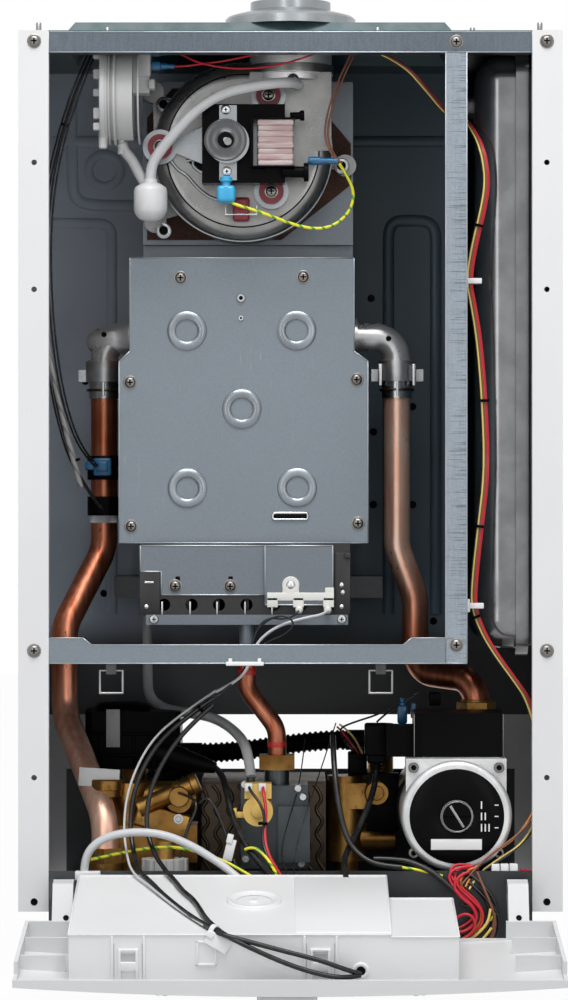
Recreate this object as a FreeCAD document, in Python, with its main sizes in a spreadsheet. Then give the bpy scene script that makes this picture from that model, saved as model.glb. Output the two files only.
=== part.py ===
import FreeCAD, Part
import math
import os
import re
import Sketcher

# Wall-hung sealed-chamber gas boiler with its front cover off and its control unit swung down.
# Three measures place every piece: x to the right of the middle, out from the wall, and drop
# below the casing's top edge. The row frame has its origin midway between the two hanger holes,
# with +X to the right, +Y into the wall and +Z up.

SIZES = {
    # casing sheet and the wall it hangs on
    "casing_width": 430.0,
    "casing_height": 696.0,
    "casing_depth": 300.0,
    "steel": 1.2,
    "hanger_drop": 30.0,
    "hanger_spacing": 300.0,
    "hanger_hole_radius": 6.0,
    "hanger_doubler_radius": 14.0,
    "flange_width": 24.0,
    "flange_lip": 10.0,
    "rear_flange_width": 40.0,
    "flange_hole_radius": 2.2,
    "flange_hole_inset": 12.6,
    "back_edge_drop": 557.0,
    # fits shared by many pieces
    "overrun": 2.0,
    "fit_gap": 0.3,
    "running_gap": 0.06,
    # raised field of the top panel
    "plateau_left": 183.0,
    "plateau_right": 134.0,
    "plateau_front_out": 255.0,
    "plateau_back_out": 60.0,
    "plateau_height": 13.0,
    "plateau_slope": 10.0,
    # flue outlet
    "flue_x": 0.0,
    "flue_bore_radius": 30.0,
    "spigot_radius": 31.4,
    "spigot_wall": 1.0,
    "spigot_entry": 8.0,
    "flue_hole_radius": 33.0,
    "collar_radius": 53.0,
    "collar_rim_height": 6.6,
    "collar_edge": 2.0,
    "collar_disc_height": 13.8,
    "collar_neck_radius": 32.6,
    "collar_height": 20.6,
    # galvanised front frame and the sealed chamber's inner sheets
    "rail_depth": 20.0,
    "top_rail_height": 16.0,
    "stile_right_x": 139.3,
    "stile_width": 16.6,
    "divider_hole_radius": 13.0,
    "divider_hole_out": 240.0,
    "divider_hole_drop": 62.0,
    "lead_hole_radius": 9.0,
    "lead_hole_x": -33.0,
    "lead_hole_out": 252.0,
    "air_hose_x": -122.0,
    "air_hose_out": 60.0,
    "chamber_bottom_drop": 500.0,
    "bottom_rail_height": 14.5,
    "bottom_rail_end_height": 20.0,
    "bottom_rail_end_width": 27.0,
    "bottom_rail_end_slope": 7.0,
    "floor_hole_gap": 3.0,
    # bottom tray, its apron and the control unit's hinge
    "upstand_top_drop": 600.0,
    "tray_drop": 690.0,
    "tray_back_out": 60.0,
    "apron_top_drop": 664.0,
    "apron_bottom_drop": 722.0,
    "tray_hole_gap": 1.5,
    "hinge_out": 320.0,
    "hinge_drop": 677.0,
    "hinge_pin_radius": 3.0,
    "hinge_bracket_gauge": 2.5,
    "hinge_bracket_reach": 7.0,
    "open_angle": 98.0,
    # screws
    "screw_head_radius": 3.3,
    "screw_head_height": 2.2,
    "screw_radius": 1.8,
    "screw_reach": 7.0,
    # flue hood
    "hood_left": 121.4,
    "hood_right": 51.4,
    "hood_back_out": 50.0,
    "hood_front_out": 172.0,
    "hood_top_drop": 27.0,
    "hood_bottom_drop": 161.0,
    "hood_skirt_inset": 10.0,
    "exchanger_top_drop": 174.0,
    # fan
    "gasket_gauge": 2.0,
    "fan_axis_x": -50.0,
    "fan_axis_drop": 85.0,
    "fan_inlet_radius": 42.0,
    "scroll_x": -38.6,
    "scroll_drop": 88.6,
    "scroll_radius": 72.0,
    "scroll_wall": 5.0,
    "scroll_depth": 50.0,
    "scroll_edge_radius": 14.0,
    "base_gauge": 4.0,
    "base_radius": 64.0,
    "lug_radius": 9.0,
    "outlet_half_width": 33.0,
    "outlet_neck_radius": 35.0,
    "outlet_neck_height": 7.0,
    "outlet_neck_gap": 2.0,
    "shaft_radius": 3.0,
    "shaft_hole_radius": 6.0,
    "impeller_radius": 50.0,
    "impeller_disc_gauge": 2.0,
    "impeller_clearance": 5.0,
    "impeller_blade_length": 14.0,
    "impeller_blade_gauge": 1.2,
    "impeller_hub_radius": 9.0,
    "impeller_hub_length": 14.0,
    "nipple_radius": 3.0,
    "nipple_length": 6.0,
    "nipple_x": 6.0,
    "nipple_drop": 36.0,
    # fan motor and its rubber mounts
    "mount_radius": 10.0,
    "mount_neck_radius": 6.8,
    "mount_foot": 2.0,
    "mount_cap": 4.0,
    "mount_bore_radius": 2.4,
    "mount_boss_radius": 12.0,
    "motor_lug_radius": 14.0,
    "motor_plate_gauge": 4.0,
    "motor_spacer": 4.0,
    "motor_spacer_radius": 3.0,
    "motor_spacer_inset": 9.5,
    "stator_left": 70.9,
    "stator_right": -4.4,
    "stator_top_drop": 53.8,
    "stator_bottom_drop": 117.0,
    "stator_stack": 18.0,
    "stator_bore_radius": 16.2,
    "rotor_radius": 15.5,
    "rotor_end_gap": 1.0,
    "limb_width": 15.1,
    "window_width": 10.5,
    "window_half_height": 21.0,
    "coil_half_height": 18.5,
    "coil_thickness": 7.0,
    "coil_gap": 0.4,
    "bridge_gauge": 2.5,
    "bridge_half_width": 7.0,
    "bridge_half_length": 30.0,
    "bridge_hub_radius": 17.0,
    "bridge_hub_height": 7.5,
    "shaft_tip": 4.0,
    # air pressure switch
    "switch_x": -136.0,
    "switch_setback": 33.8,
    "switch_drop": 45.0,
    "switch_radius": 37.0,
    "switch_length": 20.0,
    "switch_rim": 3.0,
    "switch_rim_length": 4.0,
    "switch_tower_length": 13.0,
    "switch_tower_half_width": 12.0,
    "switch_tower_height": 32.0,
    "switch_nozzle_radius": 3.0,
    "switch_nozzle_length": 11.0,
    "switch_bracket_half_width": 30.0,
    "switch_bracket_height": 70.0,
    "switch_bracket_foot": 18.0,
    # condensate trap on the sensing hose
    "trap_x": -112.5,
    "trap_out": 246.0,
    "trap_top_drop": 113.0,
    "trap_neck_radius": 5.0,
    "trap_neck_height": 4.0,
    "trap_radius": 13.5,
    "trap_height": 34.0,
    # heat exchanger and its elbows
    "exchanger_left": 130.6,
    "exchanger_right": 51.7,
    "exchanger_bottom_drop": 258.0,
    "exchanger_gauge": 1.5,
    "fin_top_gap": 16.0,
    "fin_bottom_gap": 8.0,
    "fin_front_gap": 7.0,
    "fin_slot": 8.0,
    "fin_slot_margin": 4.0,
    "elbow_drop": 235.0,
    "elbow_radius": 11.5,
    "elbow_bend": 19.0,
    "elbow_foot_radius": 15.5,
    "elbow_foot": 4.0,
    "elbow_end_drop": 262.0,
    "elbow_end_collar": 8.0,
    # combustion chamber
    "shell_left": 139.5,
    "shell_right": 63.0,
    "shell_bottom_drop": 406.0,
    "front_plate_gauge": 1.5,
    "front_plate_out": 208.0,
    "plate_step_drop": 250.0,
    "plate_ring_radius": 16.0,
    "plate_ring_bead": 2.6,
    "plate_ring_rise": 1.2,
    "plate_slot_length": 28.0,
    "plate_slot_half_height": 2.5,
    # burner
    "burner_left": 119.7,
    "burner_right": 48.3,
    "burner_back_out": 60.0,
    "burner_front_out": 215.0,
    "burner_bottom_drop": 464.0,
    "burner_hole_drop": 456.0,
    "burner_hole_radius": 5.0,
    "burner_hole_pitch": 22.3,
    "blade_gauge": 3.6,
    "blade_pitch": 12.0,
    "blade_end_gap": 6.0,
    "blade_top_drop": 414.0,
    "cover_left": 121.9,
    "cover_middle_x": -20.6,
    "cover_right": 34.3,
    "cover_top_drop": 408.0,
    "cover_left_bottom_drop": 448.0,
    "cover_right_bottom_drop": 456.0,
    "cover_right_rise": 6.0,
    "cover_screw_rise": 7.0,
    "cover_notch_width": 17.0,
    "cover_notch_height": 19.0,
    "manifold_left": 117.0,
    "manifold_right": 46.6,
    "manifold_height": 8.0,
    "manifold_back_out": 206.0,
    "manifold_front_out": 224.0,
    "manifold_inlet_x": -35.5,
    "manifold_inlet_radius": 6.0,
    "electrode_radius": 3.2,
    "electrode_length": 17.0,
    "electrode_drop": 460.0,
    "electrode_left_x": 7.0,
    "electrode_right_x": 30.0,
    # copper pipes
    "pipe_radius": 11.0,
    "pipe_wall": 1.0,
    "pipe_bend": 34.0,
    "pipe_bead_radius": 13.6,
    "pipe_bead_height": 6.0,
    "flow_x": -156.5,
    "flow_out": 110.0,
    "flow_floor_inset": 27.0,
    "flow_floor_out": 138.0,
    "flow_jog_top_drop": 412.0,
    "flow_jog_bottom_drop": 476.0,
    "flow_turn_drop": 550.0,
    "flow_end_x": -150.0,
    "flow_end_out": 226.0,
    "flow_end_run": 24.0,
    "flow_end_drop": 652.0,
    "return_x": 88.8,
    "return_out": 130.0,
    "return_floor_x": 104.0,
    "return_jog_top_drop": 410.0,
    "return_jog_bottom_drop": 452.0,
    "return_turn_drop": 514.0,
    "return_turn_fall": 5.0,
    "return_turn_bend": 21.0,
    "gas_pipe_radius": 7.5,
    "gas_pipe_bend": 22.0,
    "gas_pipe_top_drop": 503.0,
    "gas_jog_top_drop": 524.0,
    "gas_jog_bottom_drop": 556.0,
    "clip_gauge": 1.4,
    "clip_above": 7.0,
    "clip_below": 10.0,
    "clip_mouth": 9.0,
    "clip_ear_length": 8.0,
    # expansion vessel
    "vessel_left": 148.0,
    "vessel_right": 206.0,
    "vessel_back_out": 72.0,
    "vessel_front_out": 262.0,
    "vessel_top_drop": 14.0,
    "vessel_bottom_drop": 490.0,
    "vessel_edge_radius": 22.0,
    "vessel_wall": 2.0,
    "vessel_seam_left": 180.0,
    "vessel_seam_width": 10.0,
    "vessel_seam_rim": 6.0,
    "vessel_seam_edge_radius": 24.0,
    # steel brackets
    "burner_bracket_gauge": 3.0,
    "burner_bracket_out": 70.0,
    "burner_bracket_reach": 30.0,
    "burner_bracket_foot": 22.0,
    "burner_bracket_top_drop": 436.0,
    "burner_bracket_height": 18.0,
    "vessel_bracket_width": 8.0,
    "vessel_bracket_height": 24.0,
    # wire bails under the bottom rail
    "bail_left_x": -142.0,
    "bail_right_x": 71.5,
    "bail_half_width": 9.0,
    "bail_wire_radius": 1.0,
    "bail_out": 289.0,
    "bail_pivot_fall": 6.0,
    "bail_length": 18.0,
    "bail_lug_half_width": 4.0,
    "bail_lug_half_depth": 3.0,
    # gas valve
    "gas_x": -11.0,
    "gas_out": 222.0,
    "gas_nut_drop": 577.0,
    "gas_nut_height": 12.0,
    "gas_nut_radius": 16.5,
    "gas_neck_radius": 10.0,
    "gas_neck_height": 12.0,
    "valve_left": 40.0,
    "valve_right": 14.0,
    "valve_back_reach": 36.0,
    "valve_front_reach": 18.0,
    "valve_bottom_drop": 668.0,
    "valve_plate_left": -10.0,
    "valve_plate_right": 15.6,
    "valve_plate_rise": 10.0,
    "valve_plate_top_drop": 617.0,
    "valve_plate_bottom_drop": 662.0,
    "valve_port_x": -32.0,
    "valve_port_reach": 10.0,
    "valve_port_radius": 3.2,
    "valve_port_height": 6.0,
    "modulator_x": -26.0,
    "modulator_drop": 620.0,
    "modulator_radius": 12.0,
    "modulator_length": 22.0,
    "modulator_plug_width": 21.6,
    "modulator_plug_height": 9.0,
    "modulator_plug_length": 20.0,
    # plate heat exchanger
    "plates_left": 73.0,
    "plates_right": 29.0,
    "plates_back_out": 74.0,
    "plates_front_out": 178.0,
    "plates_top_drop": 602.0,
    "plates_bottom_drop": 676.0,
    "plates_lip": 2.0,
    "plates_pitch": 6.5,
    "plates_gauge": 3.0,
    # left brass block
    "column_x": -131.0,
    "column_out": 188.0,
    "column_radius": 17.0,
    "column_top_drop": 602.0,
    "block_left": 150.0,
    "block_right": -76.0,
    "block_back_out": 166.0,
    "block_front_out": 208.0,
    "block_top_drop": 636.0,
    "block_bottom_drop": 666.0,
    "arm_radius": 13.0,
    "arm_drop": 614.0,
    "arm_right_x": -77.0,
    "boss_x": -90.5,
    "boss_radius": 10.5,
    "boss_front_out": 222.0,
    "socket_bottom_drop": 676.0,
    "socket_radius": 15.5,
    "small_socket_radius": 13.0,
    "hot_x": -90.0,
    "flow_socket_top_drop": 664.0,
    "fill_x": -101.0,
    "fill_out": 248.0,
    "fill_branch_half_width": 7.0,
    "fill_branch_height": 10.0,
    "fill_branch_top_drop": 645.0,
    "fill_neck_radius": 8.0,
    "fill_knob_drop": 659.0,
    "fill_spindle_radius": 5.0,
    "fill_spindle_length": 10.0,
    "fill_knob_radius": 19.0,
    "fill_knob_height": 14.0,
    "fill_knob_flute_radius": 3.0,
    "rear_arm_radius": 11.0,
    "rear_arm_drop": 650.0,
    "rear_arm_out": 96.0,
    # diverter motor
    "actuator_left": 172.0,
    "actuator_right": -92.0,
    "actuator_back_out": 50.0,
    "actuator_front_out": 122.0,
    "actuator_top_drop": 548.0,
    "actuator_bottom_drop": 596.0,
    "actuator_edge_radius": 6.0,
    # right brass block
    "inlet_x": 46.0,
    "inlet_out": 165.0,
    "inlet_radius": 15.5,
    "inlet_top_drop": 598.0,
    "inlet_bottom_drop": 668.0,
    "inlet_port_x": 71.5,
    "inlet_port_drop": 614.0,
    "inlet_port_radius": 10.5,
    "inlet_port_front_out": 192.0,
    "inlet_port_wall_width": 34.0,
    "inlet_port_wall_front_out": 182.0,
    "cross_drop": 650.0,
    "cross_radius": 10.5,
    "safety_x": 76.0,
    "safety_out": 84.0,
    "safety_radius": 11.0,
    "safety_top_drop": 560.0,
    "safety_bottom_drop": 656.0,
    "safety_boss_width": 24.0,
    "safety_boss_drop": 574.0,
    "safety_link_height": 14.0,
    # drain hose with ribs
    "drain_radius": 8.6,
    "drain_groove": 1.5,
    "drain_bore_radius": 5.6,
    "drain_pitch": 4.6,
    "drain_left_drop": 585.0,
    # circulating pump
    "pump_x": 132.0,
    "pump_drop": 622.0,
    "pump_back_out": 122.0,
    "pump_joint_out": 212.0,
    "pump_front_out": 285.0,
    "volute_radius": 46.0,
    "volute_wall": 8.0,
    "pump_motor_radius": 44.0,
    "pump_motor_wall": 12.0,
    "pump_motor_edge": 4.0,
    "pump_end_wall": 7.0,
    "pump_shoulder_half_width": 40.0,
    "pump_shoulder_top_drop": 577.0,
    "pump_shoulder_back_out": 248.0,
    "pump_shoulder_front_out": 274.0,
    "pump_inlet_x": 153.0,
    "pump_inlet_out": 170.0,
    "pump_inlet_radius": 13.0,
    "pump_nut_drop": 543.0,
    "pump_nut_height": 10.0,
    "pump_nut_radius": 16.5,
    "vent_radius": 12.4,
    "vent_seat": 4.0,
    "vent_rise": 3.5,
    "vent_slot": 1.6,
    "vent_slot_depth": 1.5,
    "pump_shaft_radius": 4.5,
    "pump_rotor_radius": 27.0,
    "pump_rotor_gap": 6.0,
    "pump_impeller_radius": 33.0,
    "pump_impeller_height": 12.0,
    "pump_impeller_gap": 16.0,
    "terminal_left_x": 98.8,
    "terminal_right_x": 170.4,
    "terminal_top_drop": 541.0,
    "terminal_front_out": 268.0,
    "terminal_plug_width": 22.0,
    "terminal_plug_height": 25.0,
    "terminal_plug_back_out": 224.0,
    "terminal_plug_front_out": 252.0,
    # connections under the boiler
    "stub_bottom_drop": 716.0,
    "stub_thread_drop": 694.0,
    "stub_neck_step": 0.8,
    "stub_radius": 13.2,
    "small_stub_radius": 10.4,
    # control unit, measured with the unit shut
    "fascia_half_width": 207.0,
    "fascia_top_drop": 517.0,
    "fascia_bottom_drop": 657.0,
    "fascia_rim_out": 339.4,
    "fascia_near_rim_out": 349.4,
    "fascia_edge_out": 355.0,
    "fascia_bulge": 7.0,
    "fascia_wall": 3.0,
    "fascia_rib": 2.0,
    "fascia_rib_end_x": 170.0,
    "fascia_notch_left": 127.0,
    "fascia_notch_width": 41.0,
    "fascia_notch_depth": 14.0,
    "arm_centre_x": 178.0,
    "arm_width": 16.0,
    "arm_side_gap": 0.5,
    "arm_eye_radius": 7.0,
    "lid_left": 166.0,
    "lid_right": 75.0,
    "lid_side_right": 126.0,
    "lid_wall": 2.5,
    "lid_back_bottom_out": 309.4,
    "lid_back_top_out": 319.3,
    "lid_top_drop": 536.0,
    "lid_bottom_drop": 680.5,
    "lid_heel_out": 336.5,
    "lid_shelf_drop": 653.6,
    "lid_side_back_out": 321.0,
    "board_gauge": 1.6,
    "board_out": 332.0,
    "board_top_drop": 546.0,
    "board_bottom_drop": 644.0,
    "relay_left": -2.5,
    "relay_right": 17.0,
    "relay_top_drop": 563.0,
    "relay_bottom_drop": 580.0,
    "relay_height": 13.0,
    "dial_radius": 17.0,
    "dial_height": 13.0,
    "dial_stem_radius": 3.0,
    "dial_stem_length": 12.0,
    "dial_lift": 0.6,
    "dial_drop": 587.0,
    "heating_dial_x": -95.0,
    "water_dial_x": 95.0,
    "button_radius": 6.0,
    "button_drop": 620.0,
    "button_rise": 2.5,
    "button_collar_radius": 7.5,
    "button_collar": 1.5,
    # wires
    "lead_radius": 1.6,
    "bundle_radius": 2.6,
    "cable_radius": 3.2,
    "hose_radius": 4.1,
    "hose_bore_radius": 2.6,
    "air_hose_radius": 4.6,
    "sensor_length": 20.0,
    "sensor_wall": 3.0,
    "sensor_drop": 344.0,
    "thermistor_drop": 376.0,
    "thermistor_length": 16.0,
}

# Places along a size, as shares of it.
FLANGE_HOLE_SHARES = (0.150, 0.294, 0.848, 0.989)
FLANGE_SCREW_SHARES = (0.0125, 0.704)
PLATE_RING_SHARES = ((0.274, 0.255), (0.714, 0.255), (0.494, 0.527), (0.274, 0.805), (0.714, 0.805))
PLATE_SCREW_SHARES = (
    (0.247, 0.070), (0.740, 0.067), (0.044, 0.437), (0.955, 0.427), (0.048, 0.942), (0.960, 0.931),
)
PLATE_SLOT_SHARE = (0.690, 0.903)
COVER_SCREW_SHARES = (0.28, 0.72)
GASKET_SHARES = (
    (0.02, 0.22), (0.02, 0.97), (0.66, 0.97), (0.99, 0.63), (0.99, 0.38), (0.86, 0.18), (0.52, 0.04),
    (0.14, 0.04),
)
BASE_LUG_SHARES = ((-1.163, -0.827), (-1.130, 0.842), (1.306, 0.119))
MOUNT_SHARES = ((-0.925, -0.035), (0.289, -0.610), (0.321, 0.467))
DIAL_RIB_COUNT = 16
FIN_SLOT_COUNT = 18
BLADE_COUNT = 13
BURNER_HOLE_COUNT = 7
IMPELLER_BLADE_COUNT = 24
PLATE_COUNT = 16
KNOB_FLUTE_COUNT = 12
RIB_PHASE_SHARES = (0.10, 0.40, 0.60, 0.90)
FASCIA_RIB_SHARES = (0.30, 0.68)
VESSEL_BRACKET_SHARES = (0.28, 0.80)
EXTRA_BEND_SHARE = 0.45
END_BEND_SHARE = 0.90

V = FreeCAD.Vector
doc = FreeCAD.newDocument("gas_boiler")
sizes = doc.addObject("Spreadsheet::Sheet", "Sizes")
pieces = {}


def fill_sheet():
    for row, (name, value) in enumerate(SIZES.items(), 1):
        sizes.set(f"A{row}", name)
        sizes.set(f"B{row}", str(value))
        sizes.setAlias(f"B{row}", name)
    doc.recompute()


def bound(text):
    """The expression with every size named as a cell of the sheet."""
    return re.sub(r"\b([a-z][a-z0-9_]*)\b(?!\()", r"Sizes.\1", text)


def number(text):
    """What an expression of sizes comes to, in millimetres."""
    return float(sizes.evalExpression(text))


def y_of(out):
    return f"-({out})"


def z_of(drop):
    return f"hanger_drop - ({drop})"


def point(x, out, drop):
    """A place in the row frame from three expressions."""
    return V(number(x), number(y_of(out)), number(z_of(drop)))


def bind(thing, **settings):
    for name, text in settings.items():
        thing.setExpression(name.replace("__", "."), bound(text))


def place(thing, x, y, z):
    bind(thing, Placement__Base__x=x, Placement__Base__y=y, Placement__Base__z=z)


# Primitives


def slab(name, x, out, drop):
    """A box between two values of each measure."""
    thing = doc.addObject("Part::Box", name)
    bind(
        thing, Length=f"({x[1]}) - ({x[0]})", Width=f"({out[1]}) - ({out[0]})",
        Height=f"({drop[1]}) - ({drop[0]})",
    )
    place(thing, x[0], y_of(out[1]), z_of(drop[1]))
    return thing


def pillar(name, x, out, drop, radius, kind="Part::Cylinder"):
    """An upright cylinder between two drops."""
    thing = doc.addObject(kind, name)
    bind(thing, Radius=radius, Height=f"({drop[1]}) - ({drop[0]})")
    place(thing, x, y_of(out), z_of(drop[1]))
    return thing


def stub(name, x, drop, out, radius):
    """A cylinder that points out from the wall."""
    thing = doc.addObject("Part::Cylinder", name)
    thing.Placement = FreeCAD.Placement(V(), FreeCAD.Rotation(V(1, 0, 0), 90))
    bind(thing, Radius=radius, Height=f"({out[1]}) - ({out[0]})")
    place(thing, x, y_of(out[0]), z_of(drop))
    return thing


def bar(name, x, out, drop, radius):
    """A cylinder that lies from left to right."""
    thing = doc.addObject("Part::Cylinder", name)
    thing.Placement = FreeCAD.Placement(V(), FreeCAD.Rotation(V(0, 1, 0), 90))
    bind(thing, Radius=radius, Height=f"({x[1]}) - ({x[0]})")
    place(thing, x[0], y_of(out), z_of(drop))
    return thing


def ball(name, x, out, drop, radius):
    thing = doc.addObject("Part::Sphere", name)
    bind(thing, Radius=radius)
    place(thing, x, y_of(out), z_of(drop))
    return thing


def hexagon(name, x, out, drop, radius):
    """An upright hexagon nut blank."""
    thing = doc.addObject("Part::Prism", name)
    thing.Polygon = 6
    thing.Placement = FreeCAD.Placement(V(), FreeCAD.Rotation(V(0, 0, 1), 30))
    bind(thing, Circumradius=radius, Height=f"({drop[1]}) - ({drop[0]})")
    place(thing, x, y_of(out), z_of(drop[1]))
    return thing


def frustum(name, x, out, drop, slope):
    """A box whose four sides lean in by slope towards its top."""
    thing = doc.addObject("Part::Wedge", name)
    thing.Placement = FreeCAD.Placement(V(), FreeCAD.Rotation(V(1, 0, 0), 90))
    bind(thing, Xmin=x[0], Xmax=x[1], X2min=f"{x[0]} + {slope}", X2max=f"{x[1]} - {slope}")
    bind(thing, Zmin=out[0], Zmax=out[1], Z2min=f"{out[0]} + {slope}", Z2max=f"{out[1]} - {slope}")
    bind(thing, Ymin=z_of(drop[1]), Ymax=z_of(drop[0]))
    return thing


# Sketched bodies


def draw(body, role, outlines, holes=()):
    """A sketch of closed outlines and round holes on one of the body's planes, every point bound."""
    sketch = body.newObject("Sketcher::SketchObject", f"{body.Name}_sketch")
    plane = [feature for feature in body.Origin.OriginFeatures if feature.Role == role][0]
    sketch.AttachmentSupport = [(plane, "")]
    sketch.MapMode = "FlatFace"
    lines, joins, places = [], [], []
    for outline in outlines:
        corners = [V(number(a), number(b), 0) for a, b in outline]
        first = len(lines)
        for i, corner in enumerate(corners):
            lines.append(Part.LineSegment(corner, corners[(i + 1) % len(corners)]))
            joins.append(Sketcher.Constraint("Coincident", first + i, 2, first + (i + 1) % len(corners), 1))
            places.append((first + i, 1, corner, outline[i]))
    circles = []
    for a, b, radius in holes:
        centre = V(number(a), number(b), 0)
        circles.append((len(lines), radius))
        places.append((len(lines), 3, centre, (a, b)))
        lines.append(Part.Circle(centre, V(0, 0, 1), number(radius)))
    sketch.addGeometry(lines, False)
    sketch.addConstraint(joins)
    for element, vertex, spot, (a, b) in places:
        for kind, value, text in (("DistanceX", spot.x, a), ("DistanceY", spot.y, b)):
            row = sketch.addConstraint(Sketcher.Constraint(kind, -1, 1, element, vertex, value))
            sketch.setExpression(f"Constraints[{row}]", bound(text))
    for element, radius in circles:
        row = sketch.addConstraint(Sketcher.Constraint("Radius", element, number(radius)))
        sketch.setExpression(f"Constraints[{row}]", bound(radius))
    return sketch


def padded_body(name, role, outlines, holes, length):
    body = doc.addObject("PartDesign::Body", name)
    sketch = draw(body, role, outlines, holes)
    pad = body.newObject("PartDesign::Pad", f"{name}_pad")
    pad.Profile = sketch
    bind(pad, Length=length)
    return body


def plate(name, outline, out, holes=(), windows=()):
    """An upright plate: outline, windows and holes are in x and drop."""
    outlines = [[(x, z_of(drop)) for x, drop in shape] for shape in (outline, *windows)]
    rounds = [(x, z_of(drop), radius) for x, drop, radius in holes]
    body = padded_body(name, "XZ_Plane", outlines, rounds, f"({out[1]}) - ({out[0]})")
    bind(body, Placement__Base__y=y_of(out[0]))
    return body


def section(name, outline, x):
    """A profile of out and drop, drawn out from left to right."""
    shape = [(y_of(out), z_of(drop)) for out, drop in outline]
    body = padded_body(name, "YZ_Plane", [shape], (), f"({x[1]}) - ({x[0]})")
    bind(body, Placement__Base__x=x[0])
    return body


def plan(name, outline, drop, holes=()):
    """A level sheet or an upright channel: outline and holes are in x and out."""
    shape = [(x, y_of(out)) for x, out in outline]
    rounds = [(x, y_of(out), radius) for x, out, radius in holes]
    body = padded_body(name, "XY_Plane", [shape], rounds, f"({drop[1]}) - ({drop[0]})")
    bind(body, Placement__Base__z=z_of(drop[1]))
    return body


def turned(name, profile):
    body = doc.addObject("PartDesign::Body", name)
    sketch = draw(body, "XZ_Plane", [profile])
    spin = body.newObject("PartDesign::Revolution", f"{name}_spin")
    spin.Profile = sketch
    spin.ReferenceAxis = (sketch, ["V_Axis"])
    spin.Angle = 360
    return body


def turned_up(name, x, out, profile):
    """A body of revolution about an upright axis, its profile in radius and drop."""
    body = turned(name, [(radius, z_of(drop)) for radius, drop in profile])
    bind(body, Placement__Base__x=x, Placement__Base__y=y_of(out))
    return body


def turned_out(name, x, drop, profile):
    """A body of revolution about an axis that points out from the wall, in radius and out."""
    body = turned(name, profile)
    body.Placement = FreeCAD.Placement(V(), FreeCAD.Rotation(V(1, 0, 0), 90))
    bind(body, Placement__Base__x=x, Placement__Base__z=z_of(drop))
    return body


# Joining


def fuse(name, things):
    thing = doc.addObject("Part::MultiFuse", name)
    thing.Shapes = list(things)
    return thing


def cut(name, base, tools):
    thing = doc.addObject("Part::Cut", name)
    thing.Base = base
    thing.Tool = tools[0] if len(tools) == 1 else fuse(f"{name}_tools", tools)
    return thing


def common(name, base, tool):
    thing = doc.addObject("Part::Common", name)
    thing.Base = base
    thing.Tool = tool
    return thing


def group(name, things):
    thing = doc.addObject("Part::Compound", name)
    thing.Links = list(things)
    return thing


def rounded(name, base, radius, wanted=lambda edge: True):
    """The base with its wanted edges filleted."""
    doc.recompute()
    thing = doc.addObject("Part::Fillet", name)
    thing.Base = base
    size = number(radius)
    thing.Edges = [(i, size, size) for i, edge in enumerate(base.Shape.Edges, 1) if wanted(edge)]
    return thing


def piece(node, thing):
    thing.Label = node
    pieces[node] = thing
    return thing


def level_at(axis, text):
    """A test for edges that lie in the plane where a coordinate has that value."""
    value = number(text)
    return lambda edge: all(abs(getattr(vertex.Point, axis) - value) < 1e-6 for vertex in edge.Vertexes)


# Bent tubes


def rounded_path(corners, bend=None):
    """A wire of straight runs and tangent arcs through corner points, and its least arc radius.
    Without a bend radius for each corner, every arc is as large as its two runs allow."""
    edges, least = [], math.inf
    start = corners[0]
    for i in range(1, len(corners) - 1):
        before, after = corners[i] - corners[i - 1], corners[i + 1] - corners[i]
        half_turn = before.getAngle(after) / 2
        if half_turn < 1e-6:
            continue
        shares = [EXTRA_BEND_SHARE] * 2
        if bend is not None:
            shares[0] = END_BEND_SHARE if i == 1 else EXTRA_BEND_SHARE
            shares[1] = END_BEND_SHARE if i == len(corners) - 2 else EXTRA_BEND_SHARE
        room = min(before.Length * shares[0], after.Length * shares[1])
        reach = room if bend is None else min(room, bend[i - 1] * math.tan(half_turn))
        radius = reach / math.tan(half_turn)
        least = min(least, radius)
        into, away = before / before.Length, after / after.Length
        first, last = corners[i] - into * reach, corners[i] + away * reach
        inward = away - into
        middle = corners[i] + inward / inward.Length * (radius / math.cos(half_turn) - radius)
        if (first - start).Length > 1e-6:
            edges.append(Part.LineSegment(start, first).toShape())
        edges.append(Part.Arc(first, middle, last).toShape())
        start = last
    edges.append(Part.LineSegment(start, corners[-1]).toShape())
    return Part.Wire(edges), least


def swept(path, radius):
    """A round bar along a wire."""
    edge = path.OrderedEdges[0]
    circle = Part.Circle(edge.valueAt(edge.FirstParameter), edge.tangentAt(edge.FirstParameter), radius)
    return path.makePipeShell([Part.Wire(circle.toShape())], True, False)


def bent_tube(name, corners, radius, bore=0.0, bend=None):
    """A tube along straight runs and arcs, as a plain shape of the document."""
    path, least = rounded_path(corners, bend)
    shape = swept(path, radius)
    if bore:
        shape = shape.cut(swept(path, bore))
    expected = math.pi * (radius**2 - bore**2) * path.Length
    print(
        f"{name}: length {path.Length:.0f}, least bend {least:.1f}, "
        f"volume ratio {shape.Volume / expected:.4f}"
    )
    thing = doc.addObject("Part::Feature", name)
    thing.Shape = shape
    return thing


# Depths that stack up from the hood to the tip of the fan motor
GASKET_FRONT = "(hood_front_out + gasket_gauge)"
BASE_FRONT = f"({GASKET_FRONT} + base_gauge)"
SCROLL_FRONT = f"({BASE_FRONT} + scroll_depth)"
FLUE_OUT = f"({BASE_FRONT} + scroll_depth / 2)"
MOTOR_PLATE_BACK = f"({SCROLL_FRONT} + mount_foot)"
MOTOR_PLATE_FRONT = f"({MOTOR_PLATE_BACK} + motor_plate_gauge)"
STATOR_BACK = f"({MOTOR_PLATE_FRONT} + motor_spacer)"
STATOR_FRONT = f"({STATOR_BACK} + stator_stack)"
BRIDGE_FRONT = f"({STATOR_FRONT} + bridge_gauge)"
HUB_FRONT = f"({BRIDGE_FRONT} + bridge_hub_height)"
NECK_BOTTOM = "(hood_top_drop - outlet_neck_gap)"
NECK_TOP = f"({NECK_BOTTOM} - outlet_neck_height)"
HALF_WIDTH = "(casing_width / 2)"
INNER_WIDTH = "(casing_width / 2 - flange_width)"
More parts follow.
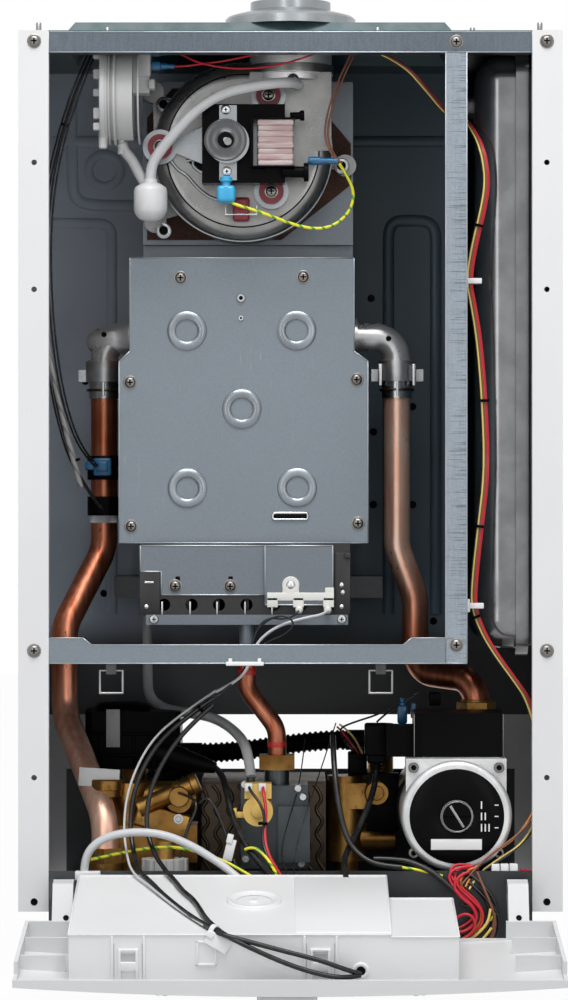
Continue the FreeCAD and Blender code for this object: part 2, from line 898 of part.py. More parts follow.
FRAME_FRONT = "(casing_depth - steel)"
FRAME_BACK = "(casing_depth - steel - rail_depth)"
BACK_FRONT = "(steel * 2)"
SWITCH_OUT = f"({FRAME_BACK} - switch_setback)"
FLOW_FLOOR_X = f"(flow_floor_inset - {HALF_WIDTH})"
VALVE_BACK = "(gas_out - valve_back_reach)"
VALVE_FRONT = "(gas_out + valve_front_reach)"
PLATE_BACK = "(front_plate_out - front_plate_gauge)"
MANIFOLD_OUT = "((manifold_back_out + manifold_front_out) / 2)"
ARCH_RADIUS = "((fascia_half_width^2 + fascia_bulge^2) / (fascia_bulge * 2))"
ARCH_OUT = "(fascia_edge_out + fascia_bulge)"

seats = []


def screw_hole(x, drop, face, gauge):
    """A clearance hole under a screw, whose seat is kept for the screw itself."""
    seats.append((x, drop, face))
    return stub(f"screw_hole_{len(seats)}", x, drop, (f"{face} - {gauge} - overrun", f"{face} + overrun"),
                "screw_radius + fit_gap")


def scroll_spot(share_x, share_drop, size):
    return f"scroll_x + {size} * {share_x}", f"scroll_drop + {size} * {share_drop}"


# Casing


def side_panel(node, side):
    """A folded side: front flange with a lip behind it, the side itself and a flange at the wall."""
    def across(text):
        return f"{side} * ({text})"
    inner = f"{INNER_WIDTH} + steel"
    outline = [
        (across(HALF_WIDTH), "0"),
        (across(HALF_WIDTH), "casing_depth"),
        (across(INNER_WIDTH), "casing_depth"),
        (across(INNER_WIDTH), "casing_depth - flange_lip"),
        (across(inner), "casing_depth - flange_lip"),
        (across(inner), FRAME_FRONT),
        (across(f"{HALF_WIDTH} - steel"), FRAME_FRONT),
        (across(f"{HALF_WIDTH} - steel"), "steel"),
        (across(f"{HALF_WIDTH} - rear_flange_width"), "steel"),
        (across(f"{HALF_WIDTH} - rear_flange_width"), "0"),
    ]
    panel = plan(f"{node}_fold", outline, ("0", "casing_height"))
    spot = across(f"{HALF_WIDTH} - flange_hole_inset")
    depth = (f"{FRAME_FRONT} - overrun", "casing_depth + overrun")
    holes = [stub(f"{node}_hole_{i}", spot, f"casing_height * {share}", depth, "flange_hole_radius")
             for i, share in enumerate(FLANGE_HOLE_SHARES)]
    holes += [
        screw_hole(spot, f"casing_height * {share}", "casing_depth", "steel")
        for share in FLANGE_SCREW_SHARES
    ]
    piece(node, cut(f"{node}_panel", panel, holes))


def back_panel():
    wide = f"({HALF_WIDTH} - steel)"
    outline = [
        (f"-{wide}", "steel"), (wide, "steel"), (wide, "back_edge_drop"), (f"-{wide}", "back_edge_drop"),
    ]
    sheet = plate("back_sheet", outline, ("steel", BACK_FRONT))
    doublers, bores = [], []
    for side, sign in (("left", -1), ("right", 1)):
        x = f"hanger_spacing / 2 * {sign}"
        doublers.append(
            stub(f"hanger_doubler_{side}", x, "hanger_drop", ("0", "steel"), "hanger_doubler_radius")
        )
        bores.append(
            stub(f"hanger_bore_{side}", x, "hanger_drop", ("-overrun", f"{BACK_FRONT} + overrun"),
                 "hanger_hole_radius")
        )
    piece("back_panel", cut("back_cut", fuse("back_solid", [sheet, *doublers]), bores))


def top_panel():
    wide = f"({HALF_WIDTH} - steel)"
    lip = "casing_depth - flange_lip"
    outline = [
        (f"-{wide}", "steel"), (wide, "steel"), (wide, lip), (INNER_WIDTH, lip), (INNER_WIDTH, FRAME_FRONT),
        (f"-{INNER_WIDTH}", FRAME_FRONT), (f"-{INNER_WIDTH}", lip), (f"-{wide}", lip),
    ]
    sheet = plan("top_sheet", outline, ("0", "steel"))
    across, depth = ("-plateau_left", "plateau_right"), ("plateau_back_out", "plateau_front_out")
    rise = frustum("top_rise", across, depth, ("-plateau_height", "0"), "plateau_slope")
    across = ("-plateau_left + steel", "plateau_right - steel")
    depth = ("plateau_back_out + steel", "plateau_front_out - steel")
    hollow = frustum("top_hollow", across, depth, ("-plateau_height + steel", "steel"), "plateau_slope")
    hole = pillar(
        "top_hole", "flue_x", FLUE_OUT, ("-plateau_height - overrun", "overrun"), "flue_hole_radius",
    )
    piece("top_panel", cut("top_cut", fuse("top_raised", [sheet, rise]), [hollow, hole]))


def front_frame():
    top = [
        (FRAME_FRONT, "steel"), (FRAME_FRONT, "steel + top_rail_height"),
        (FRAME_BACK, "steel + top_rail_height"), (FRAME_BACK, "top_rail_height"),
        (f"{FRAME_FRONT} - steel", "top_rail_height"), (f"{FRAME_FRONT} - steel", "steel * 2"),
        (FRAME_BACK, "steel * 2"), (FRAME_BACK, "steel"),
    ]
    rail = section("top_rail_fold", top, (f"-{INNER_WIDTH}", INNER_WIDTH))
    stile_middle = "stile_right_x - stile_width / 2"
    hole = screw_hole(stile_middle, "steel + top_rail_height / 2", FRAME_FRONT, "steel")
    piece("front_top_rail", cut("top_rail_cut", rail, [hole]))

    left = "stile_right_x - stile_width"
    outline = [
        (left, FRAME_FRONT), ("stile_right_x", FRAME_FRONT), ("stile_right_x", FRAME_BACK),
        ("stile_right_x - steel", FRAME_BACK), ("stile_right_x - steel", f"{FRAME_FRONT} - steel"),
        (f"{left} + steel", f"{FRAME_FRONT} - steel"), (f"{left} + steel", FRAME_BACK), (left, FRAME_BACK),
    ]
    stile = plan("stile_fold", outline, ("steel + top_rail_height", "chamber_bottom_drop"))
    hole = screw_hole(stile_middle, "chamber_bottom_drop - bottom_rail_height", FRAME_FRONT, "steel")
    piece("front_right_stile", cut("stile_cut", stile, [hole]))

    start = f"-{INNER_WIDTH}"
    low, mid = "chamber_bottom_drop", "chamber_bottom_drop - bottom_rail_height"
    high = "chamber_bottom_drop - bottom_rail_end_height"
    rise, run = "bottom_rail_end_width", "bottom_rail_end_width + bottom_rail_end_slope"
    outline = [(start, low), (start, high), (f"{start} + {rise}", high), (f"{start} + {run}", mid),
               (f"{left} - ({run})", mid), (f"{left} - {rise}", high), (left, high), (left, low)]
    web = plate("bottom_rail_web", outline, (f"{FRAME_FRONT} - steel", FRAME_FRONT))
    foot = slab("bottom_rail_foot", (start, left), (FRAME_BACK, FRAME_FRONT), (f"{low} - steel", low))
    piece("front_bottom_rail", fuse("bottom_rail_fold", [web, foot]))


def chamber():
    left = f"-({HALF_WIDTH} - steel)"
    outline = [
        (left, BACK_FRONT), ("stile_right_x", BACK_FRONT), ("stile_right_x", FRAME_BACK),
        (left, FRAME_BACK),
    ]
    holes = [(FLOW_FLOOR_X, "flow_floor_out", "pipe_radius + floor_hole_gap"),
             ("return_floor_x", "return_out", "pipe_radius + floor_hole_gap"),
             ("manifold_inlet_x", MANIFOLD_OUT, "manifold_inlet_radius + floor_hole_gap"),
             ("lead_hole_x", "lead_hole_out", "lead_hole_radius"),
             ("air_hose_x", "air_hose_out", "air_hose_radius + floor_hole_gap")]
    floor = plan("floor_sheet", outline, ("chamber_bottom_drop - steel", "chamber_bottom_drop"), holes)
    piece("chamber_floor", floor)
    wall = slab("divider_sheet", ("stile_right_x - steel", "stile_right_x"), (BACK_FRONT, FRAME_BACK),
                ("steel", "chamber_bottom_drop - steel"))
    hole = bar(
        "divider_hole", ("stile_right_x - steel - overrun", "stile_right_x + overrun"), "divider_hole_out",
        "divider_hole_drop", "divider_hole_radius",
    )
    piece("chamber_divider", cut("divider_cut", wall, [hole]))


def bottom_tray():
    """A level tray with holes for the connections, an apron in front and the hinge pins on it."""
    across = (f"-{INNER_WIDTH}", INNER_WIDTH)
    outline = [(across[0], "tray_back_out"), (across[1], "tray_back_out"), (across[1], FRAME_FRONT),
               (across[0], FRAME_FRONT)]
    holes = [(x, out, f"{radius} + tray_hole_gap") for x, out, top, radius in connections()]
    level = plan("tray_sheet", outline, ("tray_drop", "tray_drop + steel"), holes)
    apron = slab(
        "tray_apron", across, (f"{FRAME_FRONT} - steel", FRAME_FRONT),
        ("apron_top_drop", "apron_bottom_drop"),
    )
    upstand = slab("tray_upstand", across, ("tray_back_out", "tray_back_out + steel"),
                   ("upstand_top_drop", "tray_drop + steel"))
    folded = [level, apron, upstand]
    for side, inner, outer in (("left", "-1", "-1"), ("right", "1", "1")):
        face = f"{inner} * (arm_centre_x + arm_width / 2 + arm_side_gap)"
        back = f"{outer} * (arm_centre_x + arm_width / 2 + arm_side_gap + hinge_bracket_gauge)"
        tip = f"{inner} * (arm_centre_x - arm_width / 2)"
        plate_x = (back, face) if side == "left" else (face, back)
        pin_x = (back, tip) if side == "left" else (tip, back)
        folded.append(
            slab(
                f"hinge_bracket_{side}", plate_x,
                (f"{FRAME_FRONT} - steel", "hinge_out + hinge_bracket_reach"),
                ("hinge_drop - hinge_bracket_reach", "hinge_drop + hinge_bracket_reach"),
            )
        )
        folded.append(bar(f"hinge_pin_{side}", pin_x, "hinge_out", "hinge_drop", "hinge_pin_radius"))
    piece("bottom_tray", fuse("tray_fold", folded))


def connections():
    """Where each connection leaves: x, out, the drop it starts from and its radius."""
    return [("column_x", "column_out", "socket_bottom_drop", "stub_radius"),
            ("hot_x", "column_out", "socket_bottom_drop", "small_stub_radius"),
            ("gas_x", f"({VALVE_BACK} + {VALVE_FRONT}) / 2", "valve_bottom_drop", "small_stub_radius"),
            ("inlet_x", "inlet_out", "inlet_bottom_drop", "small_stub_radius"),
            ("pump_x", "(pump_back_out + pump_joint_out) / 2", "socket_bottom_drop", "stub_radius")]


# Flue and fan


def flue():
    base, top = "-plateau_height", "-plateau_height - collar_height"
    seat, ledge = "spigot_radius + fit_gap", "-plateau_height - spigot_entry"
    disc, rim = "-plateau_height - collar_disc_height", "-plateau_height - collar_rim_height"
    profile = [
        (seat, base), ("collar_radius", base), ("collar_radius", rim),
        ("collar_radius - collar_edge", f"{rim} - collar_edge"), ("collar_neck_radius", disc),
        ("collar_neck_radius", top),
        ("flue_bore_radius", top), ("flue_bore_radius", ledge), (seat, ledge),
    ]
    piece("flue_collar", turned_up("collar_turned", "flue_x", FLUE_OUT, profile))
    span = (ledge, NECK_BOTTOM)
    tube = pillar("spigot_outer", "flue_x", FLUE_OUT, span, "spigot_radius")
    bore = pillar("spigot_bore", "flue_x", FLUE_OUT, (f"{ledge} - overrun", f"{NECK_BOTTOM} + overrun"),
                  "spigot_radius - spigot_wall")
    piece("flue_spigot", cut("spigot_cut", tube, [bore]))


def flue_hood():
    across, inside = ("-hood_left", "hood_right"), ("-hood_left + steel", "hood_right - steel")
    box = slab("hood_box", across, ("hood_back_out", "hood_front_out"), ("hood_top_drop", "hood_bottom_drop"))
    skirt = slab("hood_skirt", across, ("hood_back_out", "hood_front_out - hood_skirt_inset"),
                 ("hood_bottom_drop", "exchanger_top_drop"))
    room = slab("hood_room", inside, ("hood_back_out + steel", "hood_front_out - steel"),
                ("hood_top_drop + steel", "hood_bottom_drop - steel"))
    throat = slab(
        "hood_throat", inside, ("hood_back_out + steel", "hood_front_out - hood_skirt_inset - steel"),
        ("hood_bottom_drop - steel - overrun", "exchanger_top_drop + overrun"),
    )
    inlet = stub(
        "hood_inlet", "fan_axis_x", "fan_axis_drop",
        ("hood_front_out - steel - overrun", "hood_front_out + overrun"), "fan_inlet_radius",
    )
    piece("flue_hood", cut("hood_cut", fuse("hood_solid", [box, skirt]), [room, throat, inlet]))
    outline = [(f"-hood_left + (hood_left + hood_right) * {a}",
                f"hood_top_drop + (hood_bottom_drop - hood_top_drop) * {b}") for a, b in GASKET_SHARES]
    holes = [("fan_axis_x", "fan_axis_drop", "fan_inlet_radius")]
    piece("fan_gasket", plate("gasket_sheet", outline, ("hood_front_out", GASKET_FRONT), holes))


def fan_scroll():
    """The cast scroll: a base with three lugs, the drum, its outlet and the bosses under the motor."""
    lugs = [scroll_spot(a, b, "base_radius") for a, b in BASE_LUG_SHARES]
    mounts = [scroll_spot(a, b, "scroll_radius") for a, b in MOUNT_SHARES]
    foot = (GASKET_FRONT, BASE_FRONT)
    solids = [
        plate("scroll_web", lugs, foot),
        stub("scroll_base", "scroll_x", "scroll_drop", foot, "base_radius"),
    ]
    solids += [stub(f"scroll_lug_{i}", x, drop, foot, "lug_radius") for i, (x, drop) in enumerate(lugs)]
    drum = stub("scroll_drum", "scroll_x", "scroll_drop", (GASKET_FRONT, SCROLL_FRONT), "scroll_radius")
    solids.append(rounded("scroll_round", drum, "scroll_edge_radius", level_at("y", y_of(SCROLL_FRONT))))
    wide = ("-outlet_half_width", "outlet_half_width")
    outlet = slab("scroll_outlet", wide, (BASE_FRONT, SCROLL_FRONT), (NECK_BOTTOM, "scroll_drop"))
    solids.append(outlet)
    solids.append(pillar("scroll_neck", "flue_x", FLUE_OUT, (NECK_TOP, NECK_BOTTOM), "outlet_neck_radius"))
    solids += [stub(f"scroll_boss_{i}", x, drop, (BASE_FRONT, SCROLL_FRONT), "mount_boss_radius")
               for i, (x, drop) in enumerate(mounts)]
    solids.append(stub("scroll_nipple", "nipple_x", "nipple_drop", (f"{SCROLL_FRONT} - scroll_wall",
                       f"{SCROLL_FRONT} + nipple_length"), "nipple_radius"))
    room = (BASE_FRONT, f"{SCROLL_FRONT} - scroll_wall")
    hollow = [stub("scroll_room", "scroll_x", "scroll_drop", room, "scroll_radius - scroll_wall")]
    hollow.append(stub("scroll_inlet", "fan_axis_x", "fan_axis_drop",
                       (f"{GASKET_FRONT} - overrun", f"{BASE_FRONT} + overrun"), "fan_inlet_radius"))
    hollow.append(
        slab(
            "scroll_passage", ("-outlet_half_width + scroll_wall", "outlet_half_width - scroll_wall"),
            (f"{BASE_FRONT} + scroll_wall", f"{SCROLL_FRONT} - scroll_wall"),
            (f"{NECK_BOTTOM} - overrun", "scroll_drop"),
        )
    )
    hollow.append(pillar("scroll_neck_bore", "flue_x", FLUE_OUT, (f"{NECK_TOP} - overrun", NECK_BOTTOM),
                         "spigot_radius + fit_gap"))
    hollow.append(
        stub(
            "scroll_shaft_hole", "fan_axis_x", "fan_axis_drop",
            (f"{SCROLL_FRONT} - scroll_wall - overrun", f"{SCROLL_FRONT} + overrun"), "shaft_hole_radius",
        )
    )
    hollow += [
        stub(
            f"scroll_tap_{i}", x, drop, (f"{SCROLL_FRONT} - screw_reach", f"{SCROLL_FRONT} + overrun"),
            "screw_radius + fit_gap",
        )
        for i, (x, drop) in enumerate(mounts)
    ]
    piece("fan_scroll", cut("scroll_cut", fuse("scroll_solid", solids), hollow))


def fan_motor():
    mounts = [scroll_spot(a, b, "scroll_radius") for a, b in MOUNT_SHARES]
    profile = [
        ("mount_bore_radius", SCROLL_FRONT), ("mount_radius", SCROLL_FRONT),
        ("mount_radius", MOTOR_PLATE_BACK), ("mount_neck_radius", MOTOR_PLATE_BACK),
        ("mount_neck_radius", MOTOR_PLATE_FRONT), ("mount_radius", MOTOR_PLATE_FRONT),
        ("mount_radius", f"{MOTOR_PLATE_FRONT} + mount_cap"),
        ("mount_bore_radius", f"{MOTOR_PLATE_FRONT} + mount_cap"),
    ]
    grommets = [turned_out(f"mount_{i}", x, drop, profile) for i, (x, drop) in enumerate(mounts)]
    piece("fan_rubber_mounts", group("mounts", grommets))
    for x, drop in mounts:
        seats.append((x, drop, f"{MOTOR_PLATE_FRONT} + mount_cap"))

    flat = (MOTOR_PLATE_BACK, MOTOR_PLATE_FRONT)
    solids = [plate("motor_web", mounts, flat)]
    solids += [
        stub(f"motor_lug_{i}", x, drop, flat, "motor_lug_radius")
        for i, (x, drop) in enumerate(mounts)
    ]
    corners = [
        (x, drop)
        for x in ("-stator_left + motor_spacer_inset", "stator_right - limb_width") for drop in (
            "stator_top_drop + motor_spacer_inset", "stator_bottom_drop - motor_spacer_inset",
        )
    ]
    solids += [stub(f"motor_spacer_{i}", x, drop, (MOTOR_PLATE_BACK, STATOR_BACK), "motor_spacer_radius")
               for i, (x, drop) in enumerate(corners)]
    solids += [slab("motor_wing", ("-stator_left", "stator_right - limb_width - window_width"), flat,
                    ("stator_top_drop", "stator_bottom_drop"))]
    holes = [
        stub(
            f"motor_lug_hole_{i}", x, drop,
            (f"{MOTOR_PLATE_BACK} - overrun", f"{MOTOR_PLATE_FRONT} + overrun"),
            "mount_neck_radius + fit_gap",
        )
        for i, (x, drop) in enumerate(mounts)
    ]
    holes.append(
        slab(
            "motor_coil_gap", ("stator_right - limb_width - coil_thickness - coil_gap", "stator_right"),
            (f"{MOTOR_PLATE_BACK} - overrun", f"{MOTOR_PLATE_FRONT} + overrun"),
            ("fan_axis_drop - coil_half_height - coil_gap", "fan_axis_drop + coil_half_height + coil_gap"),
        )
    )
    bearing = "shaft_radius + running_gap"
    holes.append(stub("motor_rear_bearing", "fan_axis_x", "fan_axis_drop",
                      (f"{MOTOR_PLATE_BACK} - overrun", f"{STATOR_BACK} + overrun"), bearing))
    rear = cut("motor_plate", fuse("motor_plate_solid", solids), holes)
    strap = slab(
        "bridge_strap", ("fan_axis_x - bridge_half_width", "fan_axis_x + bridge_half_width"),
        (STATOR_FRONT, BRIDGE_FRONT),
        ("fan_axis_drop - bridge_half_length", "fan_axis_drop + bridge_half_length"),
    )
    hub = stub("bridge_hub", "fan_axis_x", "fan_axis_drop", (BRIDGE_FRONT, HUB_FRONT), "bridge_hub_radius")
    bore = stub(
        "bridge_bore", "fan_axis_x", "fan_axis_drop",
        (f"{STATOR_FRONT} - overrun", f"{HUB_FRONT} + overrun"), bearing,
    )
    bridge = cut("motor_bridge", fuse("bridge_solid", [strap, hub]), [bore])
    piece("motor_frame", group("motor_metal", [rear, bridge]))

    left, right = "-stator_left", "stator_right"
    outline = [
        (left, "stator_top_drop"), (right, "stator_top_drop"), (right, "stator_bottom_drop"),
        (left, "stator_bottom_drop"),
    ]
    inner, outer = "stator_right - limb_width - window_width", "stator_right - limb_width"
    low, high = "fan_axis_drop - window_half_height", "fan_axis_drop + window_half_height"
    window = [(inner, low), (outer, low), (outer, high), (inner, high)]
    holes = [("fan_axis_x", "fan_axis_drop", "stator_bore_radius")]
    piece("motor_stator", plate("stator_stamping", outline, (STATOR_BACK, STATOR_FRONT), holes, [window]))
    tall = ("fan_axis_drop - coil_half_height", "fan_axis_drop + coil_half_height")
    winding = slab(
        "coil_block", ("stator_right - limb_width - coil_thickness", "stator_right + coil_thickness"),
        (f"{STATOR_BACK} - coil_thickness", f"{STATOR_FRONT} + coil_thickness"), tall,
    )
    core = slab("coil_core", ("stator_right - limb_width - coil_gap", "stator_right + coil_gap"),
                (f"{STATOR_BACK} - coil_gap", f"{STATOR_FRONT} + coil_gap"),
                (f"{tall[0]} - overrun", f"{tall[1]} + overrun"))
    smooth = rounded(
        "coil_round", winding, "coil_thickness / 2", lambda edge: abs(edge.tangentAt(0).z) > END_BEND_SHARE,
    )
    piece("motor_coil", cut("coil_cut", smooth, [core]))


def fan_rotor():
    """Shaft, rotor and the bladed wheel in the scroll."""
    disc_front = f"({SCROLL_FRONT} - scroll_wall - impeller_clearance)"
    shaft = stub(
        "rotor_shaft", "fan_axis_x", "fan_axis_drop",
        (f"{disc_front} - impeller_hub_length", f"{HUB_FRONT} + shaft_tip"), "shaft_radius",
    )
    core = stub("rotor_core", "fan_axis_x", "fan_axis_drop",
                (f"{STATOR_BACK} + rotor_end_gap", f"{STATOR_FRONT} - rotor_end_gap"), "rotor_radius")
    hub = stub(
        "wheel_hub", "fan_axis_x", "fan_axis_drop", (f"{disc_front} - impeller_hub_length", disc_front),
        "impeller_hub_radius",
    )
    wheel = doc.addObject("PartDesign::Body", "wheel")
    disc = wheel.newObject("PartDesign::Pad", "wheel_disc")
    disc.Profile = draw(wheel, "XZ_Plane", [], [("0", "0", "impeller_radius")])
    bind(disc, Length="impeller_disc_gauge")
    inner, half = "impeller_radius - impeller_blade_length", "impeller_blade_gauge / 2"
    vane = [(inner, f"-{half}"), ("impeller_radius", f"-{half}"), ("impeller_radius", half), (inner, half)]
    blade = wheel.newObject("PartDesign::Pad", "wheel_blade")
    blade.Profile = draw(wheel, "XZ_Plane", [vane])
    blade.Reversed = True
    bind(blade, Length="scroll_depth - scroll_wall - impeller_disc_gauge - impeller_clearance * 2")
    ring = wheel.newObject("PartDesign::PolarPattern", "wheel_ring")
    ring.Originals = [blade]
    axis = [feature for feature in wheel.Origin.OriginFeatures if feature.Role == "Y_Axis"][0]
    ring.Axis = (axis, [""])
    ring.Angle = 360
    ring.Occurrences = IMPELLER_BLADE_COUNT
    wheel.Tip = ring
    place(wheel, "fan_axis_x", f"-{disc_front} + impeller_disc_gauge", z_of("fan_axis_drop"))
    piece("fan_rotor", fuse("rotor_solid", [shaft, core, hub, wheel]))


def pressure_switch():
    left = "switch_x - switch_length / 2"
    right = "switch_x + switch_length / 2"
    rim = f"{left} - switch_rim_length"
    body = bar("switch_body", (left, right), SWITCH_OUT, "switch_drop", "switch_radius")
    edge = bar("switch_edge", (rim, left), SWITCH_OUT, "switch_drop", "switch_radius + switch_rim")
    tower = slab("switch_tower", (right, f"{right} + switch_tower_length"),
                 (f"{SWITCH_OUT} - switch_tower_half_width", f"{SWITCH_OUT} + switch_tower_half_width"),
                 ("switch_drop - switch_tower_height", "switch_drop"))
    low = "switch_drop + switch_radius"
    nozzle = pillar(
        "switch_nozzle", "switch_x", SWITCH_OUT, (f"{low} - switch_rim", f"{low} + switch_nozzle_length"),
        "switch_nozzle_radius",
    )
    piece("pressure_switch", fuse("switch_solid", [body, edge, tower, nozzle]))
    wide = (f"{SWITCH_OUT} - switch_bracket_half_width", f"{SWITCH_OUT} + switch_bracket_half_width")
    web = slab("switch_bracket_web", (f"{rim} - steel", rim), wide, ("steel", "switch_bracket_height"))
    foot = slab("switch_bracket_foot", (f"{rim} - switch_bracket_foot", rim), wide, ("steel", "steel * 2"))
    return fuse("switch_bracket", [web, foot])


# Heat exchanger, combustion chamber and burner


def heat_exchanger():
    across, depth = ("-exchanger_left", "exchanger_right"), ("hood_back_out", PLATE_BACK)
    tall = ("exchanger_top_drop", "exchanger_bottom_drop")
    jacket = slab("jacket_block", across, depth, tall)
    left, right = "-exchanger_left + exchanger_gauge", "exchanger_right - exchanger_gauge"
    room = slab("jacket_room", (left, right), ("hood_back_out + exchanger_gauge", f"{PLATE_BACK} + overrun"),
                (f"{tall[0]} - overrun", f"{tall[1]} + overrun"))
    deep = ("hood_back_out + exchanger_gauge", f"{PLATE_BACK} - fin_front_gap")
    high = ("exchanger_top_drop + fin_top_gap", "exchanger_bottom_drop - fin_bottom_gap")
    block = slab("fin_block", (left, right), deep, high)
    pitch = f"(({right}) - ({left}) - fin_slot_margin * 2 - fin_slot) / {FIN_SLOT_COUNT - 1}"
    slots = []
    for i in range(FIN_SLOT_COUNT):
        start = f"{left} + fin_slot_margin + {pitch} * {i}"
        slots.append(
            slab(
                f"fin_slot_{i}", (start, f"{start} + fin_slot"),
                (f"{deep[0]} + fin_slot_margin", f"{deep[1]} - fin_slot_margin"),
                (f"{high[0]} - overrun", f"{high[1]} + overrun"),
            )
        )
    piece("heat_exchanger", group("exchanger", [cut("jacket", jacket, [room]), cut("fins", block, slots)]))


def exchanger_elbows():
    """A brass elbow on each side: a foot on the jacket, the bend and a collar over the pipe."""
    elbows = []
    for name, start, end, out in (
        ("left", "-exchanger_left", "flow_x", "flow_out"),
        ("right", "exchanger_right", "return_x", "return_out"),
    ):
        corners = [
            point(start, out, "elbow_drop"), point(end, out, "elbow_drop"),
            point(end, out, "elbow_end_drop"),
        ]
        bend = bent_tube(f"elbow_bend_{name}", corners, number("elbow_radius"), bend=[number("elbow_bend")])
        foot_x = (f"{start} - elbow_foot", start) if name == "left" else (start, f"{start} + elbow_foot")
        foot = bar(f"elbow_foot_{name}", foot_x, out, "elbow_drop", "elbow_foot_radius")
        collar = pillar(
            f"elbow_collar_{name}", end, out, ("elbow_end_drop - elbow_end_collar", "elbow_end_drop"),
            "pipe_bead_radius",
        )
        elbows.append(fuse(f"elbow_{name}", [bend, foot, collar]))
    piece("exchanger_elbows", group("elbows", elbows))


def combustion_chamber():
    across, depth = ("-shell_left", "shell_right"), ("hood_back_out", PLATE_BACK)
    block = slab("shell_block", across, depth, ("exchanger_bottom_drop", "shell_bottom_drop"))
    front = f"{PLATE_BACK} + overrun"
    room = slab(
        "shell_room", ("-shell_left + steel", "shell_right - steel"), ("hood_back_out + steel", front),
        ("exchanger_bottom_drop + steel", "shell_bottom_drop - steel"),
    )
    above = slab(
        "shell_top", ("-exchanger_left + exchanger_gauge", "exchanger_right - exchanger_gauge"),
        ("hood_back_out + exchanger_gauge", front),
        ("exchanger_bottom_drop - overrun", "exchanger_bottom_drop + steel + overrun"),
    )
    below = slab(
        "shell_bottom", ("-burner_left + steel", "burner_right - steel"),
        ("burner_back_out + steel", front),
        ("shell_bottom_drop - steel - overrun", "shell_bottom_drop + overrun"),
    )
    piece("combustion_shell", cut("shell_cut", block, [room, above, below]))

    outline = [("-exchanger_left", "exchanger_top_drop"), ("exchanger_right", "exchanger_top_drop"),
               ("exchanger_right", "plate_step_drop"), ("shell_right", "exchanger_bottom_drop"),
               ("shell_right", "shell_bottom_drop"), ("-shell_left", "shell_bottom_drop"),
               ("-shell_left", "exchanger_bottom_drop"), ("-exchanger_left", "plate_step_drop")]

    def spot(share_x, share_drop):
        return (f"-shell_left + (shell_left + shell_right) * {share_x}",
                f"exchanger_top_drop + (shell_bottom_drop - exchanger_top_drop) * {share_drop}")
    x, drop = spot(*PLATE_SLOT_SHARE)
    half = "plate_slot_length / 2"
    slot = [
        (f"{x} - {half}", f"{drop} - plate_slot_half_height"),
        (f"{x} + {half}", f"{drop} - plate_slot_half_height"),
        (f"{x} + {half}", f"{drop} + plate_slot_half_height"),
        (f"{x} - {half}", f"{drop} + plate_slot_half_height"),
    ]
    sheet = plate("front_sheet", outline, (PLATE_BACK, "front_plate_out"), (), [slot])
    beads = []
    for i, shares in enumerate(PLATE_RING_SHARES):
        x, drop = spot(*shares)
        outer, inner = "plate_ring_radius", "plate_ring_radius - plate_ring_bead"
        crest = "front_plate_out + plate_ring_rise"
        profile = [(inner, PLATE_BACK), (outer, PLATE_BACK), (outer, "front_plate_out"),
                   (f"({outer} + {inner}) / 2", crest), (inner, "front_plate_out")]
        beads.append(turned_out(f"plate_bead_{i}", x, drop, profile))
    holes = [
        screw_hole(*spot(*shares), "front_plate_out", "front_plate_gauge")
        for shares in PLATE_SCREW_SHARES
    ]
    piece(
        "combustion_front_plate",
        cut("front_plate_cut", fuse("front_plate_beaded", [sheet, *beads]), holes),
    )


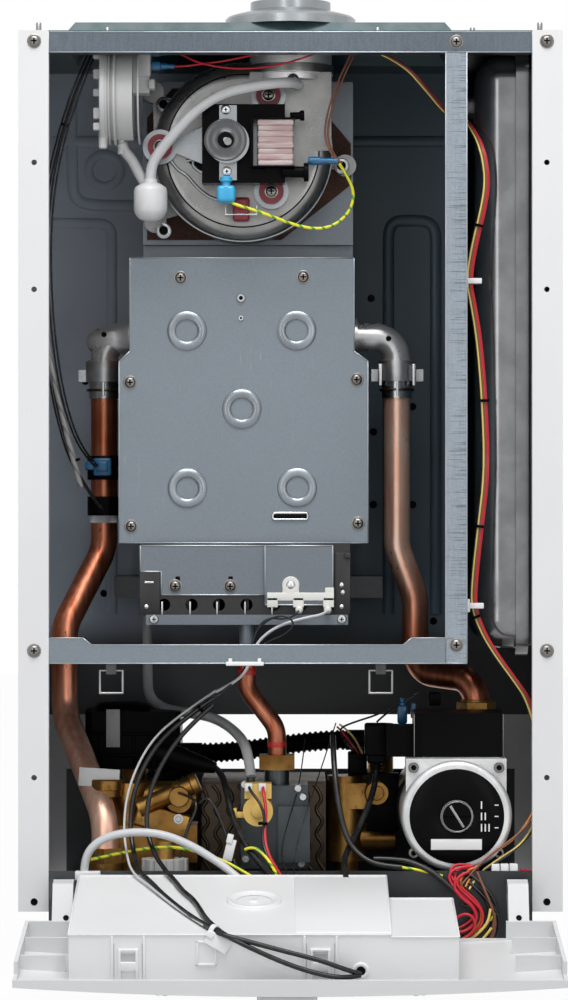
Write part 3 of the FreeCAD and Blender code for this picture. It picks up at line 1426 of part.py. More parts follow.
def burner():
    across, depth = ("-burner_left", "burner_right"), ("burner_back_out", "burner_front_out")
    block = slab("tray_block", across, depth, ("shell_bottom_drop", "burner_bottom_drop"))
    room = slab(
        "tray_room", ("-burner_left + steel", "burner_right - steel"),
        ("burner_back_out + steel", "burner_front_out - steel"),
        ("shell_bottom_drop - overrun", "burner_bottom_drop - steel"),
    )
    middle = "((burner_right - burner_left) / 2)"
    holes = []
    for i in range(BURNER_HOLE_COUNT):
        x = f"{middle} + burner_hole_pitch * {i - (BURNER_HOLE_COUNT - 1) / 2}"
        holes.append(
            stub(
                f"tray_hole_{i}", x, "burner_hole_drop",
                ("burner_front_out - steel - overrun", "burner_front_out + overrun"), "burner_hole_radius",
            )
        )
    cover_width = "(cover_left + cover_middle_x)"
    cover_face = "burner_front_out + steel"
    cover_drop = "cover_left_bottom_drop - cover_screw_rise"
    fixings = [
        screw_hole(f"-cover_left + {cover_width} * {share}", cover_drop, cover_face, "steel * 2")
        for share in COVER_SCREW_SHARES
    ]
    piece("burner_tray", cut("burner_tray_cut", block, [room, *holes, *fixings]))

    blades = []
    for i in range(BLADE_COUNT):
        x = f"{middle} + blade_pitch * {i - (BLADE_COUNT - 1) / 2}"
        blades.append(
            slab(
                f"blade_{i}", (f"{x} - blade_gauge / 2", f"{x} + blade_gauge / 2"),
                ("burner_back_out + blade_end_gap", "burner_front_out - screw_reach - blade_end_gap"),
                ("blade_top_drop", "burner_bottom_drop - steel"),
            )
        )
    piece("burner_blades", group("blades", blades))

    left = slab("cover_left_sheet", ("-cover_left", "cover_middle_x"), ("burner_front_out", cover_face),
                ("cover_top_drop", "cover_left_bottom_drop"))
    right = slab(
        "cover_right_block", ("cover_middle_x", "cover_right"),
        ("burner_front_out", "burner_front_out + cover_right_rise"),
        ("cover_top_drop", "cover_right_bottom_drop"),
    )
    hollow = slab("cover_right_room", ("cover_middle_x + steel", "cover_right - steel"),
                  ("burner_front_out - overrun", "burner_front_out + cover_right_rise - steel"),
                  ("cover_top_drop + steel", "cover_right_bottom_drop - steel"))
    notch = slab("cover_notch", ("-cover_left - overrun", "-cover_left + cover_notch_width"),
                 ("burner_front_out - overrun", f"{cover_face} + overrun"),
                 ("cover_left_bottom_drop - cover_notch_height", "cover_left_bottom_drop + overrun"))
    piece("burner_cover", cut("cover_cut", fuse("cover_solid", [left, right]), [hollow, notch, *fixings]))

    rail = slab(
        "manifold_rail", ("-manifold_left", "manifold_right"), ("manifold_back_out", "manifold_front_out"),
        ("burner_bottom_drop", "burner_bottom_drop + manifold_height"),
    )
    inlet = pillar(
        "manifold_inlet", "manifold_inlet_x", MANIFOLD_OUT,
        ("burner_bottom_drop + manifold_height", "gas_pipe_top_drop"), "manifold_inlet_radius",
    )
    piece("gas_manifold", fuse("manifold_solid", [rail, inlet]))


# Pipes and hydraulics


def copper_pipe(node, corners, bends, bead):
    """A copper pipe with a bead rolled into its upper end."""
    radius, bore = number("pipe_radius"), number("pipe_radius - pipe_wall")
    tube = bent_tube(f"{node}_tube", corners, radius, bore, [number(bend) for bend in bends])
    x, out = bead
    span = ("elbow_end_drop", "elbow_end_drop + pipe_bead_height")
    ring = pillar(f"{node}_ring", x, out, span, "pipe_bead_radius")
    core = pillar(
        f"{node}_core", x, out, ("elbow_end_drop - overrun", "elbow_end_drop + pipe_bead_height + overrun"),
        "pipe_radius",
    )
    piece(node, fuse(f"{node}_beaded", [tube, cut(f"{node}_bead", ring, [core])]))


def pipes():
    copper_pipe("flow_pipe", [
        point("flow_x", "flow_out", "elbow_end_drop"),
        point("flow_x", "flow_out", "flow_jog_top_drop"),
        point(FLOW_FLOOR_X, "flow_floor_out", "flow_jog_bottom_drop"),
        point(FLOW_FLOOR_X, "flow_floor_out", "flow_turn_drop"),
        point("flow_end_x", "flow_end_out", "flow_end_drop - flow_end_run"),
        point("flow_end_x", "flow_end_out", "flow_end_drop"),
    ], ["pipe_bend"] * 4, ("flow_x", "flow_out"))
    copper_pipe("return_pipe", [
        point("return_x", "return_out", "elbow_end_drop"),
        point("return_x", "return_out", "return_jog_top_drop"),
        point("return_floor_x", "return_out", "return_jog_bottom_drop"),
        point("return_floor_x", "return_out", "return_turn_drop"),
        point("pump_inlet_x", "pump_inlet_out", "return_turn_drop + return_turn_fall"),
        point("pump_inlet_x", "pump_inlet_out", "pump_nut_drop"),
    ], ["pipe_bend", "pipe_bend", "return_turn_bend", "return_turn_bend"], ("return_x", "return_out"))
    corners = [
        point("manifold_inlet_x", MANIFOLD_OUT, "gas_pipe_top_drop"),
        point("manifold_inlet_x", MANIFOLD_OUT, "gas_jog_top_drop"),
        point("gas_x", "gas_out", "gas_jog_bottom_drop"),
        point("gas_x", "gas_out", "gas_nut_drop"),
    ]
    piece("gas_pipe", bent_tube("gas_pipe_tube", corners, number("gas_pipe_radius"),
                                number("gas_pipe_radius - pipe_wall"), [number("gas_pipe_bend")] * 2))


def pipe_clips():
    """Sprung bands over the joints between elbows and pipes."""
    clips = []
    for name, x, out, inward in (("flow", "flow_x", "flow_out", 0), ("return", "return_x", "return_out", 1)):
        span = ("elbow_end_drop - clip_above", "elbow_end_drop + clip_below")
        inner = "pipe_bead_radius + fit_gap"
        band = pillar(f"clip_band_{name}", x, out, span, f"{inner} + clip_gauge")
        ears = slab(
            f"clip_ears_{name}",
            (f"{x} - {inner} - clip_ear_length", f"{x} + ({inner} + clip_ear_length) * {inward}"),
            (f"{out} - clip_gauge", f"{out} + clip_gauge"),
            ("elbow_end_drop", "elbow_end_drop + clip_below"),
        )
        bore = pillar(f"clip_bore_{name}", x, out, (f"{span[0]} - overrun", f"{span[1]} + overrun"), inner)
        mouth = slab(
            f"clip_mouth_{name}", (f"{x} - clip_mouth", f"{x} + clip_mouth"),
            (f"{out} - {inner} - clip_gauge - overrun", out),
            (f"{span[0]} - overrun", f"{span[1]} + overrun"),
        )
        clips.append(cut(f"clip_{name}", fuse(f"clip_solid_{name}", [band, ears]), [bore, mouth]))
    return clips


def brass_fittings():
    fittings = [
        hexagon(
            "flow_nut", "flow_end_x", "flow_end_out", ("flow_end_drop", "flow_socket_top_drop"),
            "pump_nut_radius",
        ),
        hexagon(
            "pump_nut", "pump_inlet_x", "pump_inlet_out",
            ("pump_nut_drop", "pump_nut_drop + pump_nut_height"), "pump_nut_radius",
        ),
        hexagon(
            "gas_nut", "gas_x", "gas_out", ("gas_nut_drop", "gas_nut_drop + gas_nut_height"),
            "gas_nut_radius",
        ),
    ]
    for i, (x, out, top, radius) in enumerate(connections()):
        neck = pillar(f"connection_neck_{i}", x, out, (top, "stub_thread_drop"), f"{radius} - stub_neck_step")
        thread = pillar(f"connection_{i}", x, out, ("stub_thread_drop", "stub_bottom_drop"), radius)
        fittings.append(fuse(f"connection_solid_{i}", [neck, thread]))
    piece("brass_fittings", group("fittings", fittings))


def gas_valve():
    top = "gas_nut_drop + gas_nut_height + gas_neck_height"
    block = slab(
        "valve_block", ("-valve_left", "valve_right"), (VALVE_BACK, VALVE_FRONT),
        (top, "valve_bottom_drop"),
    )
    neck = pillar("valve_neck", "gas_x", "gas_out", ("gas_nut_drop + gas_nut_height", top), "gas_neck_radius")
    cover = slab(
        "valve_plate", ("valve_plate_left", "valve_plate_right"),
        (VALVE_FRONT, f"{VALVE_FRONT} + valve_plate_rise"),
        ("valve_plate_top_drop", "valve_plate_bottom_drop"),
    )
    port = pillar(
        "valve_port", "valve_port_x", "gas_out + valve_port_reach", (f"{top} - valve_port_height", top),
        "valve_port_radius",
    )
    piece("gas_valve", fuse("valve_solid", [block, neck, cover, port]))
    cap = stub(
        "modulator_cap", "modulator_x", "modulator_drop",
        (VALVE_FRONT, f"{VALVE_FRONT} + modulator_length"), "modulator_radius",
    )
    plug = slab(
        "modulator_plug",
        ("modulator_x - modulator_plug_width / 2", "modulator_x + modulator_plug_width / 2"),
        (VALVE_FRONT, f"{VALVE_FRONT} + modulator_plug_length"),
        (f"{top} - modulator_plug_height / 3", f"{top} + modulator_plug_height"),
    )
    piece("gas_modulator", fuse("modulator_solid", [cap, plug]))


def plate_exchanger():
    across, tall = ("-plates_left", "plates_right"), ("plates_top_drop", "plates_bottom_drop")
    core = slab(
        "stack_core", ("-plates_left + plates_lip", "plates_right - plates_lip"),
        ("plates_back_out", "plates_front_out"),
        ("plates_top_drop + plates_lip", "plates_bottom_drop - plates_lip"),
    )
    stack = [core]
    for i in range(PLATE_COUNT):
        start = f"plates_back_out + plates_pitch * {i}"
        stack.append(slab(f"stack_plate_{i}", across, (start, f"{start} + plates_gauge"), tall))
    piece("plate_exchanger", fuse("stack", stack))


def left_manifold():
    solids = [
        pillar(
            "column", "column_x", "column_out", ("column_top_drop", "socket_bottom_drop"), "column_radius",
        ),
        slab(
            "block", ("-block_left", "block_right"), ("block_back_out", "block_front_out"),
            ("block_top_drop", "block_bottom_drop"),
        ),
        bar("arm", ("column_x", "arm_right_x"), "column_out", "arm_drop", "arm_radius"),
        stub("boss", "boss_x", "arm_drop", ("column_out", "boss_front_out"), "boss_radius"),
        pillar(
            "hot_socket", "hot_x", "column_out", ("block_top_drop", "socket_bottom_drop"),
            "small_socket_radius",
        ),
        pillar(
            "flow_socket", "flow_end_x", "flow_end_out", ("flow_socket_top_drop", "socket_bottom_drop"),
            "socket_radius",
        ),
        slab(
            "flow_link", ("flow_end_x", "flow_end_x + socket_radius"), ("column_out", "flow_end_out"),
            ("flow_socket_top_drop", "socket_bottom_drop"),
        ),
        slab(
            "fill_branch", ("fill_x - fill_branch_half_width", "fill_x + fill_branch_half_width"),
            ("column_out", "fill_out"),
            ("fill_branch_top_drop", "fill_branch_top_drop + fill_branch_height"),
        ),
        pillar(
            "fill_neck", "fill_x", "fill_out", ("fill_branch_top_drop", "fill_knob_drop"),
            "fill_neck_radius",
        ),
        pillar(
            "fill_spindle", "fill_x", "fill_out",
            ("fill_branch_top_drop", "fill_knob_drop + fill_spindle_length"), "fill_spindle_radius",
        ),
        stub("rear_arm", "column_x", "rear_arm_drop", ("rear_arm_out", "column_out"), "rear_arm_radius"),
        pillar(
            "rear_post", "column_x", "rear_arm_out", ("actuator_bottom_drop", "rear_arm_drop"),
            "rear_arm_radius",
        ),
    ]
    piece("left_manifold", fuse("left_brass", solids))
    low = "fill_knob_drop + fill_knob_height"
    grip = pillar("fill_grip", "fill_x", "fill_out", ("fill_knob_drop", low), "fill_knob_radius")
    bore = pillar(
        "fill_bore", "fill_x", "fill_out",
        ("fill_knob_drop - overrun", "fill_knob_drop + fill_spindle_length + fit_gap"),
        "fill_spindle_radius + running_gap",
    )
    flutes = []
    for i in range(KNOB_FLUTE_COUNT):
        angle = math.tau * i / KNOB_FLUTE_COUNT
        flutes.append(
            pillar(
                f"fill_flute_{i}",
                f"fill_x + (fill_knob_radius + fill_knob_flute_radius / 2) * {math.cos(angle):.6f}",
                f"fill_out + (fill_knob_radius + fill_knob_flute_radius / 2) * {math.sin(angle):.6f}",
                ("fill_knob_drop - overrun", f"{low} + overrun"), "fill_knob_flute_radius",
            )
        )
    piece("filling_knob", cut("fill_knob_cut", grip, [bore, *flutes]))


def diverter_actuator():
    block = slab(
        "actuator_block", ("-actuator_left", "actuator_right"), ("actuator_back_out", "actuator_front_out"),
        ("actuator_top_drop", "actuator_bottom_drop"),
    )
    piece("diverter_actuator", rounded("actuator_round", block, "actuator_edge_radius",
                                       lambda edge: abs(edge.tangentAt(0).z) > END_BEND_SHARE))


def right_manifold():
    boss_half = "safety_boss_width / 2"
    solids = [
        pillar(
            "inlet_column", "inlet_x", "inlet_out", ("inlet_top_drop", "inlet_bottom_drop"), "inlet_radius",
        ),
        slab(
            "inlet_wall", ("inlet_x", "inlet_x + inlet_port_wall_width"),
            ("inlet_out", "inlet_port_wall_front_out"),
            ("inlet_port_drop - inlet_port_radius", "inlet_port_drop + inlet_port_radius"),
        ),
        stub(
            "inlet_port", "inlet_port_x", "inlet_port_drop", ("inlet_out", "inlet_port_front_out"),
            "inlet_port_radius",
        ),
        bar("cross", ("inlet_x", "pump_x - volute_radius"), "inlet_out", "cross_drop", "cross_radius"),
        pillar(
            "safety", "safety_x", "safety_out", ("safety_top_drop", "safety_bottom_drop"), "safety_radius",
        ),
        slab(
            "safety_boss", (f"safety_x - {boss_half}", "safety_x"),
            (f"safety_out - {boss_half}", f"safety_out + {boss_half}"),
            (f"safety_boss_drop - {boss_half}", f"safety_boss_drop + {boss_half}"),
        ),
        slab(
            "safety_link", ("inlet_x", "safety_x"), ("safety_out", "inlet_out"),
            ("safety_bottom_drop - safety_link_height", "safety_bottom_drop"),
        ),
    ]
    piece("right_manifold", fuse("right_brass", solids))


def drain_hose():
    """A ribbed hose from the diverter to the safety valve, on a steady left to right axis."""
    start, end = number("actuator_right"), number("safety_x - safety_boss_width / 2")
    first, last = number("drain_left_drop"), number("safety_boss_drop")
    crest, groove = number("drain_radius"), number("drain_radius - drain_groove")
    straight = 2 * crest
    count = int((end - start - 2 * straight) / number("drain_pitch"))
    pitch = (end - start - 2 * straight) / count

    def centre(x):
        share = min(max((x - start - straight) / (end - start - 2 * straight), 0), 1)
        drop = first + (last - first) * (3 * share**2 - 2 * share**3)
        return V(x, -number("safety_out"), number("hanger_drop") - drop)

    def ring(x, radius):
        return Part.Wire(Part.Circle(centre(x), V(1, 0, 0), radius).toShape())
    rings = [ring(start, crest), ring(start + straight, crest)]
    for i in range(count):
        for share, radius in zip(RIB_PHASE_SHARES, (groove, crest, crest, groove)):
            rings.append(ring(start + straight + pitch * (i + share), radius))
    rings += [ring(end - straight, crest), ring(end, crest)]
    bore = number("drain_bore_radius")
    core = [ring(start + (end - start) * i / count, bore) for i in range(count + 1)]
    thing = doc.addObject("Part::Feature", "drain_ribbed")
    thing.Shape = Part.makeLoft(rings, True, True).cut(Part.makeLoft(core, True, True))
    piece("corrugated_hose", thing)


def pump():
    joint, front = "pump_joint_out", "pump_front_out"
    shell = stub("volute_shell", "pump_x", "pump_drop", ("pump_back_out", joint), "volute_radius")
    inlet = pillar(
        "volute_inlet", "pump_inlet_x", "pump_inlet_out", ("pump_nut_drop + pump_nut_height", "pump_drop"),
        "pump_inlet_radius",
    )
    socket = pillar(
        "volute_socket", "pump_x", "(pump_back_out + pump_joint_out) / 2",
        ("pump_drop", "socket_bottom_drop"), "socket_radius",
    )
    room = stub(
        "volute_room", "pump_x", "pump_drop", ("pump_back_out + volute_wall", f"{joint} - volute_wall"),
        "volute_radius - volute_wall",
    )
    bearing = stub(
        "volute_bearing", "pump_x", "pump_drop", (f"{joint} - volute_wall - overrun", f"{joint} + overrun"),
        "pump_shaft_radius + running_gap",
    )
    piece("pump_volute", cut("volute_cut", fuse("volute_solid", [shell, inlet, socket]), [room, bearing]))

    drum = stub("pump_drum", "pump_x", "pump_drop", (joint, front), "pump_motor_radius")
    smooth = rounded("pump_drum_round", drum, "pump_motor_edge", level_at("y", y_of(front)))
    wide = ("pump_x - pump_shoulder_half_width", "pump_x + pump_shoulder_half_width")
    shoulder = slab(
        "pump_shoulder", wide, ("pump_shoulder_back_out", "pump_shoulder_front_out"),
        ("pump_shoulder_top_drop", "pump_drop"),
    )
    bore = stub(
        "pump_bore", "pump_x", "pump_drop", (f"{joint} - overrun", f"{front} - pump_end_wall"),
        "pump_motor_radius - pump_motor_wall",
    )
    seat = stub(
        "pump_seat", "pump_x", "pump_drop", (f"{front} - vent_seat", f"{front} + overrun"),
        "vent_radius + running_gap",
    )
    piece("pump_motor", cut("pump_motor_cut", fuse("pump_motor_solid", [smooth, shoulder]), [bore, seat]))

    crown = f"{front} + vent_rise"
    plug = stub("vent_plug", "pump_x", "pump_drop", (f"{front} - vent_seat", crown), "vent_radius")
    slot = slab(
        "vent_slot_cut", ("pump_x - vent_radius", "pump_x + vent_radius"),
        (f"{crown} - vent_slot_depth", f"{crown} + overrun"),
        ("pump_drop - vent_slot / 2", "pump_drop + vent_slot / 2"),
    )
    piece("pump_vent_plug", cut("vent_plug_cut", plug, [slot]))

    end = f"{front} - pump_end_wall - pump_rotor_gap"
    impeller_back = "pump_back_out + volute_wall + pump_impeller_gap"
    shaft = stub("pump_shaft", "pump_x", "pump_drop", (impeller_back, end), "pump_shaft_radius")
    can = stub("pump_can", "pump_x", "pump_drop", (f"{joint} + pump_rotor_gap", end), "pump_rotor_radius")
    wheel = stub(
        "pump_wheel", "pump_x", "pump_drop", (impeller_back, f"{impeller_back} + pump_impeller_height"),
        "pump_impeller_radius",
    )
    piece("pump_rotor", fuse("pump_rotor_solid", [shaft, can, wheel]))

    case = slab(
        "terminal_case", ("terminal_left_x", "terminal_right_x"), (joint, "terminal_front_out"),
        ("terminal_top_drop", "pump_shoulder_top_drop"),
    )
    plug = slab(
        "terminal_plug", ("terminal_left_x - terminal_plug_width", "terminal_left_x"),
        ("terminal_plug_back_out", "terminal_plug_front_out"),
        ("pump_shoulder_top_drop - terminal_plug_height", "pump_shoulder_top_drop"),
    )
    piece("pump_terminal_box", fuse("terminal_solid", [case, plug]))


def expansion_vessel():
    across, depth = ("vessel_left", "vessel_right"), ("vessel_back_out", "vessel_front_out")
    tall = ("vessel_top_drop", "vessel_bottom_drop")
    bulk = slab("vessel_bulk", across, depth, tall)
    soft = rounded("vessel_round", bulk, "vessel_edge_radius")
    seam = slab("vessel_seam", ("vessel_seam_left", "vessel_seam_left + vessel_seam_width"),
                ("vessel_back_out - vessel_seam_rim", "vessel_front_out + vessel_seam_rim"),
                ("vessel_top_drop - vessel_seam_rim", "vessel_bottom_drop + vessel_seam_rim"))
    rim = rounded(
        "vessel_rim", seam, "vessel_seam_edge_radius",
        lambda edge: abs(edge.tangentAt(0).x) > END_BEND_SHARE,
    )
    inner = [(f"{low} + vessel_wall", f"{high} - vessel_wall") for low, high in (across, depth, tall)]
    hollow = rounded("vessel_hollow", slab("vessel_room", *inner), "vessel_edge_radius - vessel_wall")
    piece("expansion_vessel", cut("vessel_shell", fuse("vessel_solid", [soft, rim]), [hollow]))


def clips_and_brackets(switch_bracket):
    things = [switch_bracket, *pipe_clips()]
    tall = ("burner_bracket_top_drop", "burner_bracket_top_drop + burner_bracket_height")
    for name, near, far, foot in (
        (
            "left", "-burner_left", "-burner_left - burner_bracket_reach",
            "-burner_left - burner_bracket_reach + burner_bracket_foot",
        ),
        (
            "right", "burner_right", "burner_right + burner_bracket_reach",
            "burner_right + burner_bracket_reach - burner_bracket_foot",
        ),
    ):
        arm_x = (far, near) if name == "left" else (near, far)
        foot_x = (far, foot) if name == "left" else (foot, far)
        arm = slab(
            f"burner_arm_{name}", arm_x,
            ("burner_bracket_out", "burner_bracket_out + burner_bracket_gauge"), tall,
        )
        leg = slab(f"burner_leg_{name}", foot_x, (BACK_FRONT, "burner_bracket_out"), tall)
        things.append(fuse(f"burner_bracket_{name}", [arm, leg]))
    for i, share in enumerate(VESSEL_BRACKET_SHARES):
        middle = f"vessel_top_drop + (vessel_bottom_drop - vessel_top_drop) * {share}"
        things.append(
            slab(
                f"vessel_bracket_{i}", ("vessel_seam_left", "vessel_seam_left + vessel_bracket_width"),
                (BACK_FRONT, "vessel_back_out - vessel_seam_rim"),
                (f"{middle} - vessel_bracket_height / 2", f"{middle} + vessel_bracket_height / 2"),
            )
        )
    for name in ("left", "right"):
        x = f"bail_{name}_x"
        pivot = "chamber_bottom_drop + bail_pivot_fall"
        lug = slab(f"bail_lug_{name}", (f"{x} - bail_lug_half_width", f"{x} + bail_lug_half_width"),
                   ("bail_out - bail_lug_half_depth", "bail_out + bail_lug_half_depth"),
                   ("chamber_bottom_drop", f"{pivot} + bail_lug_half_depth"))
        bore = bar(
            f"bail_bore_{name}", (f"{x} - bail_half_width", f"{x} + bail_half_width"), "bail_out", pivot,
            "bail_wire_radius + running_gap",
        )
        things.append(cut(f"bail_bracket_{name}", lug, [bore]))
    piece("clips_and_brackets", group("steel_parts", things))


def wire_bails():
    for name in ("left", "right"):
        x = f"bail_{name}_x"
        top = "chamber_bottom_drop + bail_pivot_fall"
        low = f"{top} + bail_length"
        left, right = f"{x} - bail_half_width", f"{x} + bail_half_width"
        wires = [bar(f"bail_top_{name}", (left, right), "bail_out", top, "bail_wire_radius"),
                 bar(f"bail_low_{name}", (left, right), "bail_out", low, "bail_wire_radius")]
        for end, spot in (("a", left), ("b", right)):
            wires.append(pillar(f"bail_side_{end}_{name}", spot, "bail_out", (top, low), "bail_wire_radius"))
            for level, drop in (("top", top), ("low", low)):
                wires.append(
                    ball(f"bail_corner_{level}_{end}_{name}", spot, "bail_out", drop, "bail_wire_radius")
                )
        piece(f"{name}_bail", fuse(f"bail_wire_{name}", wires))


# Control unit, drawn shut and then swung open about its hinge pins


def swung_open(thing):
    pivot = point("0", "hinge_out", "hinge_drop")
    turn = FreeCAD.Rotation(V(1, 0, 0), number("open_angle"))
    thing.Placement = FreeCAD.Placement(pivot - turn.multVec(pivot), turn)
    return thing


def arched(name, half, out, drop, inset):
    """A block whose front is an arch, level from left to right."""
    block = slab(f"{name}_block", (f"-({half})", half), out, drop)
    drum = pillar(
        f"{name}_drum", "0", f"{ARCH_OUT} - {ARCH_RADIUS}",
        (f"{drop[0]} - overrun", f"{drop[1]} + overrun"), f"{ARCH_RADIUS} - {inset}",
    )
    return common(f"{name}_arch", block, drum)


def fascia():
    outer = arched(
        "fascia_outer", "fascia_half_width", ("fascia_rim_out", ARCH_OUT),
        ("fascia_top_drop", "fascia_bottom_drop"), "0",
    )
    inner = arched("fascia_inner", "fascia_half_width - fascia_wall", ("fascia_rim_out - overrun", ARCH_OUT),
                   ("fascia_top_drop + fascia_wall", "fascia_bottom_drop - fascia_wall"), "fascia_wall")
    near = slab("fascia_near_rim", ("-(fascia_half_width + overrun)", "fascia_half_width + overrun"),
                ("fascia_rim_out - overrun", "fascia_near_rim_out"),
                ("fascia_top_drop - overrun", "lid_top_drop - fascia_rib"))
    notch = slab("fascia_lead_notch", ("fascia_notch_left", "fascia_notch_left + fascia_notch_width"),
                 ("fascia_rim_out - overrun", "fascia_rim_out + fascia_notch_depth"),
                 ("fascia_bottom_drop - fascia_wall - overrun", "fascia_bottom_drop + overrun"))
    solids = [cut("fascia_shell", outer, [inner, near, notch])]
    holes = []
    for name, side in (("left", -1), ("right", 1)):
        ends = sorted((f"{side} * fascia_rib_end_x", f"{side} * fascia_half_width"), key=number)
        for i, share in enumerate(FASCIA_RIB_SHARES):
            drop = f"fascia_top_drop + (fascia_bottom_drop - fascia_top_drop) * {share}"
            solids.append(
                slab(
                    f"fascia_rib_{name}_{i}", ends, ("fascia_rim_out + fascia_rib", "fascia_edge_out"),
                    (drop, f"{drop} + fascia_rib"),
                )
            )
        middle = f"{side} * arm_centre_x"
        arm_x = (f"{middle} - arm_width / 2", f"{middle} + arm_width / 2")
        eye, low = "arm_eye_radius", "fascia_bottom_drop - fascia_wall"
        shape = [(f"hinge_out - {eye}", f"hinge_drop - {eye}"), (f"hinge_out - {eye}", f"hinge_drop + {eye}"),
                 (f"hinge_out + {eye}", f"hinge_drop + {eye}"), ("fascia_edge_out", "fascia_bottom_drop"),
                 ("fascia_edge_out", low), ("fascia_rim_out", low)]
        solids.append(section(f"fascia_arm_{name}", shape, arm_x))
        holes.append(
            bar(
                f"fascia_eye_{name}", (f"{arm_x[0]} - overrun", f"{arm_x[1]} + overrun"), "hinge_out",
                "hinge_drop", "hinge_pin_radius + running_gap",
            )
        )
    through = ("fascia_rim_out", f"{ARCH_OUT} + overrun")
    for name in ("heating", "water"):
        holes.append(
            stub(
                f"fascia_{name}_hole", f"{name}_dial_x", "dial_drop", through,
                "dial_stem_radius + running_gap",
            )
        )
    holes.append(stub("fascia_button_hole", "0", "button_drop", through, "button_radius + fit_gap"))
    piece("control_fascia", swung_open(cut("fascia_cut", fuse("fascia_solid", solids), holes)))


def lid():
    wall = "lid_wall"
    shape = [
        ("lid_back_bottom_out", "lid_bottom_drop"), ("lid_heel_out", "lid_bottom_drop"),
        ("lid_heel_out", "lid_shelf_drop"), (ARCH_OUT, "lid_shelf_drop"), (ARCH_OUT, "lid_top_drop"),
        ("lid_back_top_out", "lid_top_drop"),
    ]
    deep = section("lid_deep", shape, ("-lid_left", "lid_right"))
    shape = [
        (f"lid_back_bottom_out + {wall}", f"lid_bottom_drop - {wall}"),
        (f"lid_heel_out - {wall}", f"lid_bottom_drop - {wall}"),
        (f"lid_heel_out - {wall}", f"lid_shelf_drop - {wall}"),
        (f"{ARCH_OUT} + overrun", f"lid_shelf_drop - {wall}"),
        (f"{ARCH_OUT} + overrun", f"lid_top_drop + {wall}"),
        (f"lid_back_top_out + {wall}", f"lid_top_drop + {wall}"),
    ]
    deep_room = section("lid_deep_room", shape, (f"-lid_left + {wall}", f"lid_right - {wall}"))
    side = slab(
        "lid_side", (f"lid_right - {wall}", "lid_side_right"), ("lid_side_back_out", ARCH_OUT),
        ("lid_top_drop", "lid_shelf_drop"),
    )
    side_room = slab(
        "lid_side_room", ("lid_right", f"lid_side_right - {wall}"),
        (f"lid_side_back_out + {wall}", f"{ARCH_OUT} + overrun"),
        (f"lid_top_drop + {wall}", f"lid_shelf_drop - {wall}"),
    )
    shell = cut("lid_shell", fuse("lid_solid", [deep, side]), [deep_room, side_room])
    drum = pillar(
        "lid_drum", "0", f"{ARCH_OUT} - {ARCH_RADIUS}",
        ("lid_top_drop - overrun", "lid_bottom_drop + overrun"), f"{ARCH_RADIUS} - fascia_wall",
    )
    piece("control_lid", swung_open(common("lid_trimmed", shell, drum)))
    board = slab(
        "board", (f"-lid_left + {wall}", f"lid_right - {wall}"), ("board_out", "board_out + board_gauge"),
        ("board_top_drop", "board_bottom_drop"),
    )
    piece(
        "circuit_board",
        swung_open(
            fuse(
                "board_placed",
                [
                    board,
                    slab(
                        "board_relay", ("relay_left", "relay_right"),
                        ("board_out + board_gauge", "board_out + board_gauge + relay_height"),
                        ("relay_top_drop", "relay_bottom_drop"),
                    ),
                ],
            )
        ),
    )


def dials():
    for name in ("heating", "water"):
        x = f"{name}_dial_x"
        back, front = f"{ARCH_OUT} + dial_lift", f"{ARCH_OUT} + dial_lift + dial_height"
        grip = stub(f"{name}_grip", x, "dial_drop", (back, front), "dial_radius")
        stem = stub(f"{name}_stem", x, "dial_drop", (f"{back} - dial_stem_length", back), "dial_stem_radius")
        flutes = []
        for i in range(DIAL_RIB_COUNT):
            angle = math.tau * (i + 1 / 2) / DIAL_RIB_COUNT
            flutes.append(
                stub(
                    f"{name}_flute_{i}", f"{x} + (dial_radius + button_rise / 2) * {math.cos(angle):.6f}",
                    f"dial_drop + (dial_radius + button_rise / 2) * {math.sin(angle):.6f}",
                    (f"{back} + button_rise", f"{front} + overrun"), "button_rise",
                )
            )
        piece(
            f"{name}_dial",
            swung_open(cut(f"{name}_dial_cut", fuse(f"{name}_dial_solid", [grip, stem]), flutes)),
        )
    inner = f"{ARCH_OUT} - fascia_wall - fit_gap"
    cap = stub(
        "button_cap", "0", "button_drop", (f"{inner} - button_collar", f"{ARCH_OUT} + button_rise"),
        "button_radius",
    )
    collar = stub(
        "button_stop", "0", "button_drop", (f"{inner} - button_collar", inner), "button_collar_radius",
    )
    piece("reset_button", swung_open(fuse("button_solid", [cap, collar])))


# Hoses and wires. Their points are x, out and drop, chosen by hand along the way each one is held.

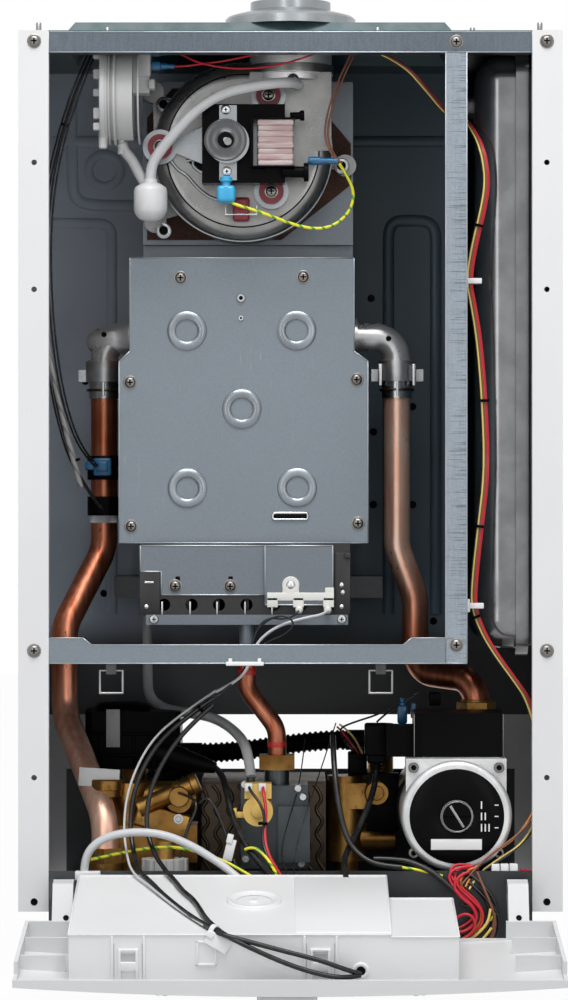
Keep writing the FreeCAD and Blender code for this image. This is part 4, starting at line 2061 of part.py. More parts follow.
SENSING_HOSE_ROUTE = [
    (6, 234.4, 36), (6, 254, 36), (-12, 266, 38), (-32, 267, 41), (-54, 267, 46), (-74, 264, 58),
    (-90, 258, 74), (-103, 251, 89), (-112.5, 246, 102), (-112.5, 246, 112.7),
]
SWITCH_HOSE_ROUTE = [
    (-126.4, 246, 128), (-136, 246, 128), (-140, 245, 114), (-136, 245, 102), (-136, 245, 93.4),
]
AIR_HOSE_ROUTE = [
    (-122, 60, 470), (-122, 60, 512), (-112, 70, 528), (-84, 92, 540), (-62, 122, 552), (-48, 160, 566),
    (-40, 204, 574), (-32, 232, 582), (-32, 232, 594.6),
]
HARNESS_ROUTES = {
    "switch_lead_a": (
        "lead_radius",
        [
            (-112.6, 250, 20), (-98, 250, 20), (-76, 258, 20), (-50, 262, 20), (-10, 264, 20),
            (30, 262, 20), (58, 258, 12),
        ],
    ),
    "switch_lead_b": (
        "lead_radius",
        [
            (-112.6, 250, 30), (-98, 250, 30), (-76, 259, 26), (-50, 263, 25), (-10, 265, 25),
            (30, 265, 25), (60, 264, 17),
        ],
    ),
    "coil_lead_a": (
        "lead_radius",
        [(46, 246, 10), (40, 246, 26), (34, 248, 48), (28, 250, 70), (16, 250, 84), (3.2, 250, 84)],
    ),
    "coil_lead_b": (
        "lead_radius",
        [(51, 250, 10), (46, 251, 28), (39, 252, 52), (33, 252, 78), (18, 250, 94), (3.2, 250, 94)],
    ),
    "main_loom_top": (
        "bundle_radius",
        [
            (66, 256, 8), (92, 258, 18), (112, 254, 38), (124, 244, 56), (134, 240, 61), (142.5, 242, 62),
            (144.2, 256, 66), (145.5, 272, 80), (146, 279, 110), (145, 279, 180), (145, 279, 240),
            (147, 279, 300), (150, 279, 360), (152, 279, 420), (150, 279, 470), (148, 276, 510),
            (160, 272, 530), (186, 270, 545), (196, 268, 575), (196, 268, 606),
        ],
    ),
    "main_loom_side": (
        "bundle_radius",
        [
            (66, 248, 14), (90, 250, 26), (108, 246, 46), (121, 238, 64), (134, 235.6, 68.8),
            (142.5, 238, 70), (144.2, 254, 78), (149, 270, 92), (154, 278, 114), (152, 279, 186),
            (152, 279, 240), (154, 279, 300), (157, 279, 360), (159, 279, 420), (157, 279, 470),
            (156, 277, 505), (170, 274, 524), (192, 272, 540), (202.5, 268, 572), (202.5, 268, 606),
        ],
    ),
    "sensor_loom": (
        "bundle_radius",
        [
            (-156, 252, 8), (-162, 258, 24), (-172, 260, 50), (-184, 252, 86), (-193, 240, 130),
            (-196, 222, 180), (-194, 198, 240), (-186, 170, 296), (-172, 148, 334), (-158, 136.2, 346),
        ],
    ),
    "thermistor_lead": (
        "lead_radius",
        [
            (-161, 242, 8), (-168, 248, 24), (-179, 250, 52), (-191, 240, 90), (-201, 226, 134),
            (-204, 206, 184), (-202, 182, 244), (-195, 158, 300), (-180, 144, 350), (-158, 136.2, 378),
        ],
    ),
    "electrode_lead_a": (
        "lead_radius",
        [
            (7, 232.4, 460), (7, 242, 460), (2, 248, 474), (-14, 249, 484), (-30, 250, 492),
            (-36, 252, 508), (-48, 254, 520), (-62, 258, 530),
        ],
    ),
    "electrode_lead_b": (
        "lead_radius",
        [
            (30, 232.4, 460), (30, 243, 460), (20, 252, 478), (-4, 254, 488), (-28, 256, 496),
            (-38, 259, 516), (-50, 261, 527), (-62, 264, 536),
        ],
    ),
}
CONTROL_ROUTES = {
    "ignition_lead_a": (
        "bundle_radius",
        [
            (-62.6, 258.2, 530.4), (-83.6, 264.2, 545.4), (-108, 268, 568), (-124, 274, 596),
            (-129, 282, 626), (-121, 294, 646), (-104, 312, 658), (-88, 340, 665), (-80, 372, 671),
            (-72, 410, 679), (-62, 446, 686),
        ],
    ),
    "ignition_lead_b": (
        "bundle_radius",
        [
            (-62.6, 264.2, 536.5), (-83.6, 269.4, 552.2), (-102, 275, 576), (-114, 281, 602),
            (-118, 288, 630), (-109, 298, 648), (-93, 316, 659), (-77, 344, 665), (-69, 376, 672),
            (-61, 412, 679), (-53, 447, 686),
        ],
    ),
    "valve_lead": (
        "lead_radius",
        [
            (-24, 260.6, 601), (-24, 271, 601), (-20, 283, 612), (-16, 292, 632), (-14, 304, 650),
            (-10, 326, 659), (-6, 350, 666),
        ],
    ),
    "valve_lead_return": (
        "lead_radius",
        [
            (-30, 260.6, 601), (-30, 272, 601), (-29, 284, 615), (-26, 294, 636), (-24, 308, 652),
            (-20, 330, 660), (-16, 354, 667),
        ],
    ),
    "pump_cable": (
        "cable_radius",
        [
            (84, 252.6, 564), (84, 263, 564), (75, 275, 584), (66, 284, 612), (58, 292, 636),
            (48, 306, 650), (40, 330, 658), (36, 356, 665),
        ],
    ),
    "loom_lead_a": (
        "bundle_radius",
        [
            (196, 268, 606.6), (196, 268, 622), (184, 282, 640), (162, 298, 652), (136, 316, 659),
            (114, 340, 669),
        ],
    ),
    "loom_lead_b": (
        "bundle_radius",
        [
            (202.5, 268, 606.6), (202.5, 268, 628), (185, 280, 646), (164, 304, 656), (142, 328, 664),
            (120, 352, 671),
        ],
    ),
}


def routed(name, route, radius, bore=0.0):
    """A hose or wire through its points, each arc as large as its runs allow."""
    lift = number("hanger_drop")
    return bent_tube(name, [V(x, -out, lift - drop) for x, out, drop in route], radius, bore)


def hoses():
    profile = [
        ("0", "trap_top_drop"), ("trap_neck_radius", "trap_top_drop"),
        ("trap_neck_radius", "trap_top_drop + trap_neck_height"),
        ("trap_radius", "trap_top_drop + trap_neck_height * 2"),
        ("trap_radius", "trap_top_drop + trap_height - trap_neck_height"),
        ("trap_radius - trap_neck_height", "trap_top_drop + trap_height"),
        ("0", "trap_top_drop + trap_height"),
    ]
    trap = turned_up("trap_bulb", "trap_x", "trap_out", profile)
    bore = number("hose_bore_radius")
    tubes = [routed("sensing_hose", SENSING_HOSE_ROUTE, number("hose_radius"), bore),
             routed("switch_hose", SWITCH_HOSE_ROUTE, number("hose_radius"), bore),
             routed("air_hose", AIR_HOSE_ROUTE, number("air_hose_radius"), bore)]
    piece("silicone_hoses", group("hoses", [trap, *tubes]))


def wiring():
    things = [routed(name, route, number(size)) for name, (size, route) in HARNESS_ROUTES.items()]
    for name, x in (("a", "electrode_left_x"), ("b", "electrode_right_x")):
        things.append(
            stub(
                f"electrode_{name}", x, "electrode_drop",
                ("burner_front_out", "burner_front_out + electrode_length"), "electrode_radius",
            )
        )
    for name, top, length in (
        ("sensor", "sensor_drop", "sensor_length"), ("thermistor", "thermistor_drop", "thermistor_length"),
    ):
        span = (f"{top} - {length} / 2", f"{top} + {length} / 2")
        ring = pillar(f"{name}_ring", "flow_x", "flow_out", span, "pipe_radius + sensor_wall")
        head = slab(
            f"{name}_head", ("flow_x - sensor_wall * 2", "flow_x + sensor_wall * 2"),
            ("flow_out", "flow_out + pipe_radius + sensor_wall * 4"), span,
        )
        bore = pillar(
            f"{name}_bore", "flow_x", "flow_out", (f"{span[0]} - overrun", f"{span[1]} + overrun"),
            "pipe_radius + running_gap",
        )
        things.append(cut(f"{name}_clip", fuse(f"{name}_solid", [ring, head]), [bore]))
    piece("wiring_harness", group("harness", things))
    leads = [routed(name, route, number(size)) for name, (size, route) in CONTROL_ROUTES.items()]
    piece("control_leads", group("leads", leads))


def screws():
    things = []
    for i, (x, drop, face) in enumerate(seats):
        head = stub(f"screw_head_{i}", x, drop, (face, f"{face} + screw_head_height"), "screw_head_radius")
        shank = stub(f"screw_shank_{i}", x, drop, (f"{face} - screw_reach", face), "screw_radius")
        things.append(fuse(f"screw_{i}", [head, shank]))
    piece("screws", group("screw_set", things))


def write_parts():
    doc.recompute()
    bad = [thing.Name for thing in doc.Objects if {"Invalid", "Error"} & set(thing.State)]
    bad += [node for node, thing in pieces.items() if thing.Shape.isNull() or not thing.Shape.isValid()]
    if bad:
        raise RuntimeError(f"not built: {bad}")
    os.makedirs("parts", exist_ok=True)
    for node, thing in pieces.items():
        thing.Shape.exportStep(f"parts/{node}.step")
        print(f"{node}: {len(thing.Shape.Solids)} solids, {thing.Shape.Volume / 1000:.1f} cubic cm")


fill_sheet()
side_panel("left_side_panel", -1)
side_panel("right_side_panel", 1)
back_panel()
top_panel()
front_frame()
chamber()
bottom_tray()
flue()
flue_hood()
fan_scroll()
fan_motor()
fan_rotor()
switch_bracket = pressure_switch()
heat_exchanger()
exchanger_elbows()
combustion_chamber()
burner()
pipes()
brass_fittings()
gas_valve()
plate_exchanger()
left_manifold()
diverter_actuator()
right_manifold()
drain_hose()
pump()
expansion_vessel()
clips_and_brackets(switch_bracket)
wire_bails()
fascia()
lid()
dials()
hoses()
wiring()
screws()
write_parts()
print(f"{len(pieces)} pieces")
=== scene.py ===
"""A wall-hung gas boiler, open for service: finishes, leads and fine pieces around its solids."""
import math

import bmesh
import bpy
from mathutils import Matrix, Vector


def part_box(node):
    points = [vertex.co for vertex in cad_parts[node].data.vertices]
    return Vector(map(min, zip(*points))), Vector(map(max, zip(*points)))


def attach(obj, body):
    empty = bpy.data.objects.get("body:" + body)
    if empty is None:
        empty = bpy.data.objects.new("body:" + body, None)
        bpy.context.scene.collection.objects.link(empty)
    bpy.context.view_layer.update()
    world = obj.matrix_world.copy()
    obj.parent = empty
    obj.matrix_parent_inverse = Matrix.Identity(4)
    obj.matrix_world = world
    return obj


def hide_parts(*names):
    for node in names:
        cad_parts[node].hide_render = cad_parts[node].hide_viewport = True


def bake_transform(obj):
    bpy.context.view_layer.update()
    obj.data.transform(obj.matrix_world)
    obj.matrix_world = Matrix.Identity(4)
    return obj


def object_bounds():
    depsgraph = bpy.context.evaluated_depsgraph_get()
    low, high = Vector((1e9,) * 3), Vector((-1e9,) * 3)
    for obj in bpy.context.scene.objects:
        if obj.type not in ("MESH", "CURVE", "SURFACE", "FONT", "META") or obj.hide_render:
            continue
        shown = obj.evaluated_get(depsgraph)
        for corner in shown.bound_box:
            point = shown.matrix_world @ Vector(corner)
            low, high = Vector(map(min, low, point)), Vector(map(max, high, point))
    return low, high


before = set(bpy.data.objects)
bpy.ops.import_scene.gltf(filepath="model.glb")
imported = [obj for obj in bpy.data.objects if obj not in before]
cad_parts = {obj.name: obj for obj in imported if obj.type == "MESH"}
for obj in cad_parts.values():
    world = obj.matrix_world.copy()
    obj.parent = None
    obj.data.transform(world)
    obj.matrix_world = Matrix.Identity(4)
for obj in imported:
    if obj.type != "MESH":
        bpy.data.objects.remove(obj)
cad_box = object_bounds()
scene = bpy.context.scene

MM = 0.001
WELD = 1e-6
HANGER_DROP = 30
FRONT = Vector((0, -1, 0))
UP = Vector((0, 0, 1))
RIGHT = Vector((1, 0, 0))


def at(x, out, drop):
    """A point by its millimetres right of the middle, out from the wall and down from the casing's top."""
    return Vector((x, -out, HANGER_DROP - drop)) * MM


HINGE = at(0, 320, 677)
OPEN_ANGLE = math.radians(98)
SWING_OPEN = (Matrix.Translation(HINGE) @ Matrix.Rotation(OPEN_ANGLE, 4, "X")
              @ Matrix.Translation(-HINGE))


# Finishes

class Shade:
    """A socket of a node tree, with the arithmetic that adds Math nodes behind it."""

    def __init__(self, nodes, socket):
        self.nodes = nodes
        self.socket = socket

    def math(self, operation, first, second):
        return self.nodes.node("ShaderNodeMath", {"operation": operation}, {0: first, 1: second})

    def __add__(self, other):
        return self.math("ADD", self, other)

    def __rsub__(self, other):
        return self.math("SUBTRACT", other, self)

    def __mul__(self, other):
        return self.math("MULTIPLY", self, other)


class Nodes:
    """A node tree and the one way to add a node: its type, its settings, then its sockets."""

    def __init__(self, tree):
        self.tree = tree

    def node(self, kind, settings, sockets, result=0):
        made = self.tree.nodes.new(kind)
        for name, value in settings.items():
            setattr(made, name, value)
        for key, value in sockets.items():
            self.feed(made.inputs[key], value)
        return Shade(self, made.outputs[result])

    def feed(self, socket, value):
        if isinstance(value, Shade):
            self.tree.links.new(value.socket, socket)
        else:
            socket.default_value = value

    def mix(self, factor, first, second):
        return self.node("ShaderNodeMix", {"data_type": "RGBA"}, {0: factor, 6: first, 7: second}, 2)

    def backdrop_rays(self):
        """One for the rays that see the backdrop as white: camera, reflected and transmitted rays."""
        camera_ray, glossy_ray, clear_ray = (
            self.node("ShaderNodeLightPath", {}, {}, key)
            for key in ("Is Camera Ray", "Is Glossy Ray", "Is Transmission Ray"))
        return camera_ray + glossy_ray + clear_ray


class Finish(Nodes):
    """One material and its nodes."""

    def __init__(self, name):
        self.material = bpy.data.materials.new(name)
        self.material.use_nodes = True
        super().__init__(self.material.node_tree)
        self.surface = self.tree.nodes["Principled BSDF"]
        self.place = self.node("ShaderNodeTexCoord", {}, {}, "Object")

    def spread(self, stretch):
        return self.node("ShaderNodeMapping", {}, {"Vector": self.place, "Scale": stretch})

    def grain(self, scale, detail, stretch=None):
        where = self.place if stretch is None else self.spread(stretch)
        return self.node("ShaderNodeTexNoise", {}, {"Vector": where, "Scale": scale, "Detail": detail})

    def cells(self, scale):
        colour = self.node("ShaderNodeTexVoronoi", {}, {"Vector": self.place, "Scale": scale}, "Color")
        return self.node("ShaderNodeSeparateColor", {}, {0: colour})

    def level(self, value, low, high):
        return self.node("ShaderNodeMapRange", {"interpolation_type": "SMOOTHSTEP"},
                         {"Value": value, "From Min": low, "From Max": high})

    def facing(self, axis):
        normal = self.node("ShaderNodeNewGeometry", {}, {}, "Normal")
        return self.node("ShaderNodeSeparateXYZ", {}, {0: normal}, axis)

    def along(self, axis):
        return self.node("ShaderNodeSeparateXYZ", {}, {0: self.place}, axis)

    def dress(self, height=None, depth=0.0, **sockets):
        """Feeds the surface: sockets by name with _ for a space, and a bump of that depth in metres."""
        if height is not None:
            bump = self.node("ShaderNodeBump", {}, {"Strength": 1.0, "Distance": depth, "Height": height})
            self.feed(self.surface.inputs["Normal"], bump)
        for name, value in sockets.items():
            self.feed(self.surface.inputs[name.replace("_", " ")], value)
        return self.material


def tone(colour, share=1.0):
    return tuple(part * share for part in colour) + (1.0,)


def enamel(name, colour, sheen, soil):
    """Stoved paint on sheet: a faint orange peel, a little uneven gloss, dust on what faces up."""
    finish = Finish(name)
    broad = finish.grain(7.0, 4.0)
    speck = finish.level(finish.grain(420.0, 2.0), 0.70, 0.78)
    peel = finish.grain(1500.0, 1.0)
    dust = finish.level(finish.facing(2), 0.3, 0.95) * finish.level(finish.grain(60.0, 5.0), 0.3, 0.7)
    body = finish.mix(finish.level(broad, 0.35, 0.7), tone(colour, 1.0 - soil), tone(colour))
    body = finish.mix(speck * 0.25, body, tone(colour, 0.6))
    body = finish.mix(dust * 0.22, body, (0.45, 0.44, 0.42, 1.0))
    return finish.dress(peel, 0.00003, Base_Color=body, Roughness=broad * 0.16 + dust * 0.25 + (sheen - 0.05))


def zinc(name, colour, metal, streak=(1, 1, 0.2), rough=0.3, contrast=0.1, nicked=None):
    """Galvanised sheet: a fine crystal grain, drawn streaks, clouds, scuffs, and nicks along one edge."""
    finish = Finish(name)
    spangle = finish.cells(1500.0)
    drawn = finish.grain(1100.0, 4.0, streak)
    cloud = finish.grain(6.0, 4.0)
    scuff = finish.level(finish.grain(700.0, 2.0, (1, 1, 0.05)), 0.69, 0.74) * finish.level(cloud, 0.52, 0.6)
    value = spangle * 0.2 + drawn * 0.45 + cloud * 0.35
    body = finish.mix(finish.level(value, 0.28, 0.72), tone(colour, 1 - contrast), tone(colour, 1 + contrast))
    body = finish.mix(scuff * 0.5, body, tone(colour, 1.7))
    if nicked is not None:
        nicks = finish.grain(1100.0, 3.0, (0.035, 1, 1)) + finish.level(finish.along(0), *nicked) * 0.17
        body = finish.mix(finish.level(nicks, 0.70, 0.76) * 0.6, body, tone(colour, 0.3))
    return finish.dress(drawn + spangle * 0.4, 0.000008, Base_Color=body, Metallic=metal,
                        Roughness=spangle * 0.04 + drawn * 0.12 + rough)


def cast(name, colour, rough, sand=0.00008, metal=0.85, specular=0.5):
    """Die-cast alloy: a sandy skin, dull clouds and darker hollows."""
    finish = Finish(name)
    skin = finish.grain(1100.0, 3.0)
    cloud = finish.grain(45.0, 5.0)
    stain = finish.level(finish.grain(18.0, 5.0), 0.5, 0.72)
    body = finish.mix(finish.level(cloud, 0.3, 0.7), tone(colour, 0.84), tone(colour, 1.1))
    body = finish.mix(stain * 0.35, body, tone(colour, 0.6))
    return finish.dress(skin + cloud, sand, Base_Color=body, Metallic=metal, Specular_IOR_Level=specular,
                        Roughness=cloud * 0.16 + stain * 0.1 + (rough - 0.1))


def painted_light_enamel(name, colour, deep):
    """Stoved paint inside the casing, with painted light and shade: paler on the left as painted light, deeper
    on the right and near black low down as painted shade.
    """
    finish = Finish(name)
    broad = finish.grain(7.0, 4.0)
    peel = finish.grain(1500.0, 1.0)
    speck = finish.level(finish.grain(380.0, 2.0), 0.70, 0.78)
    # painted light: the left paler and the right deeper, by how the lamps reach into the casing
    side = finish.level(finish.along(0), -0.15, 0.04)
    body = finish.mix(side, tone(colour), tone(deep))
    body = finish.mix(finish.level(broad, 0.4, 0.7) * 0.3, body, tone(deep))
    body = finish.mix(speck * 0.2, body, (0.2, 0.2, 0.2, 1))
    # painted shade: near black low down
    body = finish.mix(finish.level(finish.along(2), -0.44, -0.475) * 0.93, body, (0.014, 0.0135, 0.0135, 1))
    return finish.dress(peel, 0.00003, Base_Color=body, Roughness=broad * 0.16 + 0.29,
                        Specular_IOR_Level=0.4)


def bracket_steel(name):
    """Small pressings: bright clips above, dark brackets beside the burner and below."""
    finish = Finish(name)
    skin = finish.grain(900.0, 3.0)
    cloud = finish.grain(60.0, 4.0)
    bright = finish.level(finish.along(2), -0.33, -0.29)
    value = finish.level(cloud, 0.3, 0.7)
    body = finish.mix(bright, finish.mix(value, (0.05, 0.052, 0.055, 1), (0.085, 0.088, 0.092, 1)),
                      finish.mix(value, (0.38, 0.39, 0.40, 1), (0.55, 0.56, 0.57, 1)))
    return finish.dress(skin, 0.00002, Base_Color=body, Metallic=bright * 0.6 + 0.35,
                        Roughness=cloud * 0.2 + 0.26)


def copper(name, share, painted_light_from=None, painted_light_to=None):
    """Drawn copper tube: long streaks, brown patina, dark marks, and a pale, less metallic stretch between two
    heights that is painted light for the lamps' reflection.
    """
    finish = Finish(name)
    drawn = finish.grain(240.0, 4.0, (1, 1, 0.08))
    bloom = finish.grain(26.0, 5.0)
    marks = finish.level(finish.grain(300.0, 3.0, (1, 1, 0.35)), 0.64, 0.72) * finish.level(bloom, 0.46, 0.62)
    value = finish.level(drawn * 0.6 + bloom * 0.5, 0.35, 0.75)
    body = finish.mix(value, tone((0.46, 0.11, 0.045), share), tone((0.82, 0.32, 0.19), share))
    rough = drawn * 0.2 + marks * 0.3 + 0.22
    metal = 0.92
    # painted light: the pale stretch stands in for the lamps' reflection
    if painted_light_from is not None:
        stretch = finish.level(finish.along(2), painted_light_from, painted_light_to)
        body = finish.mix(stretch * 0.85, body, finish.mix(value, (1.0, 0.52, 0.36, 1), (1.0, 0.80, 0.66, 1)))
        rough = rough + stretch * 0.04
        metal = 0.92 - stretch * 0.25
    body = finish.mix(marks * 0.8, body, (0.09, 0.03, 0.018, 1))
    return finish.dress(drawn, 0.00003, Base_Color=body, Metallic=metal, Roughness=rough)


def brass(name):
    """Hot-pressed brass: a blasted skin with brown oxide in patches."""
    finish = Finish(name)
    skin = finish.grain(1500.0, 2.0)
    cloud = finish.grain(30.0, 5.0)
    spots = finish.level(finish.grain(210.0, 4.0), 0.60, 0.70)
    body = finish.mix(finish.level(cloud, 0.3, 0.7), (0.17, 0.08, 0.018, 1), (0.44, 0.25, 0.07, 1))
    body = finish.mix(spots * 0.45, body, (0.10, 0.05, 0.015, 1))
    return finish.dress(skin, 0.00008, Base_Color=body, Metallic=0.9,
                        Roughness=cloud * 0.2 + spots * 0.15 + 0.24)


def moulded(name, colour, rough, texture=0.00003, soil=0.1, specular=0.5):
    """Moulded plastic: spark-eroded grain, slight flow clouds."""
    finish = Finish(name)
    erode = finish.grain(2600.0, 1.0)
    flow = finish.grain(9.0, 3.0)
    body = finish.mix(finish.level(flow, 0.3, 0.7), tone(colour, 1.0 - soil), tone(colour))
    return finish.dress(erode, texture, Base_Color=body, Specular_IOR_Level=specular,
                        Roughness=flow * 0.14 + erode * 0.08 + (rough - 0.1))


def sheathed(name, colour, rough=0.3, dusty=0.08):
    """Extruded insulation: smooth, with a little dust."""
    finish = Finish(name)
    dust = finish.level(finish.grain(60.0, 4.0), 0.45, 0.8)
    body = finish.mix(dust * dusty, tone(colour), (0.40, 0.38, 0.36, 1))
    return finish.dress(finish.grain(700.0, 2.0), 0.00002, Base_Color=body, Roughness=dust * 0.2 + rough,
                        Specular_IOR_Level=0.35)


def striped(name, colour, stripe, pitch=62.0):
    """Two-colour insulation, the second one wound round it."""
    finish = Finish(name)
    wave = finish.node("ShaderNodeTexWave", {"bands_direction": "DIAGONAL"},
                       {"Vector": finish.place, "Scale": pitch, "Distortion": 1.0}, "Fac")
    body = finish.mix(finish.level(wave, 0.76, 0.82), tone(colour), tone(stripe))
    return finish.dress(finish.grain(700.0, 2.0), 0.00002, Base_Color=body, Roughness=wave * 0.05 + 0.3)


def clear_rubber(name, colour):
    """Milky silicone."""
    finish = Finish(name)
    haze = finish.grain(40.0, 3.0)
    body = finish.mix(finish.level(haze, 0.3, 0.7), tone(colour, 0.9), tone(colour))
    return finish.dress(finish.grain(500.0, 2.0), 0.00002, Base_Color=body, Roughness=haze * 0.14 + 0.26,
                        Transmission_Weight=0.25, IOR=1.41, Subsurface_Weight=0.25,
                        Subsurface_Radius=(0.004, 0.004, 0.004), Subsurface_Scale=1.0)


def wound_tape(name):
    """Cotton tape wound over a coil: flat turns, each with its edge and weave."""
    finish = Finish(name)
    weave = finish.grain(1900.0, 2.0, (1, 1, 3))
    turns = finish.level(finish.grain(330.0, 2.0, (0.12, 0.12, 1)), 0.35, 0.65)
    body = finish.mix(turns, (0.42, 0.29, 0.285, 1), (0.54, 0.46, 0.455, 1))
    return finish.dress(weave + turns, 0.00015, Base_Color=body, Roughness=weave * 0.2 + 0.7)


def fibre_board(name):
    """Pressed gasket board."""
    finish = Finish(name)
    fibre = finish.grain(800.0, 4.0)
    cloud = finish.grain(50.0, 4.0)
    body = finish.mix(finish.level(fibre * 0.6 + cloud * 0.4, 0.35, 0.65), (0.028, 0.011, 0.007, 1),
                      (0.085, 0.034, 0.02, 1))
    return finish.dress(fibre, 0.0002, Base_Color=body, Roughness=cloud * 0.15 + 0.75)


LOOKS = {
    "white_enamel": (enamel, (0.70, 0.70, 0.708), 0.34, 0.03),
    # grey_enamel: its first colour is painted light on the left, its second painted shade on the right
    "grey_enamel": (painted_light_enamel, (0.72, 0.81, 0.93), (0.115, 0.165, 0.205)),
    "top_enamel": (enamel, (0.055, 0.10, 0.11), 0.3, 0.15),
    "vessel_enamel": (cast, (0.215, 0.218, 0.222), 0.2, 0.00001, 0.85),
    "zinc_rail": (zinc, (0.256, 0.295, 0.335), 0.55, (1, 1, 0.06), 0.3, 0.16, (0.112, 0.138)),
    "zinc_shaded": (zinc, (0.105, 0.127, 0.150), 0.6, (1, 1, 0.06), 0.3, 0.2),
    # pressed_zinc: paler than the plate's zinc, a painted highlight on the pressed rings
    "pressed_zinc": (cast, (0.25, 0.28, 0.305), 0.3, 0.000004, 0.8),
    # edge_zinc: paler than the plates and rails, a painted highlight along their edges
    "edge_zinc": (cast, (0.40, 0.43, 0.46), 0.34, 0.000004, 0.85),
    "zinc_plate": (zinc, (0.182, 0.213, 0.241), 0.45, (1, 1, 0.5), 0.34),
    "zinc_cover": (zinc, (0.155, 0.177, 0.20), 0.5, (1, 1, 0.5), 0.3),
    "zinc_dark": (zinc, (0.040, 0.040, 0.040), 0.8),
    "bright_steel": (cast, (0.55, 0.56, 0.57), 0.26, 0.00002, 1.0),
    "screw_zinc": (cast, (0.21, 0.20, 0.19), 0.28, 0.00002, 1.0),
    "wire_steel": (cast, (0.30, 0.30, 0.30), 0.3, 0.00002, 1.0),
    "bracket_steel": (bracket_steel,),
    "hub_alloy": (cast, (0.10, 0.104, 0.108), 0.28, 0.00002),
    "cast_alloy": (cast, (0.27, 0.27, 0.265), 0.3),
    "bright_alloy": (cast, (0.60, 0.605, 0.61), 0.3, 0.00004, 0.65),
    # sleeve_alloy: near white as painted light, for the outlet sleeve in the top rail's shade
    "sleeve_alloy": (cast, (0.95, 0.94, 0.95), 0.42, 0.00003, 0.75),
    "collar_alloy": (cast, (0.33, 0.35, 0.365), 0.28, 0.00002),
    "pump_alloy": (cast, (0.64, 0.645, 0.65), 0.4, 0.0001, 0.5),
    "valve_alloy": (cast, (0.058, 0.068, 0.073), 0.34, 0.00005, 0.75),
    "black_iron": (cast, (0.004, 0.004, 0.0044), 0.26, 0.00003, 0.0, 0.04),
    "copper": (copper, 0.5),
    # flow_copper and return_copper: the last two numbers bound their pale stretch of painted light
    "flow_copper": (copper, 0.85, -0.47, -0.56),
    "return_copper": (copper, 0.62, -0.45, -0.36),
    "brass": (brass,),
    "black_plastic": (moulded, (0.0032, 0.0032, 0.0036), 0.3, 0.00003, 0.1, 0.035),
    "grey_plastic": (moulded, (0.50, 0.51, 0.52), 0.4),
    "white_plastic": (moulded, (0.78, 0.785, 0.79), 0.38, 0.00003, 0.03),
    "fascia_plastic": (moulded, (0.68, 0.685, 0.69), 0.38, 0.00003, 0.03),
    "ivory_plastic": (moulded, (0.54, 0.54, 0.538), 0.4, 0.00003, 0.06),
    "yellow_plastic": (moulded, (0.78, 0.52, 0.13), 0.38),
    "blue_plastic": (moulded, (0.015, 0.14, 0.30), 0.26, 0.00001),
    "light_blue_plastic": (moulded, (0.04, 0.38, 0.68), 0.24, 0.00001),
    "red_rubber": (moulded, (0.21, 0.012, 0.028), 0.42),
    "red_paint": (moulded, (0.52, 0.018, 0.012), 0.3),
    "ceramic": (moulded, (0.78, 0.77, 0.73), 0.22, 0.00001, 0.05),
    "board_green": (moulded, (0.02, 0.12, 0.06), 0.3),
    "silicone": (clear_rubber, (0.80, 0.81, 0.82)),
    "wound_tape": (wound_tape,),
    "gasket_board": (fibre_board,),
    "plate_steel": (cast, (0.070, 0.052, 0.036), 0.34, 0.00004, 0.8),
    # recess: near black, painted shade in holes, slots, openings and recesses
    "recess": (moulded, (0.005, 0.005, 0.005), 0.6, 0.00003, 0.1, 0.05),
    "red_lead": (sheathed, (0.56, 0.018, 0.035)),
    "black_lead": (sheathed, (0.010, 0.010, 0.011), 0.24, 0.03),
    "grey_lead": (sheathed, (0.56, 0.57, 0.58), 0.3),
    "brown_lead": (sheathed, (0.20, 0.075, 0.045)),
    "orange_lead": (sheathed, (0.72, 0.25, 0.04)),
    "yellow_lead": (sheathed, (0.78, 0.60, 0.16)),
    "earth_lead": (striped, (0.78, 0.72, 0.03), (0.10, 0.34, 0.03)),
    "braid": (striped, (0.46, 0.45, 0.44), (0.22, 0.22, 0.22), 90.0),
}
FINISHES = {name: make(name, *values) for name, (make, *values) in LOOKS.items()}

NODE_FINISHES = {
    "white_enamel": ["left_side_panel", "right_side_panel"],
    "grey_enamel": ["back_panel", "chamber_divider", "bottom_tray"],
    "top_enamel": ["top_panel"],
    "vessel_enamel": ["expansion_vessel"],
    "zinc_rail": ["front_right_stile"],
    "zinc_shaded": ["front_top_rail"],
    "zinc_plate": ["combustion_front_plate", "front_bottom_rail", "chamber_floor"],
    "zinc_cover": ["burner_cover", "flue_hood", "gas_manifold"],
    "zinc_dark": ["combustion_shell", "burner_tray", "burner_blades"],
    "bracket_steel": ["clips_and_brackets"],
    "wire_steel": ["left_bail", "right_bail"],
    "screw_zinc": ["screws"],
    "cast_alloy": ["fan_scroll", "fan_rotor"],
    "bright_alloy": ["flue_spigot", "exchanger_elbows"],
    "collar_alloy": ["flue_collar", "motor_frame"],
    "pump_alloy": ["pump_motor"],
    "valve_alloy": ["gas_valve"],
    "black_iron": ["motor_stator", "pump_volute", "pump_rotor"],
    "copper": ["heat_exchanger", "gas_pipe"],
    "flow_copper": ["flow_pipe"],
    "return_copper": ["return_pipe"],
    "brass": ["brass_fittings", "left_manifold", "right_manifold"],
    "black_plastic": ["pump_terminal_box", "pump_vent_plug", "diverter_actuator", "corrugated_hose"],
    "grey_plastic": ["heating_dial", "water_dial", "reset_button"],
    "white_plastic": ["control_lid"],
    "fascia_plastic": ["control_fascia"],
    "ivory_plastic": ["pressure_switch", "filling_knob"],
    "yellow_plastic": ["gas_modulator"],
    "red_rubber": ["fan_rubber_mounts"],
    "board_green": ["circuit_board"],
    "silicone": ["silicone_hoses"],
    "wound_tape": ["motor_coil"],
    "gasket_board": ["fan_gasket"],
    "plate_steel": ["plate_exchanger"],
    "black_lead": ["wiring_harness", "control_leads"],
}
